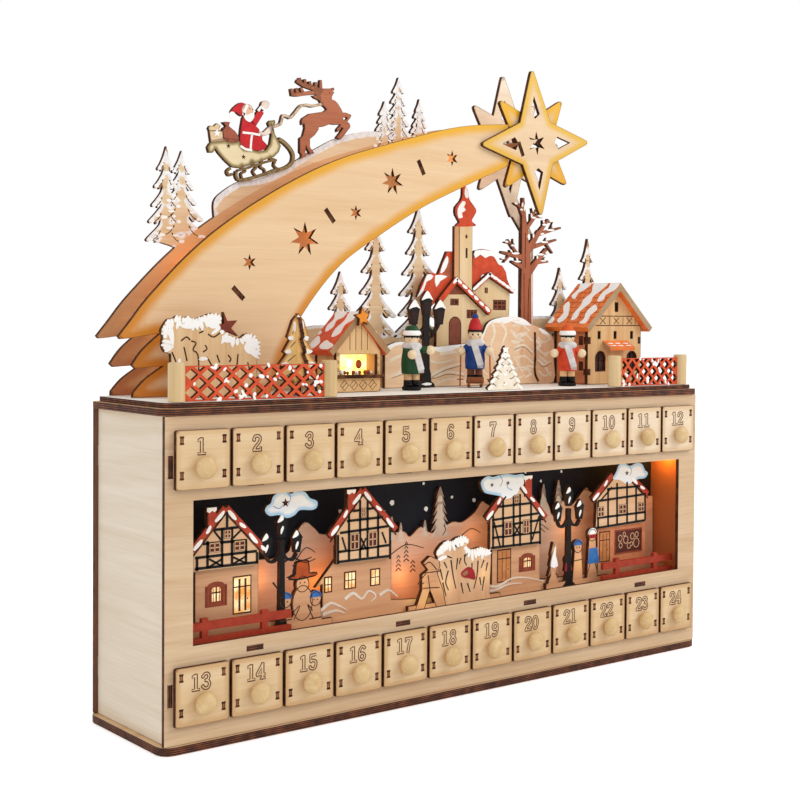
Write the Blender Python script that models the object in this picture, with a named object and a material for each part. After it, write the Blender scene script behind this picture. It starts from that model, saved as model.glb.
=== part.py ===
"""Comet light arch standing on an advent calendar box with twenty-four drawers.

The front faces -Y and +Z is up. The origin is the middle of the base plate's underside.
Every length here is in millimetres, and metres() turns it into Blender's unit.
"""

import math

import bmesh
import bpy
from mathutils import Matrix, Vector, geometry

# Blender's unit is the metre
MM = 0.001

# Sheet material and clearances
PLY = 3.0
GAP = 0.3
RUN = 0.4

# Drawers
DRAWERS_IN_ROW = 12
PITCH = 39.0
FRONT_WIDTH = 36.8
FRONT_HEIGHT = 35.9
FRONT_CORNER = 1.2
TRAY_INSET = 2.3
TRAY_WALL = 2.5
TRAY_LIFT = 2.9
TRAY_HEIGHT = 29.5
TRAY_DEPTH = 78.0
TRAY_SIDE_CLEARANCE = 0.5
KNOB_RADIUS = 7.0
KNOB_NECK_RADIUS = 5.0
KNOB_REACH = 8.0
KNOB_DROP = 4.6

# Box
BASE_THICKNESS = 5.0
PANEL_HEIGHT = 198.0
BOX_DEPTH = 96.5
END_MARGIN = 5.85
LOWER_MARGIN = 11.0
UPPER_MARGIN = 8.4
SIDE_INSET = 2.3
SIDE_TAB_HEIGHT = 13.2
SIDE_TAB_FROM_EDGE = 30.3
SHELF_TAB_WIDTH = 11.7
PLATE_OVERHANG = 2.1
PLATE_CORNER = 8.0
TOP_THICKNESS = 4.4
SNOW_THICKNESS = 3.0
SNOW_INSET = 1.05
STOP_RAIL_HEIGHT = 20.0

# Window and diorama chamber
WINDOW_ABOVE_FRONTS = 11.6
WINDOW_BELOW_FRONTS = 6.9
WINDOW_END = 19.3
SILL = 5.5
SKY_BACK = 42.0
VILLAGE_BACK = 21.2
RAIL_BACK = 8.2
STRIP_WIDTH = 6.0
STRIP_THICKNESS = 1.2
LAMPS_ON_STRIP = 8
LAMP_RADIUS = 2.2

# Comet and star
COMET_GAP = 27.5
COMET_ROW = 10.0
COMET_FOOT_INSET = 7.8
STAR_LONG = 55.5
STAR_WAIST = 22.8
STAR_SHORT = 45.5
STAR_TURN = math.radians(5.4)
STAR_CENTRE = (342.8, 188.0)
SPACER_LENGTH = 11.0
SLEIGH_AT = (70.0, 142.0)

# Things on the snow plate
POST_RADIUS = 5.2
POST_HEIGHT = 23.7
LATTICE_HEIGHT = 21.5
HOUSE_WALL = 2.6
ROOF_THICKNESS = 2.4

# Battery box
BATTERY_WIDTH = 64.0
BATTERY_HEIGHT = 56.0
BATTERY_DEPTH = 17.0
BATTERY_WALL = 1.6
FLANGE_RIM = 5.0
FLANGE_THICKNESS = 1.8
SWITCH_BAR = 9.0
SWITCH_SLOT = 9.0
SWITCH_KNOB = 4.4
SWITCH_RISE = 5.5
SWITCH_TRAVEL = 4.0

# Sizes worked out from the ones above
TRAY_WIDTH = FRONT_WIDTH - 2 * TRAY_INSET
BOX_WIDTH = (DRAWERS_IN_ROW - 1) * PITCH + FRONT_WIDTH + 2 * END_MARGIN
HALF_WIDTH = BOX_WIDTH / 2
FACE = -BOX_DEPTH / 2
REAR = BOX_DEPTH / 2
PANEL_FOOT = BASE_THICKNESS + GAP
PANEL_HEAD = PANEL_FOOT + PANEL_HEIGHT
LOWER_ROW = PANEL_FOOT + LOWER_MARGIN + FRONT_HEIGHT / 2
UPPER_ROW = PANEL_HEAD - UPPER_MARGIN - FRONT_HEIGHT / 2
WINDOW_LOW = LOWER_ROW + FRONT_HEIGHT / 2 + WINDOW_ABOVE_FRONTS
WINDOW_HIGH = UPPER_ROW - FRONT_HEIGHT / 2 - WINDOW_BELOW_FRONTS
FLOOR_TOP = WINDOW_LOW - SILL
INSIDE_FACE = FACE + PLY + GAP
INSIDE_REAR = REAR - PLY - GAP
SIDE_OUTER = HALF_WIDTH - SIDE_INSET
INSIDE_HALF = SIDE_OUTER - PLY - GAP
SHELF_DROP = FRONT_HEIGHT / 2 - TRAY_LIFT + RUN
LOWER_SHELF_TOP = LOWER_ROW - SHELF_DROP
UPPER_SHELF_TOP = UPPER_ROW - SHELF_DROP
CEILING = UPPER_SHELF_TOP - PLY
FRONT_FACE = FACE - GAP - PLY
TRAY_END = FRONT_FACE + PLY + TRAY_DEPTH
TOP_FOOT = PANEL_HEAD + GAP
SNOW_FOOT = TOP_FOOT + TOP_THICKNESS + GAP
GROUND = SNOW_FOOT + SNOW_THICKNESS
STANDING = GROUND + GAP
SNOW_HALF = HALF_WIDTH - SNOW_INSET
SNOW_HALF_DEPTH = BOX_DEPTH / 2 - SNOW_INSET
COMET_LEFT = -SNOW_HALF + COMET_FOOT_INSET
COMET_BACK_ROW = COMET_ROW + PLY + COMET_GAP

# Colours as sRGB hex, with roughness
BIRCH = ("D9BC92", 0.62)
PALE_BIRCH = ("E6D6BC", 0.6)
SNOW = ("F6F2E8", 0.7)
NIGHT = ("12161F", 0.55)
COMET_YELLOW = ("E3C07A", 0.5)
STAR_YELLOW = ("E9C35A", 0.5)
DEEP_WOOD = ("C58A5C", 0.6)
RAIL_RED = ("BE4028", 0.5)
ROOF_RED = ("D8562A", 0.55)
BARK = ("8A4B36", 0.65)
BLACK = ("17130F", 0.5)
GREEN = ("2F5A36", 0.45)
BLUE = ("2A549B", 0.45)
ORANGE = ("D9502B", 0.45)
GOLD_WOOD = ("A98F5A", 0.5)
PLASTIC = ("2B2B2B", 0.45)
LIGHT = ("F6E2B0", 0.35)


def metres(point):
    """A point in millimetres as a vector in metres."""
    return Vector(point) * MM


def clear_scene():
    for thing in list(bpy.data.objects):
        bpy.data.objects.remove(thing, do_unlink=True)


def linear(channel):
    return channel / 12.92 if channel <= 0.04045 else ((channel + 0.055) / 1.055) ** 2.4


def finish(name, look):
    """A plain painted or bare wood material for one piece."""
    code, roughness = look
    material = bpy.data.materials.new(name)
    material.use_nodes = True
    shader = material.node_tree.nodes["Principled BSDF"]
    rgb = [linear(int(code[i : i + 2], 16) / 255) for i in (0, 2, 4)]
    shader.inputs["Base Color"].default_value = (*rgb, 1.0)
    shader.inputs["Roughness"].default_value = roughness
    shader.inputs["Metallic"].default_value = 0.0
    return material


# Flat outlines

def rectangle(x0, z0, x1, z1):
    return [(x0, z0), (x1, z0), (x1, z1), (x0, z1)]


def block(cx, cz, width, height, turn=0.0):
    """A rectangle about its middle, turned anticlockwise."""
    c, s = math.cos(turn), math.sin(turn)
    corners = [
        (-width / 2, -height / 2), (width / 2, -height / 2), (width / 2, height / 2),
        (-width / 2, height / 2),
    ]
    return [(cx + x * c - z * s, cz + x * s + z * c) for x, z in corners]


def arc(cx, cz, radius, start, end, steps):
    return [
        (
            cx + radius * math.cos(start + (end - start) * i / steps),
            cz + radius * math.sin(start + (end - start) * i / steps),
        )
        for i in range(steps + 1)
    ]


def rounded(x0, z0, x1, z1, radius, steps=3):
    quarter = math.pi / 2
    corners = [
        (x1 - radius, z1 - radius), (x0 + radius, z1 - radius), (x0 + radius, z0 + radius),
        (x1 - radius, z0 + radius),
    ]
    points = []
    for i, (cx, cz) in enumerate(corners):
        points += arc(cx, cz, radius, i * quarter, (i + 1) * quarter, steps)
    return points


def ellipse(cx, cz, rx, rz, steps=14):
    turn = 2 * math.pi / steps
    return [(cx + rx * math.cos(i * turn), cz + rz * math.sin(i * turn)) for i in range(steps)]


def star(cx, cz, points, outer, inner, turn=math.pi / 2):
    step = math.pi / points
    return [
        (
            cx + (inner if i % 2 else outer) * math.cos(turn + i * step),
            cz + (inner if i % 2 else outer) * math.sin(turn + i * step),
        )
        for i in range(2 * points)
    ]


def blunt_star(cx, cz, points, outer, inner, turn, tip):
    """A star whose points end in short flats, tip wide, as a cutter's radius leaves them."""
    step = math.pi / points
    outline = []
    for i in range(points):
        a = turn + 2 * i * step
        along, across = Vector((math.cos(a), math.sin(a))), Vector((-math.sin(a), math.cos(a)))
        for side, back in ((-1.0, 1.1), (-0.45, 0.0), (0.45, 0.0), (1.0, 1.1)):
            spot = along * (outer - back * tip) + across * side * tip
            outline.append((cx + spot.x, cz + spot.y))
        waist = a + step
        outline.append((cx + inner * math.cos(waist), cz + inner * math.sin(waist)))
    return outline


def smooth(points, steps=3):
    """A curve through all the points, with the ends kept."""
    padded = [points[0]] + points + [points[-1]]
    curve = []
    for i in range(1, len(padded) - 2):
        p = [Vector(padded[i + k]) for k in (-1, 0, 1, 2)]
        for k in range(steps):
            t = k / steps
            bend = (2 * p[1]) + (p[2] - p[0]) * t + (2 * p[0] - 5 * p[1] + 4 * p[2] - p[3]) * t**2
            bend += (3 * p[1] - p[0] - 3 * p[2] + p[3]) * t**3
            curve.append(tuple(bend * 0.5))
    return curve + [tuple(points[-1])]


def bar(start, end, width, tip_width):
    """A tapered strip from start to end."""
    a, b = Vector(start), Vector(end)
    across = Vector((-(b - a).y, (b - a).x)).normalized()
    return [
        tuple(a - across * width / 2), tuple(b - across * tip_width / 2),
        tuple(b + across * tip_width / 2), tuple(a + across * width / 2),
    ]


def fir(cx, foot, height, half, tiers, trunk=2.0, droop=2.0):
    """A fir silhouette: each tier is wider than the one above, and its tips droop."""
    right = [(cx + 0.5, foot + height)]
    for i in range(1, tiers + 1):
        reach = half * (0.28 + 0.72 * i / tiers)
        level = foot + height * (1 - i / (tiers + 0.35))
        right.append((cx + reach, level - droop))
        right.append((cx + max(reach * 0.42, trunk), level))
    right += [(cx + trunk, foot)]
    left = [(2 * cx - x, z) for x, z in reversed(right)]
    return right + left


def shift(outline, dx, dz=0.0):
    return [(x + dx, z + dz) for x, z in outline]


# Solids

def area(outline):
    return sum(a[0] * b[1] - b[0] * a[1] for a, b in zip(outline, outline[1:] + outline[:1])) / 2


def flat_triangles(adds, cuts):
    """Triangles of everything inside the added outlines and outside the cut ones."""
    verts, faces = [], []
    for outline in list(adds) + list(cuts):
        loop = outline if area(outline) > 0 else outline[::-1]
        faces.append(list(range(len(verts), len(verts) + len(loop))))
        verts += [Vector(p) for p in loop]
    points, _, triangles, _, _, owners = geometry.delaunay_2d_cdt(verts, [], faces, 1, 1e-4)
    kept = []
    for triangle, owner in zip(triangles, owners):
        inside = any(o < len(adds) for o in owner)
        removed = any(o >= len(adds) for o in owner)
        if inside and not removed:
            kept.append(triangle)
    return points, kept


def prism(adds, cuts=(), low=0.0, high=PLY, plane="XZ"):
    """The flat shape given a thickness: across Y for XZ, up Z for XY, across X for YZ."""
    points, triangles = flat_triangles(adds, cuts)
    edges = {}
    for triangle in triangles:
        for a, b in zip(triangle, triangle[1:] + triangle[:1]):
            edges[(a, b)] = (b, a) not in edges
            if not edges[(a, b)]:
                del edges[(a, b)], edges[(b, a)]

    def place(point, depth):
        u, v = point
        spot = {"XZ": (u, depth, v), "XY": (u, v, depth), "YZ": (depth, u, v)}[plane]
        return metres(spot)

    count = len(points)
    verts = [place(p, low) for p in points] + [place(p, high) for p in points]
    faces = [tuple(t) for t in triangles] + [tuple(i + count for i in reversed(t)) for t in triangles]
    faces += [(b, a, a + count, b + count) for a, b in edges]
    mesh = bpy.data.meshes.new("prism")
    mesh.from_pydata(verts, [], faces)
    shape = bmesh.new()
    shape.from_mesh(mesh)
    loose = [v for v in shape.verts if not v.link_faces]
    bmesh.ops.delete(shape, geom=loose, context="VERTS")
    bmesh.ops.recalc_face_normals(shape, faces=shape.faces)
    shape.to_mesh(mesh)
    shape.free()
    return mesh


def turned(profile, centre, axis="Z", segments=12):
    """A closed solid of revolution. The profile is (distance along the axis, radius) pairs."""
    shape = bmesh.new()
    rings = []
    for along, radius in profile:
        ring = []
        for i in range(segments):
            a = 2 * math.pi * (i + 0.5) / segments
            u, v = radius * math.cos(a), radius * math.sin(a)
            spot = {"Z": (u, v, along), "Y": (u, along, v), "X": (along, u, v)}[axis]
            ring.append(shape.verts.new(metres(Vector(spot) + Vector(centre))))
        rings.append(ring)
    for lower, upper in zip(rings, rings[1:]):
        for i in range(segments):
            k = (i + 1) % segments
            shape.faces.new((lower[i], lower[k], upper[k], upper[i]))
    shape.faces.new(rings[0])
    shape.faces.new(rings[-1])
    bmesh.ops.recalc_face_normals(shape, faces=shape.faces)
    mesh = bpy.data.meshes.new("turned")
    shape.to_mesh(mesh)
    shape.free()
    return mesh


def box(x0, y0, z0, x1, y1, z1):
    return prism([rectangle(x0, z0, x1, z1)], (), y0, y1)


def helper(mesh):
    thing = bpy.data.objects.new(mesh.name, mesh)
    bpy.context.scene.collection.objects.link(thing)
    return thing


def combined(base, others, operation="UNION"):
    """One mesh from the base with each other mesh joined to it or cut from it."""
    target = helper(base)
    tools = [helper(mesh) for mesh in others]
    for tool in tools:
        step = target.modifiers.new("step", "BOOLEAN")
        step.operation = operation
        step.solver = "EXACT"
        step.object = tool
    bpy.context.view_layer.update()
    graph = bpy.context.evaluated_depsgraph_get()
    result = bpy.data.meshes.new_from_object(target.evaluated_get(graph))
    for thing in [target] + tools:
        bpy.data.objects.remove(thing, do_unlink=True)
    return result


def piece(name, mesh, look, at=(0.0, 0.0, 0.0), smooth_angle=None):
    """A named piece whose origin is at the given point. The mesh is drawn about the world origin."""
    mesh.name = name
    if smooth_angle is not None:
        mesh.shade_smooth()
        mesh.set_sharp_from_angle(angle=math.radians(smooth_angle))
    mesh.materials.clear()
    mesh.materials.append(finish(name, look))
    thing = bpy.data.objects.new(name, mesh)
    thing.location = metres(at)
    bpy.context.scene.collection.objects.link(thing)
    return thing


def standing(name, adds, cuts, row, look, thick=PLY):
    """A cut-out that stands on the snow plate, its outline given in height above the plate."""
    lift = [shift(o, 0.0, STANDING) for o in adds]
    holes = [shift(o, 0.0, STANDING) for o in cuts]
    return piece(name, prism(lift, holes, row, row + thick), look)


def spot(share):
    """A place along the snow plate, as a share of its half length."""
    return share * SNOW_HALF


# The box

def shelf_tab_places():
    """Middles of the tabs that every third drawer has under it."""
    first = -(DRAWERS_IN_ROW - 1) * PITCH / 2
    return [first + PITCH * i for i in range(1, DRAWERS_IN_ROW, 3)]


def drawer_places():
    first = -(DRAWERS_IN_ROW - 1) * PITCH / 2
    return [first + PITCH * i for i in range(DRAWERS_IN_ROW)]


def tab_heights():
    return [PANEL_FOOT + SIDE_TAB_FROM_EDGE, PANEL_HEAD - SIDE_TAB_FROM_EDGE]


def joint_slots():
    """Slots in the front and back panels for the tabs of the side panels and shelves."""
    cuts = []
    for x in (-SIDE_OUTER, SIDE_OUTER - PLY):
        for z in tab_heights():
            half = SIDE_TAB_HEIGHT / 2 + GAP
            cuts.append(rectangle(x - GAP, z - half, x + PLY + GAP, z + half))
    for x in shelf_tab_places():
        half = SHELF_TAB_WIDTH / 2 + GAP
        for top in (LOWER_SHELF_TOP, UPPER_SHELF_TOP, FLOOR_TOP):
            cuts.append(rectangle(x - half, top - PLY - GAP, x + half, top + GAP))
    return cuts


def base_plate():
    edge = PLATE_OVERHANG
    outline = rounded(-HALF_WIDTH - edge, FACE - edge, HALF_WIDTH + edge, REAR + edge, PLATE_CORNER)
    piece("base_plate", prism([outline], (), 0.0, BASE_THICKNESS, "XY"), DEEP_WOOD)


def front_panel():
    cuts = joint_slots()
    half = TRAY_WIDTH / 2 + TRAY_SIDE_CLEARANCE
    for x in drawer_places():
        for shelf in (LOWER_SHELF_TOP, UPPER_SHELF_TOP):
            cuts.append(
                rectangle(x - half, shelf, x + half, shelf + RUN + TRAY_HEIGHT + TRAY_SIDE_CLEARANCE)
            )
    edge = HALF_WIDTH - WINDOW_END
    cuts.append(rectangle(-edge, WINDOW_LOW, edge, WINDOW_HIGH))
    sheet = rectangle(-HALF_WIDTH, PANEL_FOOT, HALF_WIDTH, PANEL_HEAD)
    piece("front_panel", prism([sheet], cuts, FACE, FACE + PLY), BIRCH)


def back_panel():
    cuts = joint_slots()
    wide, high = BATTERY_WIDTH / 2 + GAP, BATTERY_HEIGHT / 2 + GAP
    middle = battery_middle()
    cuts.append(rectangle(-wide, middle - high, wide, middle + high + SWITCH_BAR))
    sheet = rectangle(-HALF_WIDTH, PANEL_FOOT, HALF_WIDTH, PANEL_HEAD)
    piece("back_panel", prism([sheet], cuts, REAR - PLY, REAR), PALE_BIRCH)


def side_panels():
    sheet = [rectangle(INSIDE_FACE, PANEL_FOOT, INSIDE_REAR, PANEL_HEAD)]
    for z in tab_heights():
        half = SIDE_TAB_HEIGHT / 2
        sheet.append(rectangle(FACE, z - half, REAR, z + half))
    left = prism(sheet, (), -SIDE_OUTER, -SIDE_OUTER + PLY, "YZ")
    right = prism(sheet, (), SIDE_OUTER - PLY, SIDE_OUTER, "YZ")
    piece("side_panel_left", left, PALE_BIRCH)
    piece("side_panel_right", right, PALE_BIRCH)


def board_outline():
    """A level board inside the box, with tabs through the front and back panels."""
    adds = [rectangle(-INSIDE_HALF, INSIDE_FACE, INSIDE_HALF, INSIDE_REAR)]
    for x in shelf_tab_places():
        adds.append(rectangle(x - SHELF_TAB_WIDTH / 2, FACE, x + SHELF_TAB_WIDTH / 2, REAR))
    return adds


def rack(name, shelf_top, head, lid_top=None):
    """A shelf with dividers between the drawers, a rail that stops them, and a lid if one is given."""
    bite = PLY / 2
    shelf = prism(board_outline(), (), shelf_top - PLY, shelf_top, "XY")
    walls = []
    rail_face = TRAY_END + RUN
    for x in drawer_places()[:-1]:
        middle = x + PITCH / 2
        walls.append(
            box(middle - PLY / 2, INSIDE_FACE, shelf_top - bite, middle + PLY / 2, TRAY_END, head)
        )
    rail = box(
        -INSIDE_HALF, rail_face, shelf_top - bite, INSIDE_HALF, rail_face + PLY,
        shelf_top + STOP_RAIL_HEIGHT,
    )
    parts = walls + [rail]
    if lid_top is not None:
        parts.append(prism(board_outline(), (), lid_top - PLY, lid_top, "XY"))
    piece(name, combined(shelf, parts), PALE_BIRCH)


def drawer_mesh():
    """One drawer about the middle of its front's outer face: front, tray and knob."""
    half_w, half_h = FRONT_WIDTH / 2, FRONT_HEIGHT / 2
    front = prism([rounded(-half_w, -half_h, half_w, half_h, FRONT_CORNER, 1)], (), 0.0, PLY)
    floor = -half_h + TRAY_LIFT
    tray_half = TRAY_WIDTH / 2
    inside = tray_half - TRAY_WALL
    bite = PLY / 2
    walls = prism(
        [rectangle(-tray_half, bite, tray_half, PLY + TRAY_DEPTH)],
        [rectangle(-inside, PLY, inside, PLY + TRAY_DEPTH - TRAY_WALL)],
        floor, floor + TRAY_HEIGHT, "XY",
    )
    sole = box(
        -tray_half + 1.0, bite, floor, tray_half - 1.0, PLY + TRAY_DEPTH - 1.0, floor + TRAY_WALL,
    )
    neck = KNOB_NECK_RADIUS
    knob = turned(
        [
            (0.6, neck), (-0.42 * KNOB_REACH, KNOB_RADIUS), (-0.8 * KNOB_REACH, 0.8 * KNOB_RADIUS),
            (-KNOB_REACH, 0.36 * KNOB_RADIUS),
        ],
        (0.0, 0.0, -KNOB_DROP), "Y", 8,
    )
    return combined(front, [walls, sole, knob])


def drawers():
    mesh = drawer_mesh()
    mesh.shade_smooth()
    mesh.set_sharp_from_angle(angle=math.radians(38))
    mesh.materials.clear()
    mesh.materials.append(finish("drawer", BIRCH))
    number = 0
    for row in (UPPER_ROW, LOWER_ROW):
        for x in drawer_places():
            number += 1
            name = f"drawer_{number:02d}"
            thing = bpy.data.objects.new(name, mesh)
            thing.location = metres((x, FRONT_FACE, row))
            bpy.context.scene.collection.objects.link(thing)


def top_plates():
    edge = PLATE_OVERHANG
    outline = rounded(-HALF_WIDTH - edge, FACE - edge, HALF_WIDTH + edge, REAR + edge, PLATE_CORNER)
    piece("top_plate", prism([outline], (), TOP_FOOT, TOP_FOOT + TOP_THICKNESS, "XY"), DEEP_WOOD)
    outline = rounded(-SNOW_HALF, -SNOW_HALF_DEPTH, SNOW_HALF, SNOW_HALF_DEPTH, PLATE_CORNER)
    piece("snow_plate", prism([outline], (), SNOW_FOOT, GROUND, "XY"), SNOW)


# The diorama behind the window

def chamber(height):
    """A height in the diorama, which is drawn 100 mm high and cut to fit between floor and ceiling."""
    return FLOOR_TOP + GAP + height * (CEILING - FLOOR_TOP - 2 * GAP) / 100.0


def fitted(outline):
    """A diorama outline, drawn in (share of the inside half length times 100, height of 100)."""
    return [(x * INSIDE_HALF / 233.0, chamber(z)) for x, z in outline]


def sky_and_hills():
    back = FACE + SKY_BACK
    sheet = rectangle(-INSIDE_HALF, chamber(0), INSIDE_HALF, chamber(100))
    piece("sky_backdrop", prism([sheet], (), back, back + PLY), NIGHT)
    ridge = smooth(
        [
            (-233, 52), (-200, 60), (-165, 48), (-130, 60), (-114, 67), (-96, 58), (-60, 62), (-30, 60),
            (-12, 48),
            (20, 58), (41, 67), (60, 60), (100, 68), (123, 62), (160, 56), (200, 66), (233, 60),
        ],
        2,
    )
    hills = [(-233, 0)] + ridge + [(233, 0)]
    trees = [
        fir(-42, 52, 20, 6, 3), fir(-34, 50, 17, 5, 2), fir(6, 45, 37, 12, 5), fir(108, 58, 24, 7, 3),
        fir(124, 56, 26, 7, 3),
        fir(-4, 50, 16, 5, 2),
    ]
    outline = [fitted(o) for o in [hills] + trees]
    piece("diorama_hills", prism(outline, (), back - GAP - PLY, back - GAP), BIRCH)


HOUSES = (
    # middle, wall half width, wall height, eave half width, apex, eave, chimney offset
    (-183, 23, 45, 29, 86, 52, -11),
    (-76, 22, 42, 31, 88, 57, -11),
    (64, 24, 38, 31, 88, 56, 14),
    (177, 27, 41, 32, 86, 64, 0),
)


def house_walls(middle, half, wall, eave_half, apex, eave, chimney):
    shapes = [
        [
            (middle - half, 0), (middle + half, 0), (middle + half, wall + 8), (middle, apex - 6),
            (middle - half, wall + 8),
        ]
    ]
    if chimney:
        shapes.append(rectangle(middle + chimney - 4.5, wall + 20, middle + chimney + 4.5, apex - 1))
    return shapes


def house_front(middle, half, wall, eave_half, apex, eave, chimney):
    """The half-timbered gable that stands proud of the wall, and the two roof edges over it."""
    gable = [
        (middle - half - 1.5, wall), (middle + half + 1.5, wall), (middle + half + 1.5, eave + 4),
        (middle, apex - 4), (middle - half - 1.5, eave + 4),
    ]
    left = bar((middle - eave_half, eave - 1), (middle + 2.2, apex - 1), 5.5, 5.5)
    right = bar((middle - 2.2, apex - 1), (middle + eave_half, eave - 1), 5.5, 5.5)
    return [gable, left, right]


def street_lantern(cx, height):
    """A three-armed street lamp in silhouette."""
    head = height - 22
    shapes = [bar((cx, 0), (cx, height - 4), 5.0, 3.2), rectangle(cx - 8, 0, cx + 8, 3)]
    shapes.append(
        [
            (cx - 5, height - 16), (cx + 5, height - 16), (cx + 6, height - 6), (cx, height),
            (cx - 6, height - 6),
        ]
    )
    for side in (-1, 1):
        x = cx + side * 12
        shapes.append(
            [
                (x - 3.6, head - 6), (x + 3.6, head - 6), (x + 5, head + 5), (x, head + 11),
                (x - 5, head + 5),
            ]
        )
        shapes.append(bar((cx, head - 13), (x, head - 7), 3.4, 3.0))
        shapes.append(bar((x, head - 9), (x, head - 4), 3.0, 3.0))
    return shapes


def snowman(cx):
    return [
        ellipse(cx, 11, 8, 11, 10), ellipse(cx, 26, 6, 6, 8), rectangle(cx - 4.5, 30, cx + 4.5, 40),
        rectangle(cx - 7, 29.5, cx + 7, 32),
    ]


def child(cx, height):
    return [
        [(cx - 5.5, 0), (cx + 5.5, 0), (cx + 3, height - 8), (cx - 3, height - 8)],
        ellipse(cx, height - 6, 4.6, 5.0, 8),
    ]


def cloud(cx, cz, half):
    return [
        ellipse(cx - half * 0.56, cz - 1.5, half * 0.44, 6.0, 8),
        ellipse(cx - half * 0.06, cz, half * 0.46, 9.2, 9),
        ellipse(cx + half * 0.54, cz - 0.6, half * 0.46, 6.4, 8),
    ]


def village_plate():
    """The lit street: a wall layer, and the gables, roofs, figures, lamps and clouds in front of it."""
    row = FACE + VILLAGE_BACK
    ground = rectangle(-226, 0, 226, 7)
    walls = [ground]
    for house in HOUSES:
        walls += house_walls(*house)
    walls.append([(-104, 0), (-98, 0), (-98, 34), (-112, 24), (-112, 18), (-104, 22)])
    front = [rectangle(-150, 0, -108, 5), rectangle(-40, 0, 46, 5), rectangle(100, 0, 160, 5)]
    for house in HOUSES:
        front += house_front(*house)
    front += snowman(-129) + child(-143, 22) + child(-116, 22) + child(126, 24) + child(141, 32)
    front += [
        ellipse(-3, 30, 11, 12, 9), ellipse(16, 34, 15, 13, 9), ellipse(33, 27, 7, 14, 7),
        rectangle(-11, 0, 38, 24),
    ]
    front += child(-26, 40)
    front += cloud(-139, 84, 20) + cloud(44, 84, 24) + cloud(179, 84, 21)
    for at, height in ((-144, 79), (116, 80)):
        front += [shift(o, at) for o in street_lantern(0, height)]
    layers = prism([fitted(o) for o in walls], (), row, row + PLY)
    bite = PLY / 5
    relief = prism([fitted(o) for o in front], (), row - PLY, row + bite)
    piece("diorama_village", combined(layers, [relief]), BIRCH)


def rail_fence(name, x0, x1):
    row = FACE + RAIL_BACK
    shapes = [rectangle(x0, 11.5, x1, 16.6), rectangle(x0, 2.4, x1, 7.0)]
    for share in (0.2, 0.75):
        x = x0 + (x1 - x0) * share
        shapes.append(rectangle(x - 2.3, 0, x + 2.3, 19.0))
    piece(name, prism([fitted(o) for o in shapes], (), row, row + PLY), RAIL_RED)


def light_strip():
    """A flexible strip of lamps under the ceiling, just behind the window's upper edge."""
    face = INSIDE_FACE + 2.0
    top = CEILING - GAP
    end = HALF_WIDTH - WINDOW_END
    strip = box(-end, face, top - STRIP_THICKNESS, end, face + STRIP_WIDTH, top)
    lamps = []
    for i in range(LAMPS_ON_STRIP):
        x = end * (2 * (i + 0.5) / LAMPS_ON_STRIP - 1)
        profile = [(-STRIP_THICKNESS - 1.8, LAMP_RADIUS * 0.7), (-0.4, LAMP_RADIUS)]
        lamps.append(turned(profile, (x, face + STRIP_WIDTH / 2, top), "Z", 6))
    piece("light_strip", combined(strip, lamps), LIGHT)


# Comet, star and sleigh

def comet_outline():
    """The comet from the tips of its three tails to the star, x from the foot's left tip."""
    upper = smooth(
        [
            (-10.1, 38.6), (-2.2, 48.0), (11.7, 64.6), (40.2, 92.4), (69.9, 115.2), (112.3, 140.7),
            (157.0, 161.7),
            (211.0, 179.1), (267.4, 194.4), (316.0, 200.6),
        ],
        2,
    )
    lower = smooth(
        [
            (316.0, 168.6), (274.4, 151.1), (233.0, 132.7), (193.5, 110.5), (158.7, 87.8),
            (130.4, 57.2),
            (114.0, 30.0), (102.0, 0.0),
        ],
        2,
    )
    tails = [(0.0, 0.0), (0.2, 3.0)] + smooth([(0.2, 3.0), (8.3, 11.3), (21.4, 19.7)], 3)[1:]
    tails += [(1.6, 18.4), (-0.8, 20.6)] + smooth([(-0.8, 20.6), (7.0, 30.5), (19.2, 40.6)], 3)[1:]
    tails += [(-1.5, 37.6), (-8.6, 37.0)]
    return tails + upper + lower


def star_arms(length, waist, turn):
    cx, cz = STAR_CENTRE
    return blunt_star(cx, cz, 4, length, waist, turn, 2.4)


COMET_STARS = (
    (85.1, 87.9, 6, 5.5), (129.2, 105.1, 7, 12.0), (172.2, 125.4, 6, 5.5), (204.4, 149.4, 7, 10.0),
    (260.0, 170.3, 6, 6.0),
)
COMET_SPACERS = (
    (76.5, 67.2, -43.0), (149.9, 122.2, -50.0), (230.7, 161.4, -62.0), (326.1, 182.2, -65.0),
)


def spacer_slots(clearance):
    width, length = PLY + 2 * clearance, SPACER_LENGTH + 2 * clearance
    return [block(x, z, length, width, math.radians(turn)) for x, z, turn in COMET_SPACERS]


def placed(outline):
    """A comet outline moved to its place on the snow plate."""
    return shift(outline, COMET_LEFT, STANDING)


def star_holes():
    """The small star in the middle and a kite in each long arm."""
    cx, cz = STAR_CENTRE
    holes = [star(cx, cz, 6, 9.5, 3.6, STAR_TURN + math.pi / 2)]
    for i in range(4):
        a = STAR_TURN + i * math.pi / 2
        along, across = Vector((math.cos(a), math.sin(a))), Vector((-math.sin(a), math.cos(a)))
        corners = (along * 19.0, along * 22.5 - across * 5.0, along * 36.5, along * 22.5 + across * 5.0)
        holes.append([(cx + p.x, cz + p.y) for p in corners])
    return holes


def comet_front():
    adds = [comet_outline(), star_arms(STAR_SHORT, 19.0, STAR_TURN + math.pi / 4)]
    cuts = [star(x, z, points, r, r * 0.42) for x, z, points, r in COMET_STARS]
    cuts += spacer_slots(GAP) + star_holes()
    mesh = prism([placed(o) for o in adds], [placed(o) for o in cuts], COMET_ROW, COMET_ROW + PLY)
    piece("comet_front", mesh, COMET_YELLOW)


def star_front():
    cuts = star_holes() + spacer_slots(GAP)[-1:]
    star_face = placed(star_arms(STAR_LONG, STAR_WAIST, STAR_TURN))
    mesh = prism([star_face], [placed(o) for o in cuts], COMET_ROW - GAP - PLY, COMET_ROW - GAP)
    piece("star_front", mesh, STAR_YELLOW)


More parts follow.
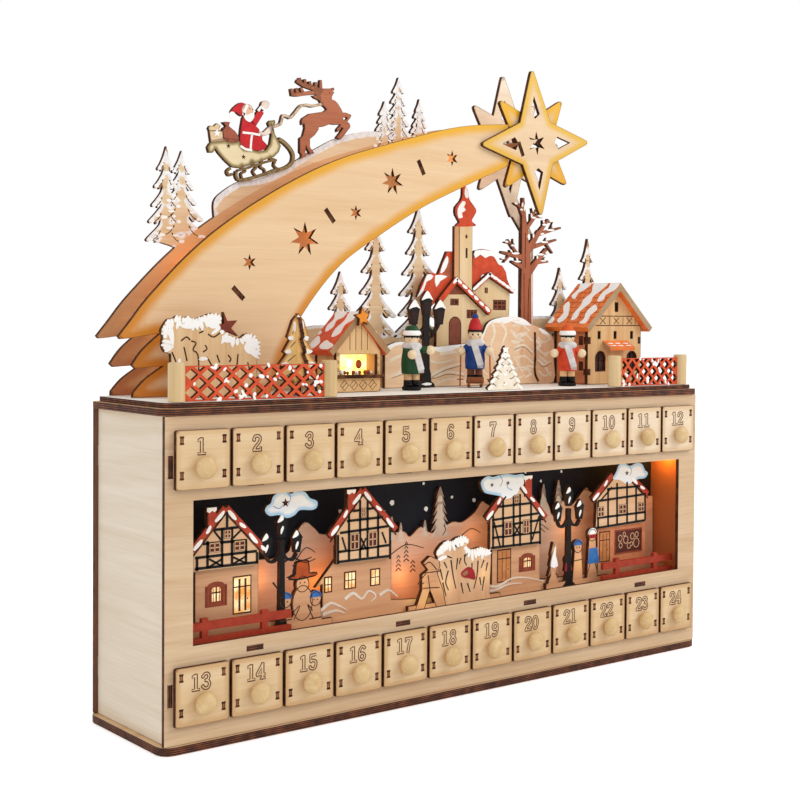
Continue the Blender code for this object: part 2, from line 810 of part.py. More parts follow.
def back_scenery():
    """Firs and snow on the comet's back plate, above the tail and under the arch."""
    shapes = [fir(37.0, 103.0, 61.0, 12.0, 4, 8.0), fir(50.0, 96.0, 66.0, 23.0, 5, 12.0)]
    bank = smooth(
        [
            (76.0, 118.0), (75.6, 129.2), (81.8, 136.3), (96.0, 144.7), (108.0, 146.6), (120.2, 150.5),
            (132.6, 156.3),
        ],
        2,
    )
    bank += smooth(
        [
            (132.6, 156.3), (145.2, 164.3), (158.8, 172.0), (179.7, 182.1), (208.4, 188.9),
            (230.0, 186.0),
        ],
        2,
    )[1:]
    shapes.append(bank + [(230.0, 170.0), (150.0, 146.0)])
    shapes += [
        fir(220.0, 178.0, 34.0, 12.0, 4, 3.0), fir(233.0, 180.0, 51.0, 14.0, 5, 3.0),
        fir(253.0, 186.0, 31.0, 11.0, 4, 3.0),
    ]
    hill = smooth(
        [(90.0, 26.0), (130.0, 40.0), (170.0, 46.0), (215.0, 38.0), (250.0, 44.0), (300.0, 46.0)], 2,
    )
    hill += smooth([(300.0, 46.0), (345.0, 50.0), (385.0, 54.0), (430.0, 50.0), (452.0, 30.0)], 2)[1:]
    shapes.append([(90.0, 0.0)] + hill + [(452.0, 0.0)])
    shapes += [
        fir(181.0, 20.0, 65.0, 20.0, 4, 3.0), fir(213.0, 20.0, 102.0, 24.0, 6, 3.5),
        fir(253.0, 20.0, 116.0, 25.0, 7, 3.5),
    ]
    shapes += [fir(402.0, 20.0, 74.0, 22.0, 5, 3.0), fir(434.0, 20.0, 99.0, 20.0, 6, 3.0)]
    return shapes


BACK_LAMPS = (
    (40.0, 50.0), (60.0, 84.0), (108.0, 100.0), (158.0, 130.0), (214.0, 154.0), (268.0, 176.0),
    (60.0, 26.0), (90.0, 50.0),
)


def comet_back():
    """The rear comet with its firs, lamps and the four cross strips that the front comet sits on."""
    leg = [
        (358.0, 0.0), (372.0, 0.0), (371.5, 118.0), (352.4, 150.0), (334.0, 164.0), (332.3, 162.8),
        (345.9, 136.7), (358.0, 122.0),
    ]
    adds = [comet_outline(), star_arms(STAR_LONG, STAR_WAIST, STAR_TURN)]
    adds += [star_arms(STAR_SHORT, 19.0, STAR_TURN + math.pi / 4), leg] + back_scenery()
    holes = [placed(o) for o in star_holes()]
    plate = prism([placed(o) for o in adds], holes, COMET_BACK_ROW, COMET_BACK_ROW + PLY)
    extras = []
    for outline in spacer_slots(0.0):
        front = COMET_ROW if outline[0][0] < STAR_CENTRE[0] - STAR_WAIST else COMET_ROW - GAP - PLY
        extras.append(prism([placed(outline)], (), front, COMET_BACK_ROW + PLY / 2))
    for x, z in BACK_LAMPS:
        profile = [(-3.4, LAMP_RADIUS * 0.7), (1.0, LAMP_RADIUS)]
        extras.append(turned(profile, (x + COMET_LEFT, COMET_BACK_ROW, z + STANDING), "Y", 6))
    piece("comet_back", combined(plate, extras), DEEP_WOOD)


def sleigh_outline():
    """Sleigh with its rider and sack, and the reins, with x measured from the foot's left tip."""
    hull = smooth(
        [
            (69.5, 163.3), (71.0, 169.0), (78.0, 173.0), (92.8, 173.3), (106.0, 170.0), (113.0, 170.5),
            (119.0, 177.0), (120.2, 188.8), (123.5, 189.1), (127.0, 179.0),
        ],
        1,
    )
    hull += smooth(
        [
            (127.0, 179.0), (131.0, 171.0), (126.0, 161.0), (112.0, 155.0), (94.5, 153.0),
            (85.0, 157.0), (74.9, 165.7),
        ],
        1,
    )[1:]
    runner = smooth(
        [
            (91.4, 150.7), (96.2, 144.2), (110.0, 147.5), (122.8, 152.0), (134.4, 157.0),
            (139.5, 166.0), (135.2, 174.0), (126.8, 181.0),
        ],
        2,
    )
    runner += [(125.0, 178.0)] + smooth(
        [(132.4, 172.0), (136.0, 165.5), (132.0, 160.0), (121.0, 155.5), (108.0, 151.0), (97.0, 148.5)],
        2,
    )
    struts = [
        bar((98.0, 156.0), (97.0, 147.5), 3.0, 3.0), bar((115.0, 159.0), (117.0, 151.5), 3.0, 3.0),
    ]
    coat = [
        (101.0, 172.0), (99.0, 190.0), (102.0, 197.0), (108.0, 195.0), (113.0, 188.0), (119.0, 176.0),
        (118.0, 167.0), (103.0, 167.0),
    ]
    head = ellipse(102.5, 192.0, 6.2, 6.5, 12)
    hat = smooth(
        [
            (108.0, 196.0), (104.5, 200.5), (96.0, 198.8), (89.5, 192.0), (86.0, 187.5), (89.0, 185.5),
            (93.5, 189.0), (97.0, 190.0),
        ],
        1,
    )
    arm = [
        (108.0, 186.0), (112.0, 196.0), (114.5, 201.5), (118.0, 200.0), (114.5, 192.0), (112.0, 182.0),
    ]
    sack = ellipse(86.0, 178.0, 7.0, 9.0, 12)
    gifts = [(69.0, 168.0), (69.5, 181.5), (76.0, 183.5), (82.0, 181.0), (82.0, 168.0)]
    reins = smooth(
        [
            (121.0, 184.5), (129.5, 188.0), (131.0, 193.0), (136.0, 191.0), (144.0, 200.0),
            (150.0, 203.5), (168.0, 205.0),
        ],
        1,
    )
    reins += smooth(
        [
            (168.0, 202.4), (150.0, 200.8), (145.5, 197.5), (137.0, 188.4), (132.5, 189.8),
            (131.4, 185.6), (121.0, 181.5),
        ],
        1,
    )
    return [hull, runner, coat, head, hat, arm, sack, gifts, reins] + struts


def reindeer_outline():
    body = smooth(
        [
            (146.2, 191.5), (150.0, 196.5), (158.0, 198.5), (166.5, 199.6), (170.0, 206.0),
            (178.0, 204.0), (184.0, 196.0), (187.0, 189.5), (176.0, 186.5), (160.5, 186.9),
            (152.0, 177.6), (146.0, 180.0),
        ],
        1,
    )
    neck = [
        (166.0, 196.0), (161.0, 206.5), (154.0, 208.5), (153.6, 211.0), (160.0, 213.0), (164.0, 216.0),
        (171.5, 216.5), (172.6, 209.5), (178.8, 203.0), (176.0, 190.0),
    ]
    hind = [
        (144.0, 192.0), (143.4, 177.0), (145.3, 165.1), (148.5, 165.3), (148.6, 175.0), (150.5, 168.0),
        (154.7, 167.9), (151.6, 178.5), (158.0, 188.0),
    ]
    fore = [
        (178.0, 199.0), (182.5, 199.1), (188.6, 198.1), (184.5, 193.4), (187.8, 190.1), (179.8, 181.4),
        (175.4, 185.4), (178.0, 191.0), (170.0, 190.0),
    ]
    antler = [
        bar((163.5, 212.5), (145.0, 209.0), 3.6, 3.0), bar((164.0, 214.0), (140.0, 219.5), 4.0, 3.0),
        bar((163.0, 213.0), (162.0, 221.1), 3.4, 2.4),
    ]
    antler += [
        bar((145.5, 209.0), (135.0, 208.0), 3.6, 3.2), bar((136.5, 207.5), (138.0, 213.0), 2.8, 2.4),
    ]
    antler += [
        bar((x, z), (x - 2.0, z + 7.5), 2.8, 2.4) for x,
        z in ((143.0, 217.0), (149.5, 215.0), (156.0, 214.0))
    ]
    ear = bar((167.0, 215.0), (171.5, 215.6), 2.4, 1.6)
    return [body, neck, hind, fore, ear] + antler


def santa_sleigh():
    row = COMET_BACK_ROW - GAP - PLY
    adds = [placed(o) for o in sleigh_outline() + reindeer_outline()]
    piece("santa_sleigh", prism(adds, (), row, row + PLY), GOLD_WOOD)


# Pieces on the snow plate

def lattice(x0, x1, foot, head, columns):
    """Cuts of a diagonal lattice: whole diamonds in the middle and halves along the edges."""
    step = (x1 - x0) / columns
    rows = 3
    rise = (head - foot) / rows
    wall = 1.7
    cuts = []
    for r in range(rows):
        for c in range(columns):
            cx, cz = x0 + step * (c + 0.5), foot + rise * (r + 0.5)
            cuts.append(
                [
                    (cx, cz - rise / 2 + wall), (cx + step / 2 - wall, cz), (cx, cz + rise / 2 - wall),
                    (cx - step / 2 + wall, cz),
                ]
            )
    for r in range(1, rows):
        for c in range(1, columns):
            cx, cz = x0 + step * c, foot + rise * r
            cuts.append(
                [
                    (cx, cz - rise / 2 + wall), (cx + step / 2 - wall, cz), (cx, cz + rise / 2 - wall),
                    (cx - step / 2 + wall, cz),
                ]
            )
    return cuts


def garden_fence(name, left, right, columns):
    """Two turned posts with a red lattice let into them."""
    row = -SNOW_HALF_DEPTH + POST_RADIUS + 1.6
    foot = STANDING
    x0, x1 = left + POST_RADIUS * 0.6, right - POST_RADIUS * 0.6
    holes = lattice(x0 + 3.0, x1 - 3.0, foot, foot + LATTICE_HEIGHT, columns)
    sheet = rectangle(x0, foot, x1, foot + LATTICE_HEIGHT)
    panel = prism([sheet], holes, row - PLY / 2, row + PLY / 2)
    posts = [
        turned(
            [(0.0, POST_RADIUS), (POST_HEIGHT, POST_RADIUS)], (x, row, foot), "Z", 12,
        ) for x in (left, right)
    ]
    piece(name, combined(panel, posts), RAIL_RED, smooth_angle=35)


def snow_bush():
    row = -8.0
    cx = spot(-0.77)
    shapes = [
        ellipse(cx - 20, 30, 16, 17, 14), ellipse(cx + 4, 32, 22, 20, 16),
        ellipse(cx + 26, 26, 12, 15, 12),
    ]
    shapes += [
        rectangle(cx - 30, 0, cx + 34, 22), ellipse(cx - 30, 24, 9, 12, 10),
        star(cx + 12, 46, 5, 8.0, 3.4, 1.35),
    ]
    standing("snow_bush", shapes, [], row, BIRCH)


def cross_fir():
    row = -18.0
    cx = spot(-0.527)
    outline = fir(cx, 0.0, 54.0, 16.0, 4, 3.0, 4.0)
    side = fir(row, 0.0, 54.0, 13.0, 4, 3.0, 4.0)
    lift = [shift(outline, 0.0, STANDING)]
    across = [shift(side, 0.0, STANDING)]
    one = prism(lift, (), row - PLY / 2, row + PLY / 2)
    two = prism(across, (), cx - PLY / 2, cx + PLY / 2, "YZ")
    piece("cross_fir", combined(one, [two]), BIRCH)


def hut_roof(cx, apex, eave_half, eave, y0, y1):
    """Two roof boards that meet at the ridge."""
    return prism([bar((cx + 1.6, apex), (cx - eave_half, eave), ROOF_THICKNESS, ROOF_THICKNESS),
                  bar((cx - 1.6, apex), (cx + eave_half, eave), ROOF_THICKNESS, ROOF_THICKNESS)], (), y0, y1)


def market_stall():
    """An open hut: gable front over a counter, side walls, back wall, roof and a star."""
    cx, y0, y1 = spot(-0.28), -6.0, 20.0
    half, eave, apex, sill, head = 19.0, 28.0, 53.0, 12.0, 26.0
    wall, foot = HOUSE_WALL, STANDING
    gable = [
        (cx - half, foot), (cx + half, foot), (cx + half, foot + eave), (cx, foot + apex),
        (cx - half, foot + eave),
    ]
    front = prism(
        [gable], [rectangle(cx - half + 3, foot + sill, cx + half - 3, foot + head)], y0, y0 + wall,
    )
    back = prism([gable], (), y1 - wall, y1)
    sides = [box(x, y0, foot, x + wall, y1, foot + eave) for x in (cx - half, cx + half - wall)]
    counter = box(cx - half - 1, y0 - 3.0, foot + sill - 2.4, cx + half + 1, y0 + 1.0, foot + sill)
    roof = hut_roof(cx, foot + apex + 1.2, half + 5.5, foot + eave - 1.0, y0 - 2.0, y1 + 2.0)
    sign = prism([shift(star(cx, apex - 1, 5, 7.0, 3.2, 1.5), 0.0, foot)], (), y0 - 2.0 - PLY, y0 + 0.5)
    piece("market_stall", combined(front, [back, counter, roof, sign] + sides), BIRCH)


def village_house():
    """The house at the right: four walls, two roof boards, and an awning over its door."""
    cx, y0, y1 = spot(0.782), -10.0, 28.0
    half, eave, apex = 30.5, 45.0, 78.0
    wall, foot = HOUSE_WALL, STANDING
    gable = [
        (cx - half, foot), (cx + half, foot), (cx + half, foot + eave), (cx, foot + apex),
        (cx - half, foot + eave),
    ]
    windows = []
    for x, z, w, h in (
        (-22.0, 43.0, 3.4, 7.0), (-5.0, 43.0, 3.4, 7.0), (12.0, 43.0, 3.4, 7.0), (-2.0, 61.0, 3.4, 8.0),
        (-22.0, 17.0, 8.0, 12.0), (15.0, 17.0, 8.0, 12.0),
    ):
        windows.append(rectangle(cx + x, foot + z - h / 2, cx + x + w, foot + z + h / 2))
    front = prism([gable], windows, y0, y0 + wall)
    back = prism([gable], (), y1 - wall, y1)
    sides = [box(x, y0, foot, x + wall, y1, foot + eave) for x in (cx - half, cx + half - wall)]
    roof = hut_roof(cx, foot + apex + 1.2, half + 5.5, foot + eave - 1.5, y0 - 6.0, y1 + 4.0)
    awning = prism(
        [
            [
                (y0 - 9.0, foot + 27.0), (y0 + 0.6, foot + 32.0), (y0 + 0.6, foot + 35.0),
                (y0 - 9.0, foot + 29.4),
            ]
        ],
        (), cx - 14.0, cx + 14.0, "YZ",
    )
    piece("village_house", combined(front, [back, roof, awning] + sides), ROOF_RED)


def church():
    """Gabled hall, onion-domed tower and nave, cut out in layers."""
    row, cx = 31.5, spot(0.26)
    hall = [(cx - 34, 0), (cx + 24, 0), (cx + 24, 56), (cx - 11, 81), (cx - 25, 70), (cx - 34, 70)]
    wing = [
        (cx - 47, 68), (cx - 38, 85), (cx - 24, 85), (cx - 16, 103), (cx - 6, 78), (cx - 14, 62),
        (cx - 30, 60),
    ]
    nave = [
        (cx + 4, 0), (cx + 45, 0), (cx + 45, 70), (cx + 50, 72), (cx + 42, 92), (cx + 26, 105),
        (cx + 9, 104), (cx + 4, 74),
    ]
    layers = prism([shift(o, 0.0, STANDING) for o in (hall, wing, nave)], (), row, row + PLY)
    tower = [rectangle(cx - 9, 0, cx + 7, 123)]
    dome = smooth(
        [
            (cx + 9.5, 122.5), (cx + 6, 127), (cx + 9.5, 136), (cx + 4.5, 142), (cx + 2.5, 146),
            (cx - 0.5, 155), (cx - 2.5, 155),
        ],
        2,
    )
    dome += smooth(
        [(cx - 5, 146), (cx - 7.5, 142), (cx - 11.5, 136), (cx - 8, 127), (cx - 11.5, 122.5)], 2,
    )
    spire = prism([shift(o, 0.0, STANDING) for o in tower + [dome]], (), row - PLY + 0.6, row + PLY)
    roofs = [
        bar((cx - 34, 51), (cx - 10, 83), 5.5, 4.0), bar((cx - 12, 83), (cx + 27, 54), 4.0, 5.5),
        bar((cx + 7, 70), (cx + 26, 84), 4.0, 4.0), bar((cx + 25, 84), (cx + 51, 69), 4.0, 4.0),
    ]
    edges = prism([shift(o, 0.0, STANDING) for o in roofs], (), row - PLY, row + 0.6)
    piece("church", combined(layers, [spire, edges]), BIRCH)


def bare_tree():
    cx = spot(0.536)
    limbs = [
        bar((cx, 0), (cx, 92), 13.0, 11.0), bar((cx, 86), (cx - 2, 124), 11.0, 7.0),
        bar((cx - 2, 120), (cx - 4, 148), 6.5, 2.6),
    ]
    pairs = (
        ((0, 88), (22, 108), 7.0, 3.0), ((10, 97), (24, 98), 4.0, 2.2), ((-1, 92), (-16, 97), 5.0, 2.0),
        ((-1, 100), (-27, 104), 5.0, 2.2),
        ((-8, 101), (-20, 114), 3.4, 1.8), ((0, 104), (14, 122), 7.0, 4.5),
        ((13, 120), (24, 132), 4.5, 2.4), ((6, 109), (33, 116), 4.0, 2.0),
        ((14, 120), (38, 126), 3.6, 1.8), ((-2, 122), (12, 136), 4.2, 2.0),
        ((-3, 132), (-9, 143), 3.0, 1.6), ((6, 130), (9, 139), 2.6, 1.6),
    )
    for start, end, width, tip in pairs:
        limbs.append(bar((cx + start[0], start[1]), (cx + end[0], end[1]), width, tip))
    standing("bare_tree", limbs, [], 32.0, BARK)


def snow_hills():
    """Banks of snow before the church, with the bare tree's rock at the right."""
    left = spot(-0.085)
    ridge = smooth(
        [
            (0, 30), (14, 35), (38, 31), (62, 38), (92, 50), (118, 53), (136, 52), (150, 44), (162, 38),
            (171, 34),
        ],
        2,
    )
    outline = [(0, 0)] + ridge + [(171, 0)]
    standing("snow_hills", [shift(outline, left)], [], 24.8, BIRCH)


def street_lamp():
    shapes = [shift(o, spot(0.062)) for o in street_lantern(0, 72)]
    standing("street_lamp", shapes, [], 19.0, BLACK)


def white_fir():
    standing("white_fir", [fir(spot(0.183), 0.0, 32.0, 19.0, 4, 4.0, 2.0)], [], -36.0, SNOW)


def figurine(name, at, look, hat_height, plinth):
    """A turned figure: plinth, legs, flared coat, round head and pointed hat, with two ball hands."""
    x, y = at
    base = STANDING
    body = [
        (0.0, 8.6), (plinth, 8.6), (plinth, 6.0), (plinth + 7.0, 6.0), (plinth + 8.0, 9.2),
        (plinth + 23.0, 6.4),
        (plinth + 28.0, 6.8), (plinth + 33.0, 7.6), (plinth + 38.5, 6.4),
        (plinth + 38.5 + hat_height, 1.8),
    ]
    core = turned(body, (x, y, base), "Z", 10)
    extras = []
    for side in (-1, 1):
        hand = (x + side * 11.5, y - 2.0, base + plinth + 17.0)
        extras.append(turned([(-3.0, 1.6), (0.0, 3.2), (3.0, 1.6)], hand, "Z", 6))
        arm = bar(
            (hand[0] - side, base + plinth + 17.5), (x + side * 4.0, base + plinth + 22.0), 3.6, 4.6,
        )
        extras.append(prism([arm], (), y - 3.6, y + 0.6))
    piece(name, combined(core, extras), look, smooth_angle=40)


# Battery box on the back panel

def battery_middle():
    return (FLOOR_TOP + CEILING) / 2 - SWITCH_BAR / 2


def battery_box():
    """A plastic tray set into the back panel, with rails for its cover and a bar that holds the switch."""
    wide, high = BATTERY_WIDTH / 2, BATTERY_HEIGHT / 2
    middle = battery_middle()
    face = REAR + GAP
    inner = face - BATTERY_DEPTH
    hollow_w, hollow_h = wide - BATTERY_WALL - 2.0, high - BATTERY_WALL - 2.0
    shell = box(-wide, inner, middle - high, wide, face + 0.6, middle + high)
    rim = prism(
        [
            rectangle(
                -wide - FLANGE_RIM, middle - high - FLANGE_RIM, wide + FLANGE_RIM,
                middle + high + SWITCH_BAR + FLANGE_RIM,
            )
        ],
        (), face, face + FLANGE_THICKNESS,
    )
    ledge = box(
        -SWITCH_SLOT, face - 4.4, middle + high - 0.6, SWITCH_SLOT, face - 3.1,
        middle + high + SWITCH_RISE + 3.0,
    )
    solid = combined(shell, [rim, ledge])
    hollow = box(
        -hollow_w, inner + BATTERY_WALL, middle - hollow_h, hollow_w, face + 5.0, middle + hollow_h,
    )
    seat = box(-wide, face + 0.4, middle - high - FLANGE_RIM - 1.0, wide, face + 5.0, middle + high)
    slot_z = middle + high + SWITCH_RISE
    slot = box(-SWITCH_SLOT / 2, face - 1.0, slot_z - 1.7, SWITCH_SLOT / 2, face + 5.0, slot_z + 1.7)
    piece("battery_box", combined(solid, [hollow, seat, slot], "DIFFERENCE"), PLASTIC)


def battery_cover():
    """A flat cover that slides down out of the box's rails, with a ridge for the thumb."""
    wide, high = BATTERY_WIDTH / 2 - GAP, BATTERY_HEIGHT / 2
    middle = battery_middle()
    face = REAR + GAP + 0.4 + GAP
    outer = REAR + GAP + FLANGE_THICKNESS
    plate = box(-wide, face, middle - high - FLANGE_RIM, wide, outer, middle + high - GAP)
    ridges = [
        box(
            -9.0, face + 0.4, middle - high + 4.0 + 2.4 * i, 9.0, outer + 0.6,
            middle - high + 5.0 + 2.4 * i,
        ) for i in range(3)
    ]
    piece("battery_cover", combined(plate, ridges), PLASTIC)


def power_switch():
    middle = battery_middle()
    slot_z = middle + BATTERY_HEIGHT / 2 + SWITCH_RISE
    face = REAR + GAP
    left = -SWITCH_SLOT / 2 + GAP
    lever = box(
        left, face - 1.6, slot_z - 1.3, left + SWITCH_KNOB, face + FLANGE_THICKNESS + 1.4, slot_z + 1.3,
    )
    slider = box(
        left - 2.0, face - 2.8, slot_z - 2.6, left + SWITCH_KNOB + 2.0, face - 0.4, slot_z + 2.6,
    )
    piece("power_switch", combined(lever, [slider]), PLASTIC)


def build():
    clear_scene()
    base_plate()
    front_panel()
    back_panel()
    side_panels()
    rack("lower_rack", LOWER_SHELF_TOP, FLOOR_TOP - PLY / 2, FLOOR_TOP)
    rack("upper_rack", UPPER_SHELF_TOP, PANEL_HEAD)
    drawers()
    top_plates()
    sky_and_hills()
    village_plate()
    rail_fence("diorama_fence_left", -222, -143)
    rail_fence("diorama_fence_right", 143, 222)
    light_strip()
    comet_front()
    comet_back()
    star_front()
    santa_sleigh()
    garden_fence("fence_left", spot(-0.955), spot(-0.482), 9)
    garden_fence("fence_right", spot(0.642), spot(0.962), 6)
    snow_bush()
    cross_fir()
    market_stall()
    village_house()
    church()
    bare_tree()
    snow_hills()
    street_lamp()
    white_fir()
    figurine("figurine_green", (spot(-0.075), -4.0), GREEN, 7.0, 3.0)
    figurine("figurine_blue", (spot(0.22), 8.0), BLUE, 12.0, 4.5)
    figurine("figurine_orange", (spot(0.538), -14.0), ORANGE, 8.0, 3.0)
    battery_box()
    battery_cover()
    power_switch()


if __name__ == "__main__":
    build()
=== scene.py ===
"""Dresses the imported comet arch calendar: a plywood box of drawers under a lit comet and a snowy village."""

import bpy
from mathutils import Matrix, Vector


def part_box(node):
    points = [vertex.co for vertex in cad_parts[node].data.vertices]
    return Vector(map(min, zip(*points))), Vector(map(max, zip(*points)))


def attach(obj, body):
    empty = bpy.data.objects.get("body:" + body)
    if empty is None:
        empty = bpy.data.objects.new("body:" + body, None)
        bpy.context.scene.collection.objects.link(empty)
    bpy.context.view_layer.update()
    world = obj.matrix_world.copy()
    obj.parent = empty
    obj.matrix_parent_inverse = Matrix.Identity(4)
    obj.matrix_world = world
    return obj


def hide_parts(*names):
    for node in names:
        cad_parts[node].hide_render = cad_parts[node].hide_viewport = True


bl_info = {
    "name": "Comet arch calendar",
    "version": (1, 0, 0),
    "blender": (4, 5, 0),
    "location": "3D View > Sidebar > Comet arch",
    "description": "Makes each dressed piece of the comet arch calendar around its packed model",
    "category": "Object",
}

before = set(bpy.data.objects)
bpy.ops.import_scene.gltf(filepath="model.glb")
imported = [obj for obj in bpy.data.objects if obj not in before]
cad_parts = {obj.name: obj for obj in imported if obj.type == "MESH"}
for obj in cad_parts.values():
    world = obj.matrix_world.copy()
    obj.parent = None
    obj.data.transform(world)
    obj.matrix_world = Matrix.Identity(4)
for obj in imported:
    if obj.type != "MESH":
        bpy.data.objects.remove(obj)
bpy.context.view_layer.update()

import math
import random

import bmesh
import bpy
import numpy as np
from mathutils import Matrix, Vector, geometry

MM = 0.001


def rgb(code):
    """An sRGB hex colour as linear RGBA; a colour that is linear already only gets its alpha."""
    if not isinstance(code, str):
        return (*code, 1.0)
    parts = [int(code[i:i + 2], 16) / 255 for i in (0, 2, 4)]
    flat = [c / 12.92 if c <= 0.04045 else ((c + 0.055) / 1.055) ** 2.4 for c in parts]
    return (*flat, 1.0)


def node_box(name):
    """A CAD node's lowest and highest corners in millimetres."""
    low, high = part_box(name)
    return low / MM, high / MM


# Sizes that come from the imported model, in millimetres
FACE = node_box("front_panel")[0].y
GROUND = node_box("snow_plate")[1].z + 0.3
FOOT_X = node_box("comet_front")[0].x + 10.1

# The star's middle from the comet's foot, its turn, and the thickness of every board
STAR_X, STAR_Z = 342.8, 188.0
STAR_TURN = math.radians(5.4)
PLY = 3.0


# Flat outlines in millimetres

def trace(text, wide=2):
    """Rows of numbers from a text that lists them: the points of an outline, unless wide says otherwise."""
    values = [float(t) if "." in t else int(t) for t in text.split()]
    return list(zip(*[iter(values)] * wide))


def traces(text):
    """Several outlines from one text, with a semicolon between them."""
    return [trace(t) for t in text.split(";")]


def rect(x0, z0, x1, z1):
    return [(x0, z0), (x1, z0), (x1, z1), (x0, z1)]


def block(cx, cz, width, height, turn=0.0):
    """A rectangle about its middle, turned anticlockwise by degrees."""
    c, s = math.cos(math.radians(turn)), math.sin(math.radians(turn))
    w, h = width / 2, height / 2
    return [(cx + x * c - z * s, cz + x * s + z * c) for x, z in ((-w, -h), (w, -h), (w, h), (-w, h))]


def ring(cx, cz, rx, rz, steps=20, start=0.0, sweep=360.0):
    """Points of an ellipse, or of part of one when the sweep is less than a full turn."""
    count = steps if sweep >= 360.0 else steps + 1
    turns = [math.radians(start + sweep * i / steps) for i in range(count)]
    return [(cx + rx * math.cos(a), cz + rz * math.sin(a)) for a in turns]


def rounded(x0, z0, x1, z1, r):
    corners = ((x1 - r, z1 - r, 0), (x0 + r, z1 - r, 90), (x0 + r, z0 + r, 180), (x1 - r, z0 + r, 270))
    return [p for cx, cz, a in corners for p in ring(cx, cz, r, r, 4, a, 90.0)]


def star(cx, cz, points, outer, inner, turn=90.0):
    spots = []
    for i in range(2 * points):
        a, r = math.radians(turn + 180.0 * i / points), inner if i % 2 else outer
        spots.append((cx + r * math.cos(a), cz + r * math.sin(a)))
    return spots


def smooth(points, steps=4, closed=False):
    """A curve through all the points."""
    if closed:
        ring_points = [points[-1]] + list(points) + [points[0], points[1]]
    else:
        ring_points = [points[0]] + list(points) + [points[-1]]
    curve = []
    for i in range(1, len(ring_points) - 2):
        p = [Vector(ring_points[i + k]) for k in (-1, 0, 1, 2)]
        for k in range(steps):
            t = k / steps
            spot = 2 * p[1] + (p[2] - p[0]) * t + (2 * p[0] - 5 * p[1] + 4 * p[2] - p[3]) * t ** 2
            spot += (3 * p[1] - p[0] - 3 * p[2] + p[3]) * t ** 3
            curve.append(tuple(spot * 0.5))
    return curve if closed else curve + [tuple(points[-1])]


def lobe(points, steps):
    """A closed curve through all the points."""
    return smooth(points, steps, closed=True)


def bar(start, end, width, tip=None):
    """A straight strip, tapered when its tip has a width of its own."""
    a, b = Vector(start), Vector(end)
    across = Vector((a.y - b.y, b.x - a.x)).normalized()
    w, t = width / 2, (width if tip is None else tip) / 2
    return [tuple(a - across * w), tuple(b - across * t), tuple(b + across * t), tuple(a + across * w)]


def stroke(path, width, tip=None):
    """A strip of even width along a path, or one that narrows to its tip."""
    points = [Vector(p) for p in path]
    left, right = [], []
    for i, p in enumerate(points):
        way = (points[min(i + 1, len(points) - 1)] - points[max(i - 1, 0)]).normalized()
        share = i / (len(points) - 1)
        half = (width + ((width if tip is None else tip) - width) * share) / 2
        across = Vector((-way.y, way.x)) * half
        left.append(tuple(p + across))
        right.append(tuple(p - across))
    return right + left[::-1]


def moved(outline, dx, dz=0.0):
    return [(x + dx, z + dz) for x, z in outline]


def area(outline):
    return sum(a[0] * b[1] - b[0] * a[1] for a, b in zip(outline, outline[1:] + outline[:1])) / 2


# Solids

def spot_on(plane, u, v, depth):
    return {"XZ": (u, depth, v), "XY": (u, v, depth), "YZ": (depth, u, v)}[plane]


def split(outline, pitch):
    """The outline with points added so that no side is longer than the pitch."""
    spots = []
    for a, b in zip(outline, outline[1:] + outline[:1]):
        count = max(1, math.ceil(math.dist(a, b) / pitch))
        spots += [(a[0] + (b[0] - a[0]) * i / count, a[1] + (b[1] - a[1]) * i / count) for i in range(count)]
    return spots


def filling(outlines, pitch):
    """Loose points on a staggered grid over the outlines, so that a wide face has points inside."""
    every = [p for outline in outlines for p in outline]
    low_u, high_u = min(p[0] for p in every), max(p[0] for p in every)
    low_v, high_v = min(p[1] for p in every), max(p[1] for p in every)
    spots = []
    for j in range(int((high_v - low_v) / (pitch * 0.87)) + 1):
        for i in range(int((high_u - low_u) / pitch) + 1):
            spots.append((low_u + (i + 0.5 * (j % 2)) * pitch, low_v + j * pitch * 0.87))
    return spots


def triangulated(loops, inner=()):
    """Points and triangles over all the loops, and which of the loops each triangle lies in."""
    sites, groups = [], []
    for loop in loops:
        groups.append(list(range(len(sites), len(sites) + len(loop))))
        sites += [Vector(p) for p in loop]
    sites += [Vector(p) for p in inner]
    flat, _, triangles, _, _, owners = geometry.delaunay_2d_cdt(sites, [], groups, 1, 1e-4)
    return flat, triangles, owners


def distance(points, lines):
    """How far each point is from the nearest of the line pieces, in millimetres."""
    if not len(lines):
        return np.full(len(points), 99.0)
    a, b = lines[:, 0], lines[:, 1]
    way = b - a
    size = np.maximum((way ** 2).sum(1), 1e-9)
    best = np.full(len(points), 1e9)
    for k in range(0, len(points), 2000):
        p = points[k:k + 2000, None]
        t = np.clip(((p - a) * way).sum(2) / size, 0, 1)
        best[k:k + 2000] = np.sqrt(((p - a - way * t[..., None]) ** 2).sum(2)).min(1)
    return best


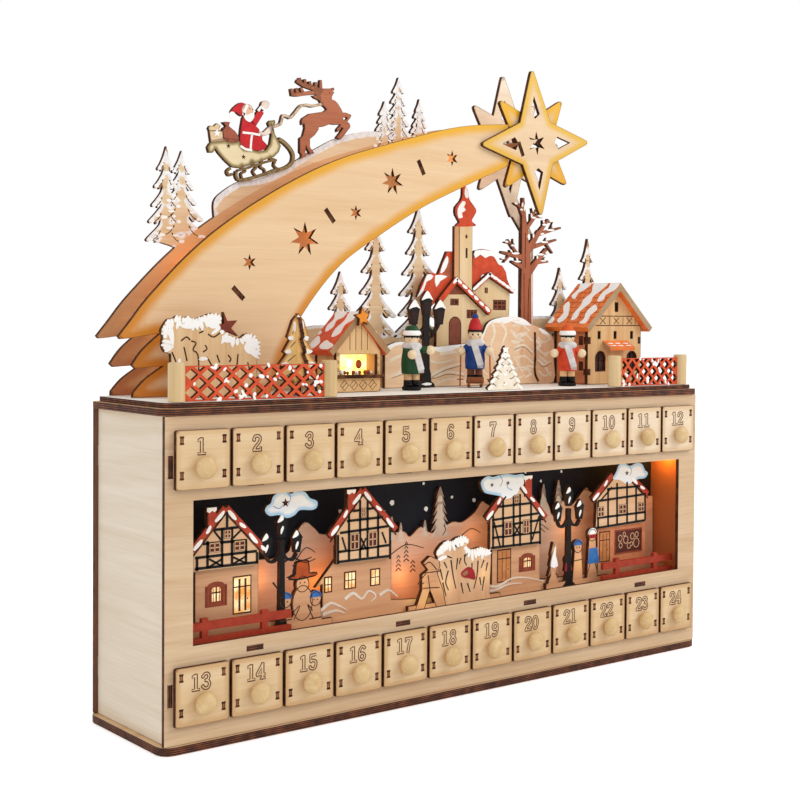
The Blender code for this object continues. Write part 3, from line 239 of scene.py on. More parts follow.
class Part:
    """Gathers the solids of one piece. Each face has the number of its finish."""

    def __init__(self):
        self.points, self.faces, self.finishes, self.soft = [], [], [], []
        self.rim, self.top = [], []

    def add(self, points, faces, finish, soft=False, rim=None, top=None):
        start = len(self.points)
        self.points += points
        self.faces += [tuple(i + start for i in face) for face in faces]
        self.finishes += finish if isinstance(finish, list) else [finish] * len(faces)
        self.soft += [soft] * len(faces)
        self.rim += list(rim) if rim is not None else [99.0] * len(points)
        self.top += list(top) if top is not None else [99.0] * len(points)

    def slab(self, adds, cuts=(), low=0.0, high=PLY, plane="XZ", face=0, edge=1, pitch=0.0, rim_lines=None):
        """A board cut to outlines. An added outline may be a (finish, points) pair; later ones lie over the others."""
        looks = [a[0] if isinstance(a[0], int) else face for a in adds]
        shapes = [a[1] if isinstance(a[0], int) else a for a in adds]
        loops = [o if area(o) > 0 else o[::-1] for o in shapes + list(cuts)]
        if pitch:
            loops = [split(o, pitch) for o in loops]
        flat, triangles, owners = triangulated(loops, filling(shapes, pitch) if pitch else ())
        kept, finish = [], []
        for triangle, owner in zip(triangles, owners):
            inside = [o for o in owner if o < len(shapes)]
            if inside and not any(o >= len(shapes) for o in owner):
                kept.append(triangle)
                finish.append(looks[max(inside)])
        border = {}
        for triangle in kept:
            for a, b in zip(triangle, triangle[1:] + triangle[:1]):
                if (b, a) in border:
                    del border[(b, a)]
                else:
                    border[(a, b)] = True
        used = sorted({i for triangle in kept for i in triangle})
        number = {old: new for new, old in enumerate(used)}
        spots = np.array([flat[i] for i in used])
        sides = [(number[a], number[b]) for a, b in border]
        lines = np.array([[spots[a], spots[b]] for a, b in sides])
        rise = lines[:, 0, 0] - lines[:, 1, 0]
        long = np.sqrt(((lines[:, 1] - lines[:, 0]) ** 2).sum(1))
        rim = distance(spots, lines if rim_lines is None else as_lines(rim_lines))
        top = distance(spots, lines[rise > 0.3 * long])
        count = len(used)
        points = [spot_on(plane, u, v, low) for u, v in spots] + [spot_on(plane, u, v, high) for u, v in spots]
        front = [tuple(number[i] for i in t) for t in kept]
        faces = front + [tuple(i + count for i in reversed(t)) for t in front]
        walls = [(b, a, a + count, b + count) for a, b in sides]
        if plane != "XZ":
            faces, walls = [f[::-1] for f in faces], [w[::-1] for w in walls]
        self.add(points, faces + walls, finish + finish + [edge] * len(walls), False, list(rim) * 2, list(top) * 2)

    def coat(self, adds, low, high, face=1, edge=1, pitch=0.0):
        """A thin layer on a front, such as paint, snow or burnt wood."""
        self.slab(adds, (), low, high, "XZ", face, edge, pitch)

    def turned(self, profile, centre, axis="Z", segments=20, finish=0):
        """A closed solid of revolution from (distance along the axis, radius) pairs, the ends rounded off to points."""
        rings, points = [], []
        for along, radius in profile:
            ring_points = []
            for i in range(segments if radius > 0.01 else 1):
                a = math.radians(360.0 * i / segments)
                u, v = radius * math.cos(a), radius * math.sin(a)
                place = {"Z": (u, v, along), "Y": (v, along, u), "X": (along, u, v)}[axis]
                ring_points.append(len(points))
                points.append(tuple(Vector(place) + Vector(centre)))
            rings.append(ring_points)
        faces = []
        for lower, upper in zip(rings, rings[1:]):
            for i in range(segments):
                quad = [lower[i % len(lower)], lower[(i + 1) % len(lower)], upper[(i + 1) % len(upper)],
                        upper[i % len(upper)]]
                quad = [p for k, p in enumerate(quad) if p not in quad[:k]]
                if len(quad) > 2:
                    faces.append(tuple(quad))
        faces += [tuple(r[::-1]) for r in rings[:1] if len(r) > 1] + [tuple(r) for r in rings[-1:] if len(r) > 1]
        if profile[-1][0] < profile[0][0]:
            faces = [f[::-1] for f in faces]
        self.add(points, faces, finish, True)

    def ball(self, centre, radii, finish=0, segments=16):
        """An ellipsoid."""
        rings = segments // 2
        start = len(self.points)
        turns = [math.pi * i / rings for i in range(rings + 1)]
        self.turned([(-math.cos(a), math.sin(a)) for a in turns], (0, 0, 0), "Z", segments, finish)
        for i in range(start, len(self.points)):
            self.points[i] = tuple(c + p * r for c, p, r in zip(centre, self.points[i], radii))

    def ribbon(self, path, width, low, high, finish=1, closed=False, tip=None):
        """A thin line along a path, such as one the laser has drawn."""
        spots = [Vector(p) for p in path]
        count = len(spots)
        left, right = [], []
        for i, p in enumerate(spots):
            before = spots[i - 1] if i or closed else p
            after = spots[(i + 1) % count] if i < count - 1 or closed else p
            way = (after - before).normalized()
            share = i / max(1, count - 1)
            half = (width + ((width if tip is None else tip) - width) * share) / 2
            across = Vector((-way.y, way.x)) * half
            left.append(p + across)
            right.append(p - across)
        rows = [(right, low), (left, low), (left, high), (right, high)]
        points = [(q.x, depth, q.y) for side, depth in rows for q in side]
        faces = []
        for i in range(count if closed else count - 1):
            k = (i + 1) % count
            for a in range(4):
                b = (a + 1) % 4
                faces.append((a * count + i, a * count + k, b * count + k, b * count + i))
        if not closed:
            faces.append((0, count, 2 * count, 3 * count))
            faces.append((4 * count - 1, 3 * count - 1, 2 * count - 1, count - 1))
        self.add(points, faces, finish)

    def patch(self, outline, origin, u, v, low, high, finish=0):
        """A thin plate on any plane, given by a point of it and two directions in it."""
        outline = outline if area(outline) > 0 else outline[::-1]
        out, count = u.cross(v).normalized(), len(outline)
        points = [tuple(origin + u * a + v * b + out * h) for h in (low, high) for a, b in outline]
        faces = [tuple(range(count))[::-1], tuple(range(count, 2 * count))]
        faces += [(i, (i + 1) % count, (i + 1) % count + count, i + count) for i in range(count)]
        self.add(points, faces, finish)

    def limb(self, start, end, thick, thin, finish=0):
        """A round rod between two points."""
        way = Vector(end) - Vector(start)
        turn = way.to_track_quat("Z", "Y")
        first = len(self.points)
        self.turned([(0.0, thick), (way.length, thin)], (0, 0, 0), "Z", 14, finish)
        for i in range(first, len(self.points)):
            self.points[i] = tuple(turn @ Vector(self.points[i]) + Vector(start))

    def block3(self, low, high, finish=0):
        self.slab([rect(low[0], low[2], high[0], high[2])], (), low[1], high[1], "XZ", finish, finish)


class Layer:
    """Thin coats and drawn lines over one face of a part, each by how far it stands out of that face."""

    def __init__(self, part, face, back):
        self.part, self.face, self.back = part, face, back

    def coat(self, outlines, out, finish=1, edge=1):
        self.part.coat(outlines, self.face - out, self.back, finish, edge)

    def line(self, path, width, out, finish=1, **more):
        self.part.ribbon(path, width, self.face - out, self.back, finish, **more)


def as_lines(paths):
    """Open paths as an array of line pieces."""
    return np.array([[a, b] for path in paths for a, b in zip(path, path[1:])])


def new_object(name, data):
    thing = bpy.data.objects.new(name, data)
    bpy.context.scene.collection.objects.link(thing)
    return thing


def piece(name, part, finishes, body="case", stands_for=(), lamps=(), reach=18.0):
    """Makes the object of a part, puts it on a body of the model and hides the nodes it stands for.

    Lamps give the piece painted lamplight through its glow attribute: the wood itself glows, and the glow falls to
    nothing over their reach in millimetres.
    """
    mesh = bpy.data.meshes.new(name)
    mesh.from_pydata([Vector(p) * MM for p in part.points], [], part.faces)
    for finish in finishes:
        mesh.materials.append(finish)
    mesh.polygons.foreach_set("material_index", part.finishes)
    mesh.polygons.foreach_set("use_smooth", part.soft)
    glow = np.zeros(len(part.points))
    for lamp in lamps:
        far = np.sqrt(((np.array(part.points) - np.array(lamp)) ** 2).sum(1))
        glow += np.exp(-(far / reach) ** 2)
    for label, values in (("rim", part.rim), ("top", part.top), ("glow", np.minimum(glow, 1.0))):
        layer = mesh.attributes.new(label, "FLOAT", "POINT")
        layer.data.foreach_set("value", np.array(values, np.float32))
    mesh.validate()
    mesh.update()
    thing = new_object(name, mesh)
    if any(part.soft):
        mesh.set_sharp_from_angle(angle=math.radians(50))
    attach(thing, body)
    if stands_for:
        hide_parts(*stands_for)
    return thing


# Finishes

def once(make):
    """A finish that is there already is used again; its name is the first thing that its function takes."""
    def get(*values, **settings):
        name = values[0] if values else make.__defaults__[0]
        return bpy.data.materials.get(name) or make(*values, **settings)
    return get


def socket(sockets, key):
    """A socket by its number, or by name among the ones in use."""
    return sockets[key] if isinstance(key, int) else next(s for s in sockets if s.enabled and s.name == key)


def add(tree, kind, inputs=(), **settings):
    """Adds a node with its settings, and fills its inputs with values or with the outputs of other nodes."""
    node = tree.nodes.new(kind)
    for key, value in settings.items():
        setattr(node, key, value)
    for key, value in dict(inputs).items():
        if isinstance(value, bpy.types.Node):
            value = next(s for s in value.outputs if s.enabled)
        if isinstance(value, bpy.types.NodeSocket):
            tree.links.new(value, socket(node.inputs, key))
        else:
            socket(node.inputs, key).default_value = value
    return node


def start(name, roughness):
    """A new material with its tree, its shader and the object's own coordinates in metres."""
    material = bpy.data.materials.new(name)
    material.use_nodes = True
    tree = material.node_tree
    shader = tree.nodes["Principled BSDF"]
    shader.inputs["Roughness"].default_value = roughness
    return material, tree, shader, add(tree, "ShaderNodeTexCoord").outputs["Object"]


def grain(tree, spot, along):
    """Long wood fibres over a broader figure, from 0 to 1."""
    fine, broad = [800.0] * 3, [95.0] * 3
    fine[along], broad[along] = 24.0, 7.0
    near = add(tree, "ShaderNodeMapping", {"Vector": spot, "Scale": fine})
    far = add(tree, "ShaderNodeMapping", {"Vector": spot, "Scale": broad})
    fibres = add(tree, "ShaderNodeTexNoise", {"Vector": near, "Scale": 1.0, "Detail": 3.0, "Roughness": 0.6})
    figure = add(tree, "ShaderNodeTexNoise", {"Vector": far, "Scale": 1.0, "Detail": 2.0, "Distortion": 0.7})
    both = add(tree, "ShaderNodeMix", {"Factor": 0.62, "A": fibres.outputs["Fac"], "B": figure.outputs["Fac"]})
    return add(tree, "ShaderNodeMapRange", {"Value": both, "From Min": 0.34, "From Max": 0.66})


def fleck(tree, spot, size, low=0.35, high=0.65, detail=3.0):
    """Soft blotches of a size in millimetres, from 0 to 1."""
    noise = add(tree, "ShaderNodeTexNoise", {"Vector": spot, "Scale": 1000.0 / size, "Detail": detail})
    return add(tree, "ShaderNodeMapRange", {"Value": noise.outputs["Fac"], "From Min": low, "From Max": high})


def near_edge(tree, label, start_mm, end_mm, spot, wobble=0.0, size=3.0):
    """1 near an edge of the cut-out, falling to 0 further in. The distance is an attribute of the mesh."""
    gap = add(tree, "ShaderNodeAttribute", attribute_name=label).outputs["Fac"]
    if wobble:
        noise = add(tree, "ShaderNodeTexNoise", {"Vector": spot, "Scale": 1000.0 / size, "Detail": 2.0})
        gap = add(tree, "ShaderNodeMath", {0: noise.outputs["Fac"], 1: wobble, 2: gap}, operation="MULTIPLY_ADD")
        start_mm, end_mm = start_mm + wobble / 2, end_mm + wobble / 2
    return add(tree, "ShaderNodeMapRange", {
        "Value": gap, "From Min": start_mm, "From Max": end_mm, "To Min": 1.0, "To Max": 0.0,
    }, interpolation_type="SMOOTHSTEP")


def bump(tree, shader, height, depth_mm, strength=0.5):
    relief = add(tree, "ShaderNodeBump", {"Height": height, "Distance": depth_mm * MM, "Strength": strength})
    tree.links.new(relief.outputs["Normal"], shader.inputs["Normal"])


def board(name, light, dark, along=0, roughness=0.62, scorch=True, airbrush=None, snow=None, glow=None, sides=None):
    """Birch plywood: faint fibres, a burnt tint along cut edges, and if asked an airbrushed border, snow or painted
    lamplight that the wood itself gives off.

    airbrush is (upper colour, lower colour, width, height of the lower, height of the upper in mm), glow is (first
    colour, last colour, strength), snow is the depth of the snow on upper edges in mm. sides is the board's thin axis
    where its own edges are in the same mesh, which then look laser-burnt.
    """
    material, tree, shader, spot = start(name, roughness)
    shader.inputs["Specular IOR Level"].default_value = 0.3
    fibres = grain(tree, spot, along)
    colour = add(tree, "ShaderNodeMix", {"Factor": fibres, "A": rgb(light), "B": rgb(dark)}, data_type="RGBA")
    if airbrush:
        upper, lower, width, low, high = airbrush
        share = near_edge(tree, "rim", width * 0.25, width * 1.1, spot, width * 0.35, 16.0)
        share = add(tree, "ShaderNodeMath", {0: share, 1: 0.92}, operation="MULTIPLY")
        height = add(tree, "ShaderNodeSeparateXYZ", {"Vector": spot}).outputs["Z"]
        drop = add(tree, "ShaderNodeMapRange", {"Value": height, "From Min": low * MM, "From Max": high * MM})
        spray = add(tree, "ShaderNodeMix", {"Factor": drop, "A": rgb(lower), "B": rgb(upper)}, data_type="RGBA")
        colour = add(tree, "ShaderNodeMix", {"Factor": share, "A": colour, "B": spray}, data_type="RGBA")
    if scorch:
        share = near_edge(tree, "rim", 0.1, 0.75, spot, 0.3, 5.0)
        share = add(tree, "ShaderNodeMath", {0: share, 1: 0.6}, operation="MULTIPLY")
        colour = add(tree, "ShaderNodeMix", {"Factor": share, "A": colour, "B": rgb("6A3F22")}, data_type="RGBA")
    if sides is not None:
        colour = burnt_sides(tree, spot, colour, sides)
    if snow:
        share = near_edge(tree, "top", snow - 0.5, snow + 0.6, spot, 1.6, 4.0)
        white = add(tree, "ShaderNodeMix", {"Factor": fleck(tree, spot, 4.0), "A": rgb("FBFAF6"), "B": rgb("E4E3E4")},
                    data_type="RGBA")
        colour = add(tree, "ShaderNodeMix", {"Factor": share, "A": colour, "B": white}, data_type="RGBA")
    tree.links.new(next(s for s in colour.outputs if s.enabled), shader.inputs["Base Color"])
    # Painted lamplight: the wood glows by emission near the lamps, standing in for their light.
    if glow:
        lit = add(tree, "ShaderNodeAttribute", attribute_name="glow").outputs["Fac"]
        hue = add(tree, "ShaderNodeMix", {"Factor": lit, "A": rgb(glow[0]), "B": rgb(glow[1])}, data_type="RGBA")
        tree.links.new(next(s for s in hue.outputs if s.enabled), shader.inputs["Emission Color"])
        power = add(tree, "ShaderNodeMath", {0: lit, 1: glow[2]}, operation="MULTIPLY")
        tree.links.new(power.outputs[0], shader.inputs["Emission Strength"])
    bump(tree, shader, fibres, 0.08, 0.35)
    return material


def burnt_sides(tree, spot, colour, axis):
    """The colour on the board's two faces, and layers of laser-burnt veneer round its thin sides."""
    facing = add(tree, "ShaderNodeTexCoord").outputs["Normal"]
    way = add(tree, "ShaderNodeSeparateXYZ", {"Vector": facing}).outputs[axis]
    flat = add(tree, "ShaderNodeMath", {0: way}, operation="ABSOLUTE")
    side = add(tree, "ShaderNodeMath", {0: flat, 1: 0.5}, operation="LESS_THAN")
    across = add(tree, "ShaderNodeSeparateXYZ", {"Vector": spot}).outputs[axis]
    turns = add(tree, "ShaderNodeMath", {0: across, 1: 2 * math.pi / (1.25 * MM)}, operation="MULTIPLY")
    wave = add(tree, "ShaderNodeMath", {0: turns}, operation="SINE")
    patch = add(tree, "ShaderNodeMath", {0: fleck(tree, spot, 7.0, 0.3, 0.7), 1: 1.2, 2: wave},
                operation="MULTIPLY_ADD")
    layer = add(tree, "ShaderNodeMapRange", {"Value": patch, "From Min": 0.45, "From Max": 2.0})
    burnt = add(tree, "ShaderNodeMix", {"Factor": layer, "A": rgb("260D06"), "B": rgb("94522E")}, data_type="RGBA")
    return add(tree, "ShaderNodeMix", {"Factor": side, "A": colour, "B": burnt}, data_type="RGBA")


@once
def burnt(name="laser_burnt_edge"):
    """Laser-cut plywood edge: charred dark brown with lighter glue lines and matt soot."""
    material, tree, shader, spot = start(name, 0.85)
    shader.inputs["Specular IOR Level"].default_value = 0.2
    stretched = add(tree, "ShaderNodeMapping", {"Vector": spot, "Scale": (260.0, 1500.0, 260.0)})
    noise = add(tree, "ShaderNodeTexNoise", {"Vector": stretched, "Scale": 1.0, "Detail": 2.0})
    share = add(tree, "ShaderNodeMapRange", {"Value": noise.outputs["Fac"], "From Min": 0.42, "From Max": 0.7})
    colour = add(tree, "ShaderNodeMix", {"Factor": share, "A": rgb("34170B"), "B": rgb("70452A")}, data_type="RGBA")
    tree.links.new(colour.outputs[2], shader.inputs["Base Color"])
    bump(tree, shader, noise.outputs["Fac"], 0.1)
    return material


@once
def paint(name, colour, shade, roughness=0.55, size=5.0, scorch=True, sheen=0.0):
    """Brushed water paint on wood: a little uneven, with the fibres showing through and darker cut edges."""
    material, tree, shader, spot = start(name, roughness)
    shader.inputs["Specular IOR Level"].default_value = 0.25
    share = fleck(tree, spot, size, 0.3, 0.7, 4.0)
    tone = add(tree, "ShaderNodeMix", {"Factor": share, "A": rgb(colour), "B": rgb(shade)}, data_type="RGBA")
    if scorch:
        edge = near_edge(tree, "rim", 0.05, 0.6, spot, 0.2, 4.0)
        edge = add(tree, "ShaderNodeMath", {0: edge, 1: 0.5}, operation="MULTIPLY")
        tone = add(tree, "ShaderNodeMix", {"Factor": edge, "A": tone, "B": rgb("3A1A10")}, data_type="RGBA")
    tree.links.new(tone.outputs[2], shader.inputs["Base Color"])
    shader.inputs["Sheen Weight"].default_value = sheen
    bump(tree, shader, grain(tree, spot, 0), 0.05, 0.3)
    return material


@once
def snow_paint(name="snow_paint"):
    """Thick matt white paint dabbed on as snow, with a fine grainy surface."""
    material, tree, shader, spot = start(name, 0.85)
    tone = add(tree, "ShaderNodeMix", {"Factor": fleck(tree, spot, 6.0), "A": rgb("FFFDF8"), "B": rgb("EBEAEA")},
               data_type="RGBA")
    tree.links.new(tone.outputs[2], shader.inputs["Base Color"])
    bump(tree, shader, fleck(tree, spot, 0.7), 0.25, 0.6)
    return material


@once
def lamp_light(name, colour, strength):
    """The warm lens of a small lamp, brightest in its middle patches."""
    material, tree, shader, spot = start(name, 0.3)
    patch = fleck(tree, spot, 7.0)
    tone = add(tree, "ShaderNodeMix", {"Factor": patch, "A": rgb(colour), "B": rgb("FFE9B0")}, data_type="RGBA")
    tree.links.new(tone.outputs[2], shader.inputs["Base Color"])
    tree.links.new(tone.outputs[2], shader.inputs["Emission Color"])
    shader.inputs["Emission Strength"].default_value = strength
    return material


def plastic(name, colour, shade, roughness=0.42):
    """Moulded plastic: a fine grained texture and a soft shine."""
    material, tree, shader, spot = start(name, roughness)
    share = fleck(tree, spot, 0.6)
    tone = add(tree, "ShaderNodeMix", {"Factor": share, "A": rgb(colour), "B": rgb(shade)}, data_type="RGBA")
    tree.links.new(tone.outputs[2], shader.inputs["Base Color"])
    bump(tree, shader, share, 0.03, 0.4)
    return material


def dress(name, *finishes, slot=None):
    """Gives a CAD node better finishes than its own."""
    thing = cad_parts[name]
    for i, finish in enumerate(finishes):
        thing.material_slots[i].material = finish


# The box of drawers

# A number's line width, how far the end panels reach from the middle, and how far a drawer's front stands out
LINE = 0.72
END_FACE = 236.4
DRAWER_OUT = 3.3

# A drawer's tray: half its width outside and inside, its height, its depth, and its foot above the front's foot
TRAY_OUTER, TRAY_INNER = 16.1, 13.4
TRAY_TALL, TRAY_DEEP, TRAY_LIFT = 29.5, 78.0, 2.9

DIGITS = {
    "0": [ring(0, 5.15, 3.1, 5.15, 20)],
    "1": [rect(-0.95, 0.6, 0.95, 10.3), rect(-2.7, 0, 2.7, 1.3), trace("-2.6 8 -0.6 8.6 0.3 10.3 -0.6 10.3 -2.6 9.4")],
    "2": [stroke(smooth(trace("-2.3 7.6 -1.7 9.1 0.1 9.6 2 8.8 2.2 7 1.1 5.1 -0.9 3.1 -2.3 1")), 1.6),
          rect(-3.1, 0, 3.0, 1.5), rect(2.1, 0, 3.2, 2.7), ring(-2.1, 7.3, 1.1, 1.1, 10)],
    "3": [stroke(smooth(trace("-2.1 8.3 -0.6 9.6 1.3 9.3 2 7.8 1.2 6.1 -0.7 5.5")), 1.6),
          stroke(smooth(trace("-0.7 5.5 1.4 5.1 2.4 3.1 1.5 1.1 -0.4 0.7 -2.2 1.9")), 1.6),
          ring(-2.1, 8.1, 1.0, 1.0, 10), ring(-2.2, 2.1, 1.0, 1.0, 10)],
    "4": [bar((1.4, 10.0), (-3.0, 3.3), 1.5), rect(-3.4, 2.3, 3.1, 3.7), rect(0.5, 0, 2.2, 10.3),
          rect(-0.5, 0, 3.1, 1.2)],
    "5": [rect(-2.3, 8.8, 2.4, 10.3), rect(-2.3, 5.0, -0.9, 9.6), ring(-2.1, 2.1, 1.0, 1.0, 10),
          stroke(smooth(trace("-1.8 5.3 0.2 6.1 2.1 5.1 2.4 3.2 1.4 1.1 -0.5 0.8 -2.2 1.8")), 1.6)],
    "6": [ring(0, 3.0, 2.9, 3.0, 18), stroke(smooth(trace("2 8.8 0.4 9.6 -1.3 8.3 -2.1 5.8 -2.1 3.2")), 1.5),
          ring(1.9, 8.5, 1.0, 1.0, 10)],
    "7": [rect(-2.9, 8.7, 2.9, 10.3), rect(-3.0, 7.3, -1.9, 10.3), stroke(trace("2.2 9.2 0.4 5.6 -0.7 0"), 1.8)],
    "8": [ring(0, 7.8, 2.5, 2.5, 16), ring(0, 3.0, 2.9, 3.0, 18)],
}
LOOPS = {"0": [ring(0, 5.15, 1.5, 3.5, 18)], "6": [ring(0, 3.0, 1.3, 1.4, 12)],
         "8": [ring(0, 7.8, 1.0, 1.0, 12), ring(0, 3.0, 1.3, 1.4, 12)]}
for table in (DIGITS, LOOPS):
    table["9"] = [[(-x, 10.3 - z) for x, z in o] for o in table["6"]]


def outer_lines(shapes):
    """The closed lines round the shapes taken together, holes included."""
    loops = [o if area(o) > 0 else o[::-1] for o in shapes]
    flat, triangles, owners = triangulated(loops)
    border = {}
    for triangle, owner in zip(triangles, owners):
        if owner:
            for a, b in zip(triangle, triangle[1:] + triangle[:1]):
                border[(a, b)] = True
    after = {a: b for a, b in border if (b, a) not in border}
    lines = []
    while after:
        first, spot = next(iter(after.items()))
        loop = [first]
        del after[first]
        while spot in after:
            loop.append(spot)
            spot = after.pop(spot)
        lines.append([tuple(flat[i]) for i in loop])
    return [loop for loop in lines if len(loop) > 2]


def drawer_part(number):
    """One drawer in its place: front with its burnt number and tray tabs, knob, and tray with finger joints."""
    low, high = node_box(f"drawer_{number:02d}")
    cx, cz = (low.x + high.x) / 2, (low.z + high.z) / 2
    face = FACE - DRAWER_OUT
    part = Part()
    near = Layer(part, face, face + 0.05)
    half_w, half_h = (high.x - low.x) / 2, (high.z - low.z) / 2
    part.coat([rounded(cx - half_w, cz - half_h, cx + half_w, cz + half_h, 1.3)], face, face + PLY, 0, 1, 4.0)
    text = str(number)
    for i, digit in enumerate(text):
        at = cx - 1.2 + (i - (len(text) - 1) / 2) * 7.0
        loops = outer_lines([moved(o, at, cz + 2.9) for o in DIGITS[digit]])
        for loop in loops + [moved(o, at, cz + 2.9) for o in LOOPS.get(digit, [])]:
            near.line(loop, LINE, 0.06, 2, closed=True)
    for x in (-14.6, 14.6):
        for z in (12.0, -9.2):
            near.coat([block(cx + x, cz + z, 2.3, 5.0)], 0.05)
            near.coat([block(cx + x, cz + z, 1.3, 2.5)], 0.09, 4, 4)
            for end in (-1, 1):
                near.coat([block(cx + x, cz + z + end * 2.0, 2.9, 1.2)], 0.08)
    knob = trace("0.4 4.2 -1 4.4 -1.9 5.3 -2.7 6.5 -3.6 7 -4.6 6.9 -5.8 6.2 -6.9 4.7 -7.6 2.8 -7.95 0")
    part.turned([(a, r) for a, r in knob], (cx, face, cz - 4.6), "Y", 28, 3)
    floor, top = low.z + TRAY_LIFT, low.z + TRAY_LIFT + TRAY_TALL
    inner, rear = face + PLY, face + PLY + TRAY_DEEP
    for side in (-1, 1):
        x0, x1 = sorted((cx + side * TRAY_OUTER, cx + side * TRAY_INNER))
        part.slab([rect(inner, floor, rear, top)], (), x0, x1, "YZ", 0, 1, 8.0)
    part.slab([rect(cx - TRAY_OUTER, floor, cx + TRAY_OUTER, top)], (), rear - 2.7, rear - 0.02, "XZ", 0, 1, 6.0)
    for step in range(3):
        z0 = floor + 3.2 + step * 9.2
        for x in (cx - 16.12, cx + 13.42):
            part.slab([rect(x, z0, x + 2.7, z0 + 5.0)], (), rear - 2.6, rear, "XZ", 1, 1)
    part.slab([rect(cx - 13.3, inner, cx + 13.3, rear - 2.8)], (), floor, floor + 2.5, "XY", 0, 1, 8.0)
    return part


def make_drawers(look):
    # The darker border round each drawer front, darker still lower down, is painted shade.
    front = board("drawer_birch", look.drawer_light, look.drawer_dark, 0, 0.6,
                  airbrush=("D6B284", "CCA474", 4.5, 60, 160))
    pale = board("drawer_maple", "F0DCC0", "E4CAA8", 0, 0.6, airbrush=("DCBC94", "D0AC80", 4.5, 60, 160))
    number = engraved("laser_number", "6A3818", "4A2410")
    knob = board("knob_beech", "E2C493", "CDA973", 1, 0.42, scorch=False)
    tab = engraved("tab_end_grain", "A06C42", "7A4A2C")
    for n in range(1, 25):
        piece(f"dressed_drawer_{n:02d}", drawer_part(n), [pale if 7 <= n <= 12 else front, burnt(), number, knob, tab],
              f"drawer_{n:02d}_body", [f"drawer_{n:02d}"])


@once
def engraved(name, colour, shade):
    """Lines the laser has burnt shallowly into birch: toasted brown, uneven in tone, matt."""
    material, tree, shader, spot = start(name, 0.8)
    share = fleck(tree, spot, 2.0)
    tone = add(tree, "ShaderNodeMix", {"Factor": share, "A": rgb(colour), "B": rgb(shade)}, data_type="RGBA")
    tree.links.new(tone.outputs[2], shader.inputs["Base Color"])
    bump(tree, shader, share, 0.05, 0.4)
    return material


def recoloured(material, code, mask):
    """Mixes a colour into a board where its mask is 1. The mask is made from the board's tree and coordinates."""
    tree = material.node_tree
    base = tree.nodes["Principled BSDF"].inputs["Base Color"]
    share = mask(tree, add(tree, "ShaderNodeTexCoord").outputs)
    mixed = add(tree, "ShaderNodeMix", {"Factor": share, "A": base.links[0].from_socket, "B": rgb(code)},
                data_type="RGBA")
    tree.links.new(mixed.outputs[2], base)
    return material


def facing_back(tree, coords, axis):
    """1 on the face that looks down the axis."""
    way = add(tree, "ShaderNodeSeparateXYZ", {"Vector": coords["Normal"]}).outputs[axis]
    return add(tree, "ShaderNodeMath", {0: way, 1: -0.5}, operation="LESS_THAN")


def beyond_ends(tree, coords):
    """1 on the front face beyond the end panels."""
    across = add(tree, "ShaderNodeSeparateXYZ", {"Vector": coords["Object"]}).outputs["X"]
    wide = add(tree, "ShaderNodeMath", {0: across}, operation="ABSOLUTE")
    beyond = add(tree, "ShaderNodeMath", {0: wide, 1: END_FACE * MM}, operation="GREATER_THAN")
    return add(tree, "ShaderNodeMath", {0: facing_back(tree, coords, "Y"), 1: beyond}, operation="MULTIPLY")


def end_grain_lit():
    """Birch end panel whose inner face is painted orange-brown: painted lamplight from the strip of lamps beside it."""
    return recoloured(board("side_panel_painted_lamplight", "E8DAC6", "E0D0B8", 1, 0.6, scorch=False, sides=0), "BC6C3C",
                      lambda tree, coords: facing_back(tree, coords, "X"))


def charred_ends():
    """Birch back panel whose front face is dark brown beyond the end panels."""
    return recoloured(board("rear_panel_birch", "E6D3B0", "D3B98E", 0, 0.62, scorch=False, sides=1), "6E4632",
                      beyond_ends)


def make_box(look):
    """Better finishes on the panels, plates and racks that the model already has in the right shape."""
    panel = board("panel_birch", look.panel_light, look.panel_dark, 0, 0.62, scorch=False, sides=1)
    rear = charred_ends()
    inside = end_grain_lit()
    end = board("end_panel_birch", "EADDCA", "DCCBB2", 1, 0.6, scorch=False, sides=0)
    rack = board("rack_birch", "E2CBA2", "CBAD7E", 0, 0.65, scorch=False, sides=2)
    plate = board("plate_birch", "E4C39A", "CFA578", 0, 0.55, scorch=False, sides=2)
    snow = board("snow_plate_paint", "FFFDF6", "F3EFE6", 0, 0.7, scorch=False, sides=2)
    dress("front_panel", panel, slot="birch")
    dress("back_panel", rear, slot="pale_birch")
    dress("side_panel_left", end, slot="pale_birch")
    dress("side_panel_right", inside, slot="pale_birch")
    for name in ("lower_rack", "upper_rack"):
        dress(name, rack, slot="pale_birch")
    dress("base_plate", plate, slot="laser_edge")
    dress("top_plate", plate, slot="laser_edge")
    dress("snow_plate", snow, slot="snow_paint")


# Comet, star and their holes

def comet_outline():
    """The comet from the tips of its three tails to the star, x from the foot's left tip."""
    upper = smooth(trace("""
        -10.1 38.6 -2.2 48 11.7 64.6 40.2 92.4 69.9 115.2 112.3 140.7 157 161.7 211 179.1 267.4 194.4 316 200.6"""), 6)
    lower = smooth(trace("316 168.6 274.4 151.1 233 132.7 193.5 110.5 158.7 87.8 130.4 57.2 114 30 102 0"), 6)
    tails = [(0.0, 0.0), (0.2, 3.0)] + smooth(trace("0.2 3 8.3 11.3 21.4 19.7"), 5)[1:]
    tails += [(1.6, 18.4), (-0.8, 20.6)] + smooth(trace("-0.8 20.6 7 30.5 19.2 40.6"), 5)[1:]
    tails += [(-1.5, 37.6), (-8.6, 37.0)]
    return tails + upper + lower


def placed(outline):
    return moved(outline, FOOT_X, GROUND)


def star_arms(length, waist, turn):
    """Four pointed arms with the short flat tips that the cutter leaves."""
    outline = []
    for i in range(4):
        a = turn + i * math.pi / 2
        along, across = Vector((math.cos(a), math.sin(a))), Vector((-math.sin(a), math.cos(a)))
        for side, back in trace("-1 1.1 -0.45 0 0.45 0 1 1.1"):
            spot = along * (length - back * 2.4) + across * side * 2.4
            outline.append((STAR_X + spot.x, STAR_Z + spot.y))
        outline.append((STAR_X + waist * math.cos(a + math.pi / 4), STAR_Z + waist * math.sin(a + math.pi / 4)))
    return outline


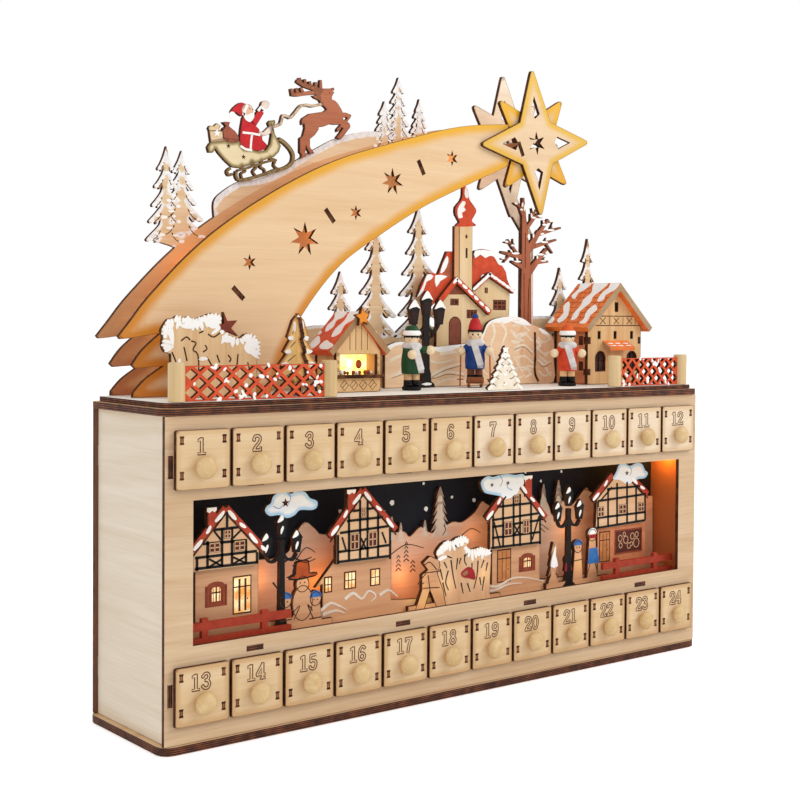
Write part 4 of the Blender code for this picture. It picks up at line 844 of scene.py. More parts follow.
def star_holes():
    """The small star in the middle and a kite in each long arm."""
    holes = [star(STAR_X, STAR_Z, 6, 9.5, 3.6, math.degrees(STAR_TURN) + 90)]
    for i in range(4):
        a = STAR_TURN + i * math.pi / 2
        along, across = Vector((math.cos(a), math.sin(a))), Vector((-math.sin(a), math.cos(a)))
        corners = (along * 19.0, along * 22.5 - across * 5.0, along * 36.5, along * 22.5 + across * 5.0)
        holes.append([(STAR_X + p.x, STAR_Z + p.y) for p in corners])
    return holes


COMET_STARS = trace("85.1 87.9 6 5.5 129.2 105.1 7 12 172.2 125.4 6 5.5 204.4 149.4 7 10 260 170.3 6 6", 4)
SPACERS = trace("76.5 67.2 -43 149.9 122.2 -50 230.7 161.4 -62 326.1 182.2 -65", 3)
REAR_LAMPS = trace("40 50 60 84 108 100 158 130 214 154 268 176 60 26 90 50")


def fir(cx, foot, height, half, tiers, trunk=2.0, droop=2.0):
    """A fir silhouette: each tier is wider than the one above, and its tips droop."""
    right = [(cx + 0.5, foot + height)]
    for i in range(1, tiers + 1):
        reach = half * (0.28 + 0.72 * i / tiers)
        level = foot + height * (1 - i / (tiers + 0.35))
        right.append((cx + reach, level - droop))
        right.append((cx + max(reach * 0.42, trunk), level))
    right += [(cx + trunk, foot)]
    return right + [(2 * cx - x, z) for x, z in reversed(right)]


def boughs(cx, foot, height, half, tiers, seed, trunk=2.0):
    """A fir with drooping scalloped boughs: its outline, the snow on the boughs and the burnt lines under them."""
    dice = random.Random(seed)
    snow, lines, halves = [], [], []
    for side in (1, -1):
        path = []
        for i in range(1, tiers + 1):
            reach = half * (0.22 + 0.78 * (i / tiers) ** 0.9) * dice.uniform(0.86, 1.06)
            level = foot + height * (1 - i / (tiers + 0.6)) + dice.uniform(-0.8, 0.8)
            drop = 1.8 + reach * 0.24
            path += [(reach * 0.34, level + height / tiers * 0.36), (reach * 0.72, level - drop * 0.2),
                     (reach, level - drop), (reach * 0.9, level - drop - 1.5), (reach * 0.66, level - drop * 0.8 - 0.8),
                     (reach * 0.58, level - drop - 2.0), (reach * 0.34, level - drop * 0.5 - 1.0)]
            rx = max(1.3, reach * 0.17)
            snow.append(blob(cx + side * (reach - rx), level - drop + 0.1, rx, 1.25, seed + i, 9))
            if reach > 6.0:
                snow.append(blob(cx + side * reach * 0.5, level - drop * 0.3 + 0.4, reach * 0.15, 0.9, seed - i, 9))
                lines.append(smooth([(cx + side * reach * 0.3, level + 0.6),
                                     (cx + side * reach * 0.48, level - drop * 0.5 - 0.9),
                                     (cx + side * reach * 0.74, level - drop - 0.4)], 4))
        halves.append([(cx + side * x, z) for x, z in path])
    outline = smooth([(cx, foot + height)] + halves[0], 3) + [(cx + trunk, foot), (cx - trunk, foot)]
    outline += smooth(halves[1][::-1] + [(cx, foot + height)], 3)[:-1]
    return outline, snow, lines


def make_comet_front(look):
    """The airbrushed front comet with its star-shaped holes and burnt edges."""
    spray = ("ECB000", "CC7408", 8.5, GROUND + 10.0, GROUND + 210.0)
    paintwork = board("comet_paint", "ECCAA0", "E0BA8E", 0, 0.5, airbrush=spray)
    row = node_box("comet_front")[0].y
    part = Part()
    cuts = [star(x, z, points, r, r * 0.42) for x, z, points, r in COMET_STARS] + star_holes()
    cuts += [block(x, z, 11.6, 3.6, turn) for x, z, turn in SPACERS]
    adds = [comet_outline(), star_arms(45.5, 19.0, STAR_TURN + math.pi / 4)]
    rims = [placed(o + o[:1]) for o in adds]
    part.slab([placed(o) for o in adds], [placed(o) for o in cuts], row, row + PLY, pitch=3.5, rim_lines=rims)
    piece("dressed_comet_front", part, [paintwork, burnt()], stands_for=["comet_front"])


def make_star(look):
    """The four-pointed star on the front comet."""
    spray = ("E6B838", "DCA42C", 6.5, GROUND + 120.0, GROUND + 230.0)
    paintwork = board("star_paint", "EED0A8", "E0BE96", 0, 0.5, airbrush=spray)
    row = node_box("star_front")[0].y
    part = Part()
    cuts = star_holes() + [block(*SPACERS[-1][:2], 11.6, 3.6, SPACERS[-1][2])]
    arms = placed(star_arms(55.5, 22.8, STAR_TURN))
    part.slab([arms], [placed(o) for o in cuts], row, row + PLY, pitch=2.5, rim_lines=[arms + arms[:1]])
    piece("dressed_star_front", part, [paintwork, burnt()], stands_for=["star_front"])


def make_comet_back(look):
    """Rear comet with its firs, snow banks, lamps and the cross strips that carry the front comet."""
    # Painted lamplight: the rear comet's wood glows orange near its lamps.
    lit = ("F07A18", "FFC25A", look.glow * 0.16)
    spray = ("E2B482", "B0683E", 9.0, GROUND + 4.0, GROUND + 80.0)
    wood = board("rear_comet_wood", "E8BA88", "D8A472", 0, 0.58, airbrush=spray, glow=lit)
    forest = board("rear_forest_wood", "E8CFA8", "D8B488", 0, 0.62, snow=2.0)
    pale = board("rear_star_wood", "FFF2DC", "F4DEC2", 0, 0.6)
    row = node_box("comet_back")[1].y - PLY
    part = Part()
    leg = trace("358 0 372 0 371.5 118 352.4 150 334 164 332.3 162.8 345.9 136.7 358 122")
    trees = [boughs(39.5, 100.0, 64.0, 15.0, 5, 3, 13.0), boughs(51.0, 106.0, 56.0, 18.0, 5, 4, 11.0),
             boughs(220.0, 178.0, 34.0, 11.0, 5, 5), boughs(233.0, 180.0, 51.0, 14.0, 6, 6),
             boughs(253.0, 186.0, 31.0, 10.0, 5, 7)]
    bank = smooth(trace("""
        76 118 75.6 129.2 81.8 136.3 96 144.7 108 146.6 120.2 150.5 132.6 156.3 145.2 164.3 158.8 172 179.7
        182.1 208.4 188.9 230 186"""), 4)
    bank += [(230.0, 170.0), (150.0, 146.0)]
    hill = smooth(trace("90 26 130 40 170 46 215 38 250 44 300 46 345 50 385 54 430 50 452 30"), 4)
    ground = [(90.0, 0.0)] + hill + [(452.0, 0.0)]
    trees += [boughs(181.0, 20.0, 65.0, 19.0, 5, 8), boughs(213.0, 20.0, 102.0, 24.0, 6, 9),
              boughs(253.0, 20.0, 116.0, 25.0, 7, 10), boughs(402.0, 20.0, 74.0, 19.0, 5, 11),
              boughs(434.0, 20.0, 99.0, 19.0, 6, 12)]
    arms = [star_arms(55.5, 22.8, STAR_TURN), star_arms(45.5, 19.0, STAR_TURN + math.pi / 4)]
    root = trace("30 101.5 62 108 64 99 52 95.5 42 98.5")
    adds = [(1, placed(o)) for o in [t[0] for t in trees] + [ground, root]]
    adds += [(4, placed(bank)), (0, placed(comet_outline()))]
    adds += [(5, placed(o)) for o in arms] + [(5, placed(leg))]
    part.slab(adds, [placed(o) for o in star_holes()], row, row + PLY, face=0, edge=2, pitch=4.0)
    front_row, star_row = node_box("comet_front")[0].y, node_box("star_front")[0].y
    for x, z, turn in SPACERS:
        near = star_row if x > 300 else front_row
        part.coat([placed(block(x, z, 11.0, 3.0, turn))], near, row + 1.0, 2, 0)
    for x, z in REAR_LAMPS:
        part.turned(trace("1 2.2 -2.4 2.2 -3.1 1.6 -3.4 0"), (x + FOOT_X, row, z + GROUND), "Y", 14, 3)
    lamps = [(x + FOOT_X, row, z + GROUND) for x, z in REAR_LAMPS]
    for _, snow, lines in trees:
        for o in snow:
            part.coat([placed(o)], row - 0.4, row + 0.1, 6, 6)
        for line in lines:
            part.ribbon(placed(line), 0.8, row - 0.06, row + 0.05, 2, tip=0.4)
    lens = lamp_light("lamp_lens", "FFC469", 1.6)
    drift = board("bank_wood", "F2DAB4", "E2BC90", 0, 0.62, snow=4.0)
    piece("dressed_comet_back", part, [wood, forest, burnt(), lens, drift, pale, snow_paint()],
          stands_for=["comet_back"], lamps=lamps, reach=15.0)


# The winter village on the snow plate. Outlines run from the middle of the plate, heights from the snow.

PLATE_HALF = 236.1


def up(outline):
    return moved(outline, 0.0, GROUND)


def blob(cx, cz, rx, rz, seed, count=14):
    """An uneven round dab of paint."""
    dice = random.Random(seed)
    spots = []
    for i in range(count):
        a, r = 2 * math.pi * i / count, dice.uniform(0.8, 1.12)
        spots.append((cx + rx * r * math.cos(a), cz + rz * r * math.sin(a)))
    return lobe(spots, 2)


def dab(cx, cz, long, wide, lean, seed=0, count=10):
    """An uneven dab turned by degrees."""
    c, s = math.cos(math.radians(lean)), math.sin(math.radians(lean))
    return [(cx + x * c - z * s, cz + x * s + z * c) for x, z in blob(0.0, 0.0, long, wide, seed, count)]


def snow_rim(line, deep, pitch, seed):
    """Strokes of snow side by side, each drawn inwards from a line by a depth of its own."""
    dice, dabs, gone = random.Random(seed), [], pitch
    for a, b in zip(line[:-1], line[1:]):
        way = Vector((b[0] - a[0], b[1] - a[1]))
        gone += way.length
        if gone >= pitch and way.length > 0.01:
            gone, long, way = 0.0, deep * dice.uniform(0.3, 1.0), way.normalized()
            reach = long * 0.5 + 0.5
            dabs.append(dab(a[0] + way.y * reach, a[1] - way.x * reach, long * 0.62, pitch * 0.8,
                            math.degrees(math.atan2(-way.x, way.y)), dice.randint(0, 999), 9))
    return dabs


def cutout(row, body, paints=(), dabs=(), lines=(), line=0.55, pitch=3.0):
    """A standing cut-out: painted areas are (finish, outline) pairs, dabs are raised snow, lines are burnt strokes."""
    part = Part()
    part.slab([up(o) for o in body] + [(look, up(o)) for look, o in paints], (), row, row + PLY, pitch=pitch)
    if dabs:
        part.coat([up(o) for o in dabs], row - 0.45, row + 0.1, 2, 2)
    for path in lines:
        part.ribbon(up(path), line, row - 0.07, row + 0.05)
    return part


@once
def wood(name="cutout_birch"):
    """The birch plywood of the small cut-outs."""
    return board(name, "E6C08C", "CF9F66", 2, 0.6)


def make_sleigh(look):
    """Santa with a sack in the curved sleigh, and the reindeer on its reins."""
    row = node_box("santa_sleigh")[0].y
    part = Part()
    hull = trace("""
        69.7 161.9 68.5 165.5 70.4 168.3 73.5 170.3 78.9 171.7 85.9 172.7 92.2 172.5 94.6 170.3 97.8 167.5 103.4
        166.6 109.1 165.7 114.7 167.2 118 171.6 119.2 177.9 117.9 182.7 116.3 186 117.9 187.9 122 188.6 122.4
        186.5 120.8 183.6 122 178.9 124.5 175.3 127 171 125.4 166.7 121.3 162.9 111.5 159.3 100.3 155.1 93.9
        153.2 87.6 153.5 82.1 157.5 77.4 161.8 74.7 165 72.8 162.1""")
    runner = stroke(smooth(trace("""
        125.4 175.7 129.5 174 134.5 170.2 137.5 165.5 136.3 159.8 130.4 155.9 123 154 114.8 150.6 103.5 147.1 94
        145.1 91.2 147.6 91.5 151"""), 3), 2.8, 2.0)
    rail = stroke(trace("92.3 151.4 100.3 153.7 108.3 156.7 116.4 159.4 123.8 161"), 1.6)
    curl = stroke(smooth(trace("86.8 152.7 84.1 150.5 85.3 147.9 88.4 148.8"), 3), 1.8)
    posts = [stroke(smooth(path, 3), 1.9, 1.3) for path in traces("""
        103 157.7 107.4 155 104.6 151.6 107.5 148.4; 112 159.6 110.6 155.4 113.8 153.6 114.6 150.4; 118 161.5
        122.6 160.8 121.6 157 125.5 154.6; 95 154.2 98.6 151.6 95.2 149.4 96.3 145.8""")]
    coat = trace("""
        96.1 188.2 98.5 189.1 100.9 187 106.6 183 109.4 180.9 109 177.7 111.4 177.3 111.9 173.9 115.9 170.7
        113.9 167.5 109.9 166.1 103.4 166.6 97 166.4 94.2 169 93.8 173.7 94.6 180.6""")
    hat = lobe(trace("""
        86.6 190.7 89 194.3 93.7 197.8 96.5 197.8 99 196.8 97.7 193.8 96.1 188.9 93 189.6 90.6 191.1 88.2 190.2"""), 2)
    beard = lobe(trace("96.1 191.6 99.3 189.9 104.1 192 104.9 189 101.7 185.3 97.7 187"), 3)
    arm = trace("103.3 186.2 107.3 192.7 109.7 195 113 192.6 110.6 188.9 106.6 183")
    cuff = stroke(trace("108.1 193.5 110.5 196.5 113.4 194.7"), 1.8)
    mitten = lobe(trace("110.5 195.8 111.3 200 114.6 201.3 117.4 199.9 116.2 196.7 113.8 195.4"), 3)
    hand = lobe(trace("109 179.8 112.2 179.4 116.3 182.9 118.7 184.1 118.8 179.3 113.1 176.7 109.8 177.1"), 2)
    sack = lobe(trace("""
        80 183.3 85.9 183.8 85.1 181.1 89.9 178.1 92.9 174.2 92.2 171 82.8 170.4 80.8 176 80.4 179.3 82.8 180.9"""), 2)
    gift = trace("""
        70 176.7 71.2 169 80.9 170.6 80.1 177.2 77.3 178.3 78.9 180.5 75.8 182.2 73.5 180 70.4 180.1 69.2 178.3""")
    rein = stroke(smooth(trace("""
        119.2 183.3 126.1 185.8 127.8 189.1 129 192.4 132.7 192 135.2 191.6 139.4 195.8 143.6 200.4 148.7 201.7
        153.8 201.5 162.5 204"""), 3), 2.0)
    deer = trace("""
        145.3 192.2 147.9 193.8 151.2 195.9 157.2 197.2 163.3 198.5 165.8 200.2 164.1 201.8 161.5 203.3 159.8
        205.6 158 207.9 155.4 211.2 158 212.9 161.4 214.7 169.2 215.5 171.8 216.5 172.3 214.7 170.5 213.8 172.3
        213.3 171 211.4 170.1 209.5 170.2 207.7 172.8 207.3 175.4 205.4 178.1 202.1 179.9 199.4 182.5 199.6
        187.4 198.3 186.5 196.1 183.9 193.3 186.1 191.7 186.6 189.6 180.4 182.2 177.8 179.8 174.3 180.9 177.3
        184.4 180.4 188.3 178.6 188.5 176.9 185.8 174.7 184.9 174.7 187.1 178.2 190.6 172.9 190.1 168.5 190.1
        163.3 187.8 159 187.1 158.6 184.9 155.6 181.1 151.4 177.9 151.4 172.3 155.3 168 151.8 167.3 149.3 170.7
        148 173.4 147.6 168.4 148 165.3 143.8 163.5 144.6 166.1 142.9 168 142.9 177.9 145.4 179.5 147.1 185.3
        146.6 188.4 144.5 187.2 144.1 189.9""")
    gap = trace("180.3 195.8 182.5 196.6 184.3 195.9 182.1 193.8 180.3 194.4")
    antlers = [stroke(smooth(trace("160 211.8 149.5 210.2 141 208.2 135.6 208"), 3), 3.0, 2.4),
               stroke(smooth(trace("160.9 213 151.1 214.6 145.2 215.7 140.1 218"), 3), 3.2, 2.4)]
    tines = trace("""
        136.8 208.2 135.5 211.9 141 209.3 139.7 212.7 145.2 210.4 143.5 213.4 143.5 215.9 142.6 220.3 147.7
        214.9 146.9 219.8 152 214.7 151.1 218.8 156.3 213.8 156.2 218.7 160.6 212.8 160.5 220.6""")
    antlers += [bar(tines[i], tines[i + 1], 2.8, 1.8) for i in range(0, 16, 2)]
    ear = trace("160.7 207.8 156.3 209.3 153.3 208.7 155.5 207.2 160 206")
    painted = [(3, hull), (3, runner), (3, rail), (3, curl)] + [(3, o) for o in posts]
    painted += [(8, sack), (4, gift), (5, coat), (5, hat), (6, ring(99.7, 193.0, 4.6, 4.6, 16)), (2, beard), (5, arm),
                (9, mitten)]
    painted += [(9, hand), (2, cuff), (7, rein), (10, deer), (10, ear)] + [(10, o) for o in antlers]
    rims = [placed(o + o[:1]) for _, o in painted if o is not beard]
    part.slab([(look_at, placed(o)) for look_at, o in painted], [placed(gap)], row, row + PLY, face=3, pitch=1.8,
              rim_lines=rims)
    dabs = [stroke(trace("95.8 177.6 103.4 177.6 109.8 177.1"), 1.5),
            stroke(trace("103.4 177.2 102.6 172.4 102.2 166.9"), 1.5),
            stroke(trace("94.2 168.3 97.8 166.5 103.4 165.9"), 1.6), ring(87.6, 188.6, 2.5, 2.5, 14), beard, cuff,
            stroke(smooth(trace("96.4 189.4 97.6 193 99.6 197"), 3), 1.9), star(75.8, 175.5, 5, 2.9, 1.2)]
    for outline in dabs:
        part.coat([placed(outline)], row - 0.4, row + 0.1, 2, 2)
    for x, z in ((84.8, 167.5), (96.7, 161.0)):
        part.coat([placed(star(x, z, 5, 2.0, 0.8))], row - 0.05, row + 0.1, 1)
    lines = traces("118.6 186.6 120.9 181; 80.4 183 82.4 180.9 80.6 178; 70.6 176.6 79.8 177.2")
    for path in lines:
        part.ribbon(placed(smooth(path, 3)), 0.5, row - 0.06, row + 0.05, 1)
    for x, z in trace("101.6 194.4 104 194 168 212.2"):
        part.coat([placed(ring(x, z, 0.45, 0.45, 8))], row - 0.1, row + 0.05, 1)
    spray = ("8C7A42", "807038", 2.6, GROUND + 100.0, GROUND + 200.0)
    olive = board("sleigh_olive", "F0E0B8", "E2CC9C", 0, airbrush=spray)
    finishes = [wood(), burnt(), snow_paint(), olive, board("gift_birch", "E6CCA4", "D6B384", 0),
                paint("santa_red", "D41E26", "B8161E"), paint("face_rose", "F0C9AC", "E6B597"),
                paint("rein_tan", "E6CDB0", "D9B895"), paint("sack_brown", "AE5E44", "964C36"),
                paint("mitten_cream", "F4E2D4", "E2C8B6"), board("deer_brown", "BE7350", "A65C3C", 0)]
    piece("dressed_santa_sleigh", part, finishes, stands_for=["santa_sleigh"])


def lattice_cuts(x0, x1, foot, head, columns):
    """The diamonds between crossing strips, with half diamonds at the foot and the head."""
    rows, wall, rail = 2, 1.55, 0.7
    step, rise = (x1 - x0) / columns, (head - foot) / rows
    half, tall = step / 2 - wall * 0.8, rise / 2 - wall * 1.1
    middles = [(c + 0.5, r + 0.5) for r in range(rows) for c in range(columns)]
    middles += [(c, r) for r in range(1, rows) for c in range(1, columns)]
    cuts = [[(x0 + step * c, foot + rise * r - tall), (x0 + step * c + half, foot + rise * r),
             (x0 + step * c, foot + rise * r + tall), (x0 + step * c - half, foot + rise * r)] for c, r in middles]
    reach = half * (tall - rail) / tall
    for c in range(1, columns):
        x = x0 + step * c
        cuts += [[(x - reach, foot + rail), (x + reach, foot + rail), (x, foot + tall)],
                 [(x - reach, head - rail), (x, head - tall), (x + reach, head - rail)]]
    return cuts


def make_fences(look):
    """Red diamond lattice between smooth turned posts, with dabs of snow scattered on it."""
    red = paint("lattice_red", "DE562C", "C64824", scorch=False)
    post = board("post_birch", "E2C89A", "CCAA76", 2, 0.45, scorch=False)
    for name, columns, seed in (("fence_left", 9, 3), ("fence_right", 7, 8)):
        low, high = node_box(name)
        left, right, y = low.x + 5.2, high.x - 5.2, (low.y + high.y) / 2
        x0, x1 = left + 3.1, right - 3.1
        part = Part()
        sheet = rect(x0, 0.0, x1, 21.5)
        part.slab([up(sheet)], [up(o) for o in lattice_cuts(x0 + 0.6, x1 - 0.6, 0.0, 21.5, columns)], y - 1.5, y + 1.5,
                  pitch=4.0)
        for x in (left, right):
            part.turned(trace("0 5.2 22.6 5.2 23.3 4.9 23.7 4.3 23.72 0"), (x, y, GROUND), "Z", 36, 3)
        thing = piece("dressed_" + name, part, [red, burnt(), snow_paint(), post], stands_for=[name])
        front = [tuple(Vector((x, y - 1.52, z + GROUND)) * MM) for x, z in sheet]
        snow = scattered(f"{name}_snow", front, {"Density": 21000.0, "Seed": seed, "Size": 0.0013, "Spread": 0.7},
                         snow_paint(), keep=thing, margin=0.0014)


def interface(tree, inputs):
    """Names the inputs of a geometry tree and gives back their sockets' identifiers."""
    names = {}
    for label, kind, value in inputs:
        item = tree.interface.new_socket(name=label, in_out="INPUT", socket_type=kind)
        if value is not None:
            item.default_value = value
        names[label] = item.identifier
    tree.interface.new_socket(name="Geometry", in_out="OUTPUT", socket_type="NodeSocketGeometry")
    return names


def grown(name, source, tree, names, values, finish):
    """Runs a geometry tree on a mesh and keeps the result as one plain mesh."""
    holder = new_object(name + "_source", source)
    modifier = holder.modifiers.new("grow", "NODES")
    modifier.node_group = tree
    for label, value in {**values, "Material": finish}.items():
        modifier[names[label]] = value
    graph = bpy.context.evaluated_depsgraph_get()
    mesh = bpy.data.meshes.new_from_object(holder.evaluated_get(graph))
    mesh.name = name
    bpy.data.objects.remove(holder)
    if not mesh.materials:
        mesh.materials.append(finish)
    if not mesh.polygons:
        raise RuntimeError(f"{name}: the geometry tree made no faces")
    thing = new_object(name, mesh)
    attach(thing, "case")
    return thing


def scatter_tree():
    """Scatters small flattened drops over faces, each with a size and turn of its own."""
    tree = bpy.data.node_groups.new("scattered_dabs", "GeometryNodeTree")
    names = interface(tree, [
        ("Geometry", "NodeSocketGeometry", None), ("Density", "NodeSocketFloat", 20000.0),
        ("Seed", "NodeSocketInt", 1), ("Size", "NodeSocketFloat", 0.001), ("Spread", "NodeSocketFloat", 0.6),
        ("Material", "NodeSocketMaterial", None)])
    given = tree.nodes.new("NodeGroupInput").outputs
    spots = add(tree, "GeometryNodeDistributePointsOnFaces", {"Mesh": given["Geometry"], "Density": given["Density"],
                                                             "Seed": given["Seed"]})
    drop = add(tree, "GeometryNodeMeshIcoSphere", {"Radius": given["Size"], "Subdivisions": 2})
    size = add(tree, "FunctionNodeRandomValue", {"Min": (0.6, 0.6, 0.3), "Max": (1.9, 1.2, 0.5), "Seed": given["Seed"]},
               data_type="FLOAT_VECTOR")
    turn = add(tree, "FunctionNodeRandomValue", {"Min": (0.0, 0.0, -3.1), "Max": (0.0, 0.0, 3.1),
                                                 "Seed": given["Seed"]}, data_type="FLOAT_VECTOR")
    facing = add(tree, "FunctionNodeRotateRotation", {"Rotation": spots.outputs["Rotation"],
                                                      "Rotate By": turn.outputs[0]}, rotation_space="LOCAL")
    picked = add(tree, "FunctionNodeRandomValue", {"Probability": given["Spread"], "Seed": 5}, data_type="BOOLEAN")
    many = add(tree, "GeometryNodeInstanceOnPoints", {"Points": spots.outputs["Points"], "Instance": drop,
                                                      "Rotation": facing, "Scale": size.outputs[0],
                                                      "Selection": picked})
    whole = add(tree, "GeometryNodeRealizeInstances", {"Geometry": many})
    done = add(tree, "GeometryNodeSetMaterial", {"Geometry": whole, "Material": given["Material"]})
    tree.links.new(done.outputs[0], tree.nodes.new("NodeGroupOutput").inputs[0])
    return tree, names


def scattered(name, corners, values, finish, keep=None, margin=0.0):
    """Dabs over the four-cornered face, kept only where the piece under them has wood."""
    source = bpy.data.meshes.new(name + "_face")
    source.from_pydata(corners, [], [(0, 1, 2, 3)])
    tree, names = scatter_tree()
    thing = grown(name, source, tree, names, values, finish)
    if keep:
        wood_there = bpy.data.objects[keep.name]
        clean = bmesh.new()
        clean.from_mesh(thing.data)
        islands, seen = [], set()
        for vertex in clean.verts:
            if vertex.index in seen:
                continue
            group, stack = [], [vertex]
            seen.add(vertex.index)
            while stack:
                here = stack.pop()
                group.append(here)
                for edge in here.link_edges:
                    other = edge.other_vert(here)
                    if other.index not in seen:
                        seen.add(other.index)
                        stack.append(other)
            islands.append(group)
        gone = []
        for group in islands:
            middle = sum((v.co for v in group), Vector()) / len(group)
            _, spot, _, _ = wood_there.closest_point_on_mesh(middle)
            if (spot - middle).length > margin:
                gone += group
        bmesh.ops.delete(clean, geom=gone, context="VERTS")
        clean.to_mesh(thing.data)
        clean.free()
    return thing


def make_left_trees(look):
    """The snowy bush with its red star, the fir of two crossed boards and the white fir."""
    row = node_box("snow_bush")[0].y
    body = smooth(trace("""
        -213 27.9 -217.2 29.2 -219.3 33.5 -218.6 38.5 -220 42.3 -218.6 45.4 -215.1 49.8 -210.9 50.4 -208.8 52
        -204.6 50.8 -201 51.4 -197.5 50.5 -193.1 50.8 -189.5 52.1 -183.7 53.8 -178.6 52.5 -176.4 50 -177.1 45.5
        -172.6 41 -167.4 38.4 -162.9 37.7 -159.1 40.3 -154.6 40.3 -149.2 37 -147.7 32.4 -147.6 27.2 -149.9 22.6"""), 2)
    body = [(-212.2, 0.0)] + body + [(-150.2, 0.0)]
    crown = body[3:-1]
    snow = snow_rim(crown, 7.5, 1.7, 5)
    snow += [dab(-198.0, 46.0, 8.5, 2.2, 4, 1), dab(-184.0, 47.5, 5.0, 3.6, -20, 2),
             dab(-172.0, 37.0, 5.5, 2.4, -10, 3), dab(-155.0, 32.0, 4.6, 4.6, -30, 4),
             dab(-213.0, 40.0, 1.8, 6.5, 8, 5), blob(-207.0, 22.0, 1.2, 3.6, 4), blob(-190.0, 24.5, 3.4, 1.2, 5),
             blob(-176.0, 18.0, 3.0, 1.0, 6), blob(-166.5, 16.5, 1.1, 3.0, 7)]
    marks = traces("""
        -212.3 29.1 -209.4 22.8; -203.8 32.2 -201.6 23.3; -198.8 35.9 -195.2 34.7 -197.4 30.2 -193.8 27 -193
        12.4; -188.7 33.3 -187.3 30.8 -190.2 28.9; -187.3 25.7 -183.6 19.9; -171.8 26.8 -169.6 24.2 -171 22.3;
        -164.3 27.4 -165.1 19.6; -192.4 44.2 -190.2 42.3 -193.1 41; -186.6 40.4 -182.2 38.4 -176.3 42.3; -206 36
        -202 38.5 -199.5 36.5; -180 27 -178 22; -157 22 -155 15""")
    glint = trace("""
        -175.3 54.5 -172.6 48.7 -165.2 49.1 -169.7 44.2 -164.4 39 -171.1 41.6 -177.1 43.2 -178.2 46.1 -174.9
        47.1""")
    part = cutout(row, [body, glint], [], snow, [smooth(m, 3) for m in marks], line=1.0)
    part.coat([up(glint)], row - 0.5, row + 0.1, 3)
    piece("dressed_snow_bush", part, [board("bush_birch", "E8C89A", "D6AC7A", 2, 0.6), burnt(), snow_paint(),
                                      paint("star_red", "AE4A30", "93371F")], stands_for=["snow_bush"])

    low, high = node_box("cross_fir")
    cx, row = (low.x + high.x) / 2, (low.y + high.y) / 2 - 1.5
    half = trace("0 54 4.4 49.6 8.6 38.4 6.2 37.2 11.8 28.7 9.4 27.3 14.8 20.9 12.4 19.5 15.8 10.4 4 8.8 3.6 0")
    outline = [(cx + x, z) for x, z in half] + [(cx - x, z) for x, z in reversed(half[1:])]
    other = [(row + 1.5 + x * 0.8, z) for x, z in half] + [(row + 1.5 - x * 0.8, z) for x, z in reversed(half[1:])]
    part = Part()
    part.slab([up(outline)], (), row, row + PLY, pitch=2.0)
    part.slab([up(other)], (), cx - 1.5, cx + 1.5, "YZ", pitch=2.0)
    dabs = trace("""
        2.6 46 1.5 4 6.2 37.6 2 1.6 8.2 28.8 2.6 1.6 10.2 20.6 3 1.6 12 11.6 3.4 1.2 -3 45 1.2 3.4 -5.8 37.8 2.2
        1.5 -8 28.8 2.8 1.5 -10.4 20.6 2.8 1.5 -12.4 11.8 3.2 1.2 0 50 1.6 2.6 0.6 30 2.2 1.4 -1.4 19 2.6 1.3
        1.8 10.6 2.4 1.1""", 4)
    for i, (x, z, rx, rz) in enumerate(dabs):
        part.coat([up(blob(cx + x, z, rx, rz, i))], row - 0.4, row + 0.1, 2, 2)
    for z in (14.0, 24.0, 33.0, 42.0):
        for side in (-1, 1):
            part.ribbon(up([(cx + side * 2.2, z + 2.5), (cx + side * (12.5 - z * 0.18), z - 1.5)]), 0.5, row - 0.06,
                        row + 0.05, 1)
    # The crossed fir's bright yellow wood is painted light.
    spray = ("C8904C", "B87844", 2.6, GROUND + 5.0, GROUND + 50.0)
    lit = board("cross_fir_wood", "FADA96", "EEC27A", 2, airbrush=spray)
    piece("dressed_cross_fir", part, [lit, burnt(), snow_paint()], stands_for=["cross_fir"])

    low, high = node_box("white_fir")
    cx, row = (low.x + high.x) / 2, low.y
    half = trace("""
        0 32 2.4 28.6 1.6 27.8 4.6 24.8 3.4 23.6 7 20.2 5.4 19.4 9.4 15.8 7.4 14.6 12 11.2 9.8 9.8 14.6 6.4 12.4
        5 17.2 1.6 15 0""")
    outline = [(cx + x, z) for x, z in half] + [(cx - x, z) for x, z in reversed(half[1:])]
    specks = [blob(cx + x, z, 0.7, 0.5, i, 8)
              for i, (x, z) in enumerate(trace("-3 20 2 14 5 8 -7 10 -1 5 9 3 -12 4 1 25"))]
    cuts = [[(cx + side * (x - 0.6), z), (cx + side * (x - 3.8), z - 2.2)] for x, z in half[2:13:2] for side in (-1, 1)]
    dabs = [dab(cx + side * (x - 2.6), z + 0.2, 2.8, 0.9, side * -36, i)
            for i, (x, z) in enumerate(half[1:14:2]) for side in (-1, 1)]
    dabs += [dab(cx, z, 2.0, 0.8, 10, z) for z in (24, 17, 11, 4)]
    part = cutout(row, [outline], [(3, o) for o in specks], dabs, cuts, pitch=2.0)
    piece("dressed_white_fir", part, [paint("white_fir_paint", "F4EADA", "E6D6BE", scorch=False), burnt(), snow_paint(),
                                      paint("fleck_brown", "8A5A3C", "6E442C")], stands_for=["white_fir"])


def streaks(part, origin, along, across, length, depth, dabs, finish):
    """Brushed snow on a sloping board, each dab an outline from the ridge down that is kept within the board."""
    for dab_line in dabs:
        outline = [(min(max(x, 0.3), length - 0.3), min(max(y, 0.3), depth - 0.3)) for x, y in lobe(dab_line, 3)]
        part.patch(outline, origin, along, across, -0.1, 0.5, finish)


ROOF_THICK = 4.5


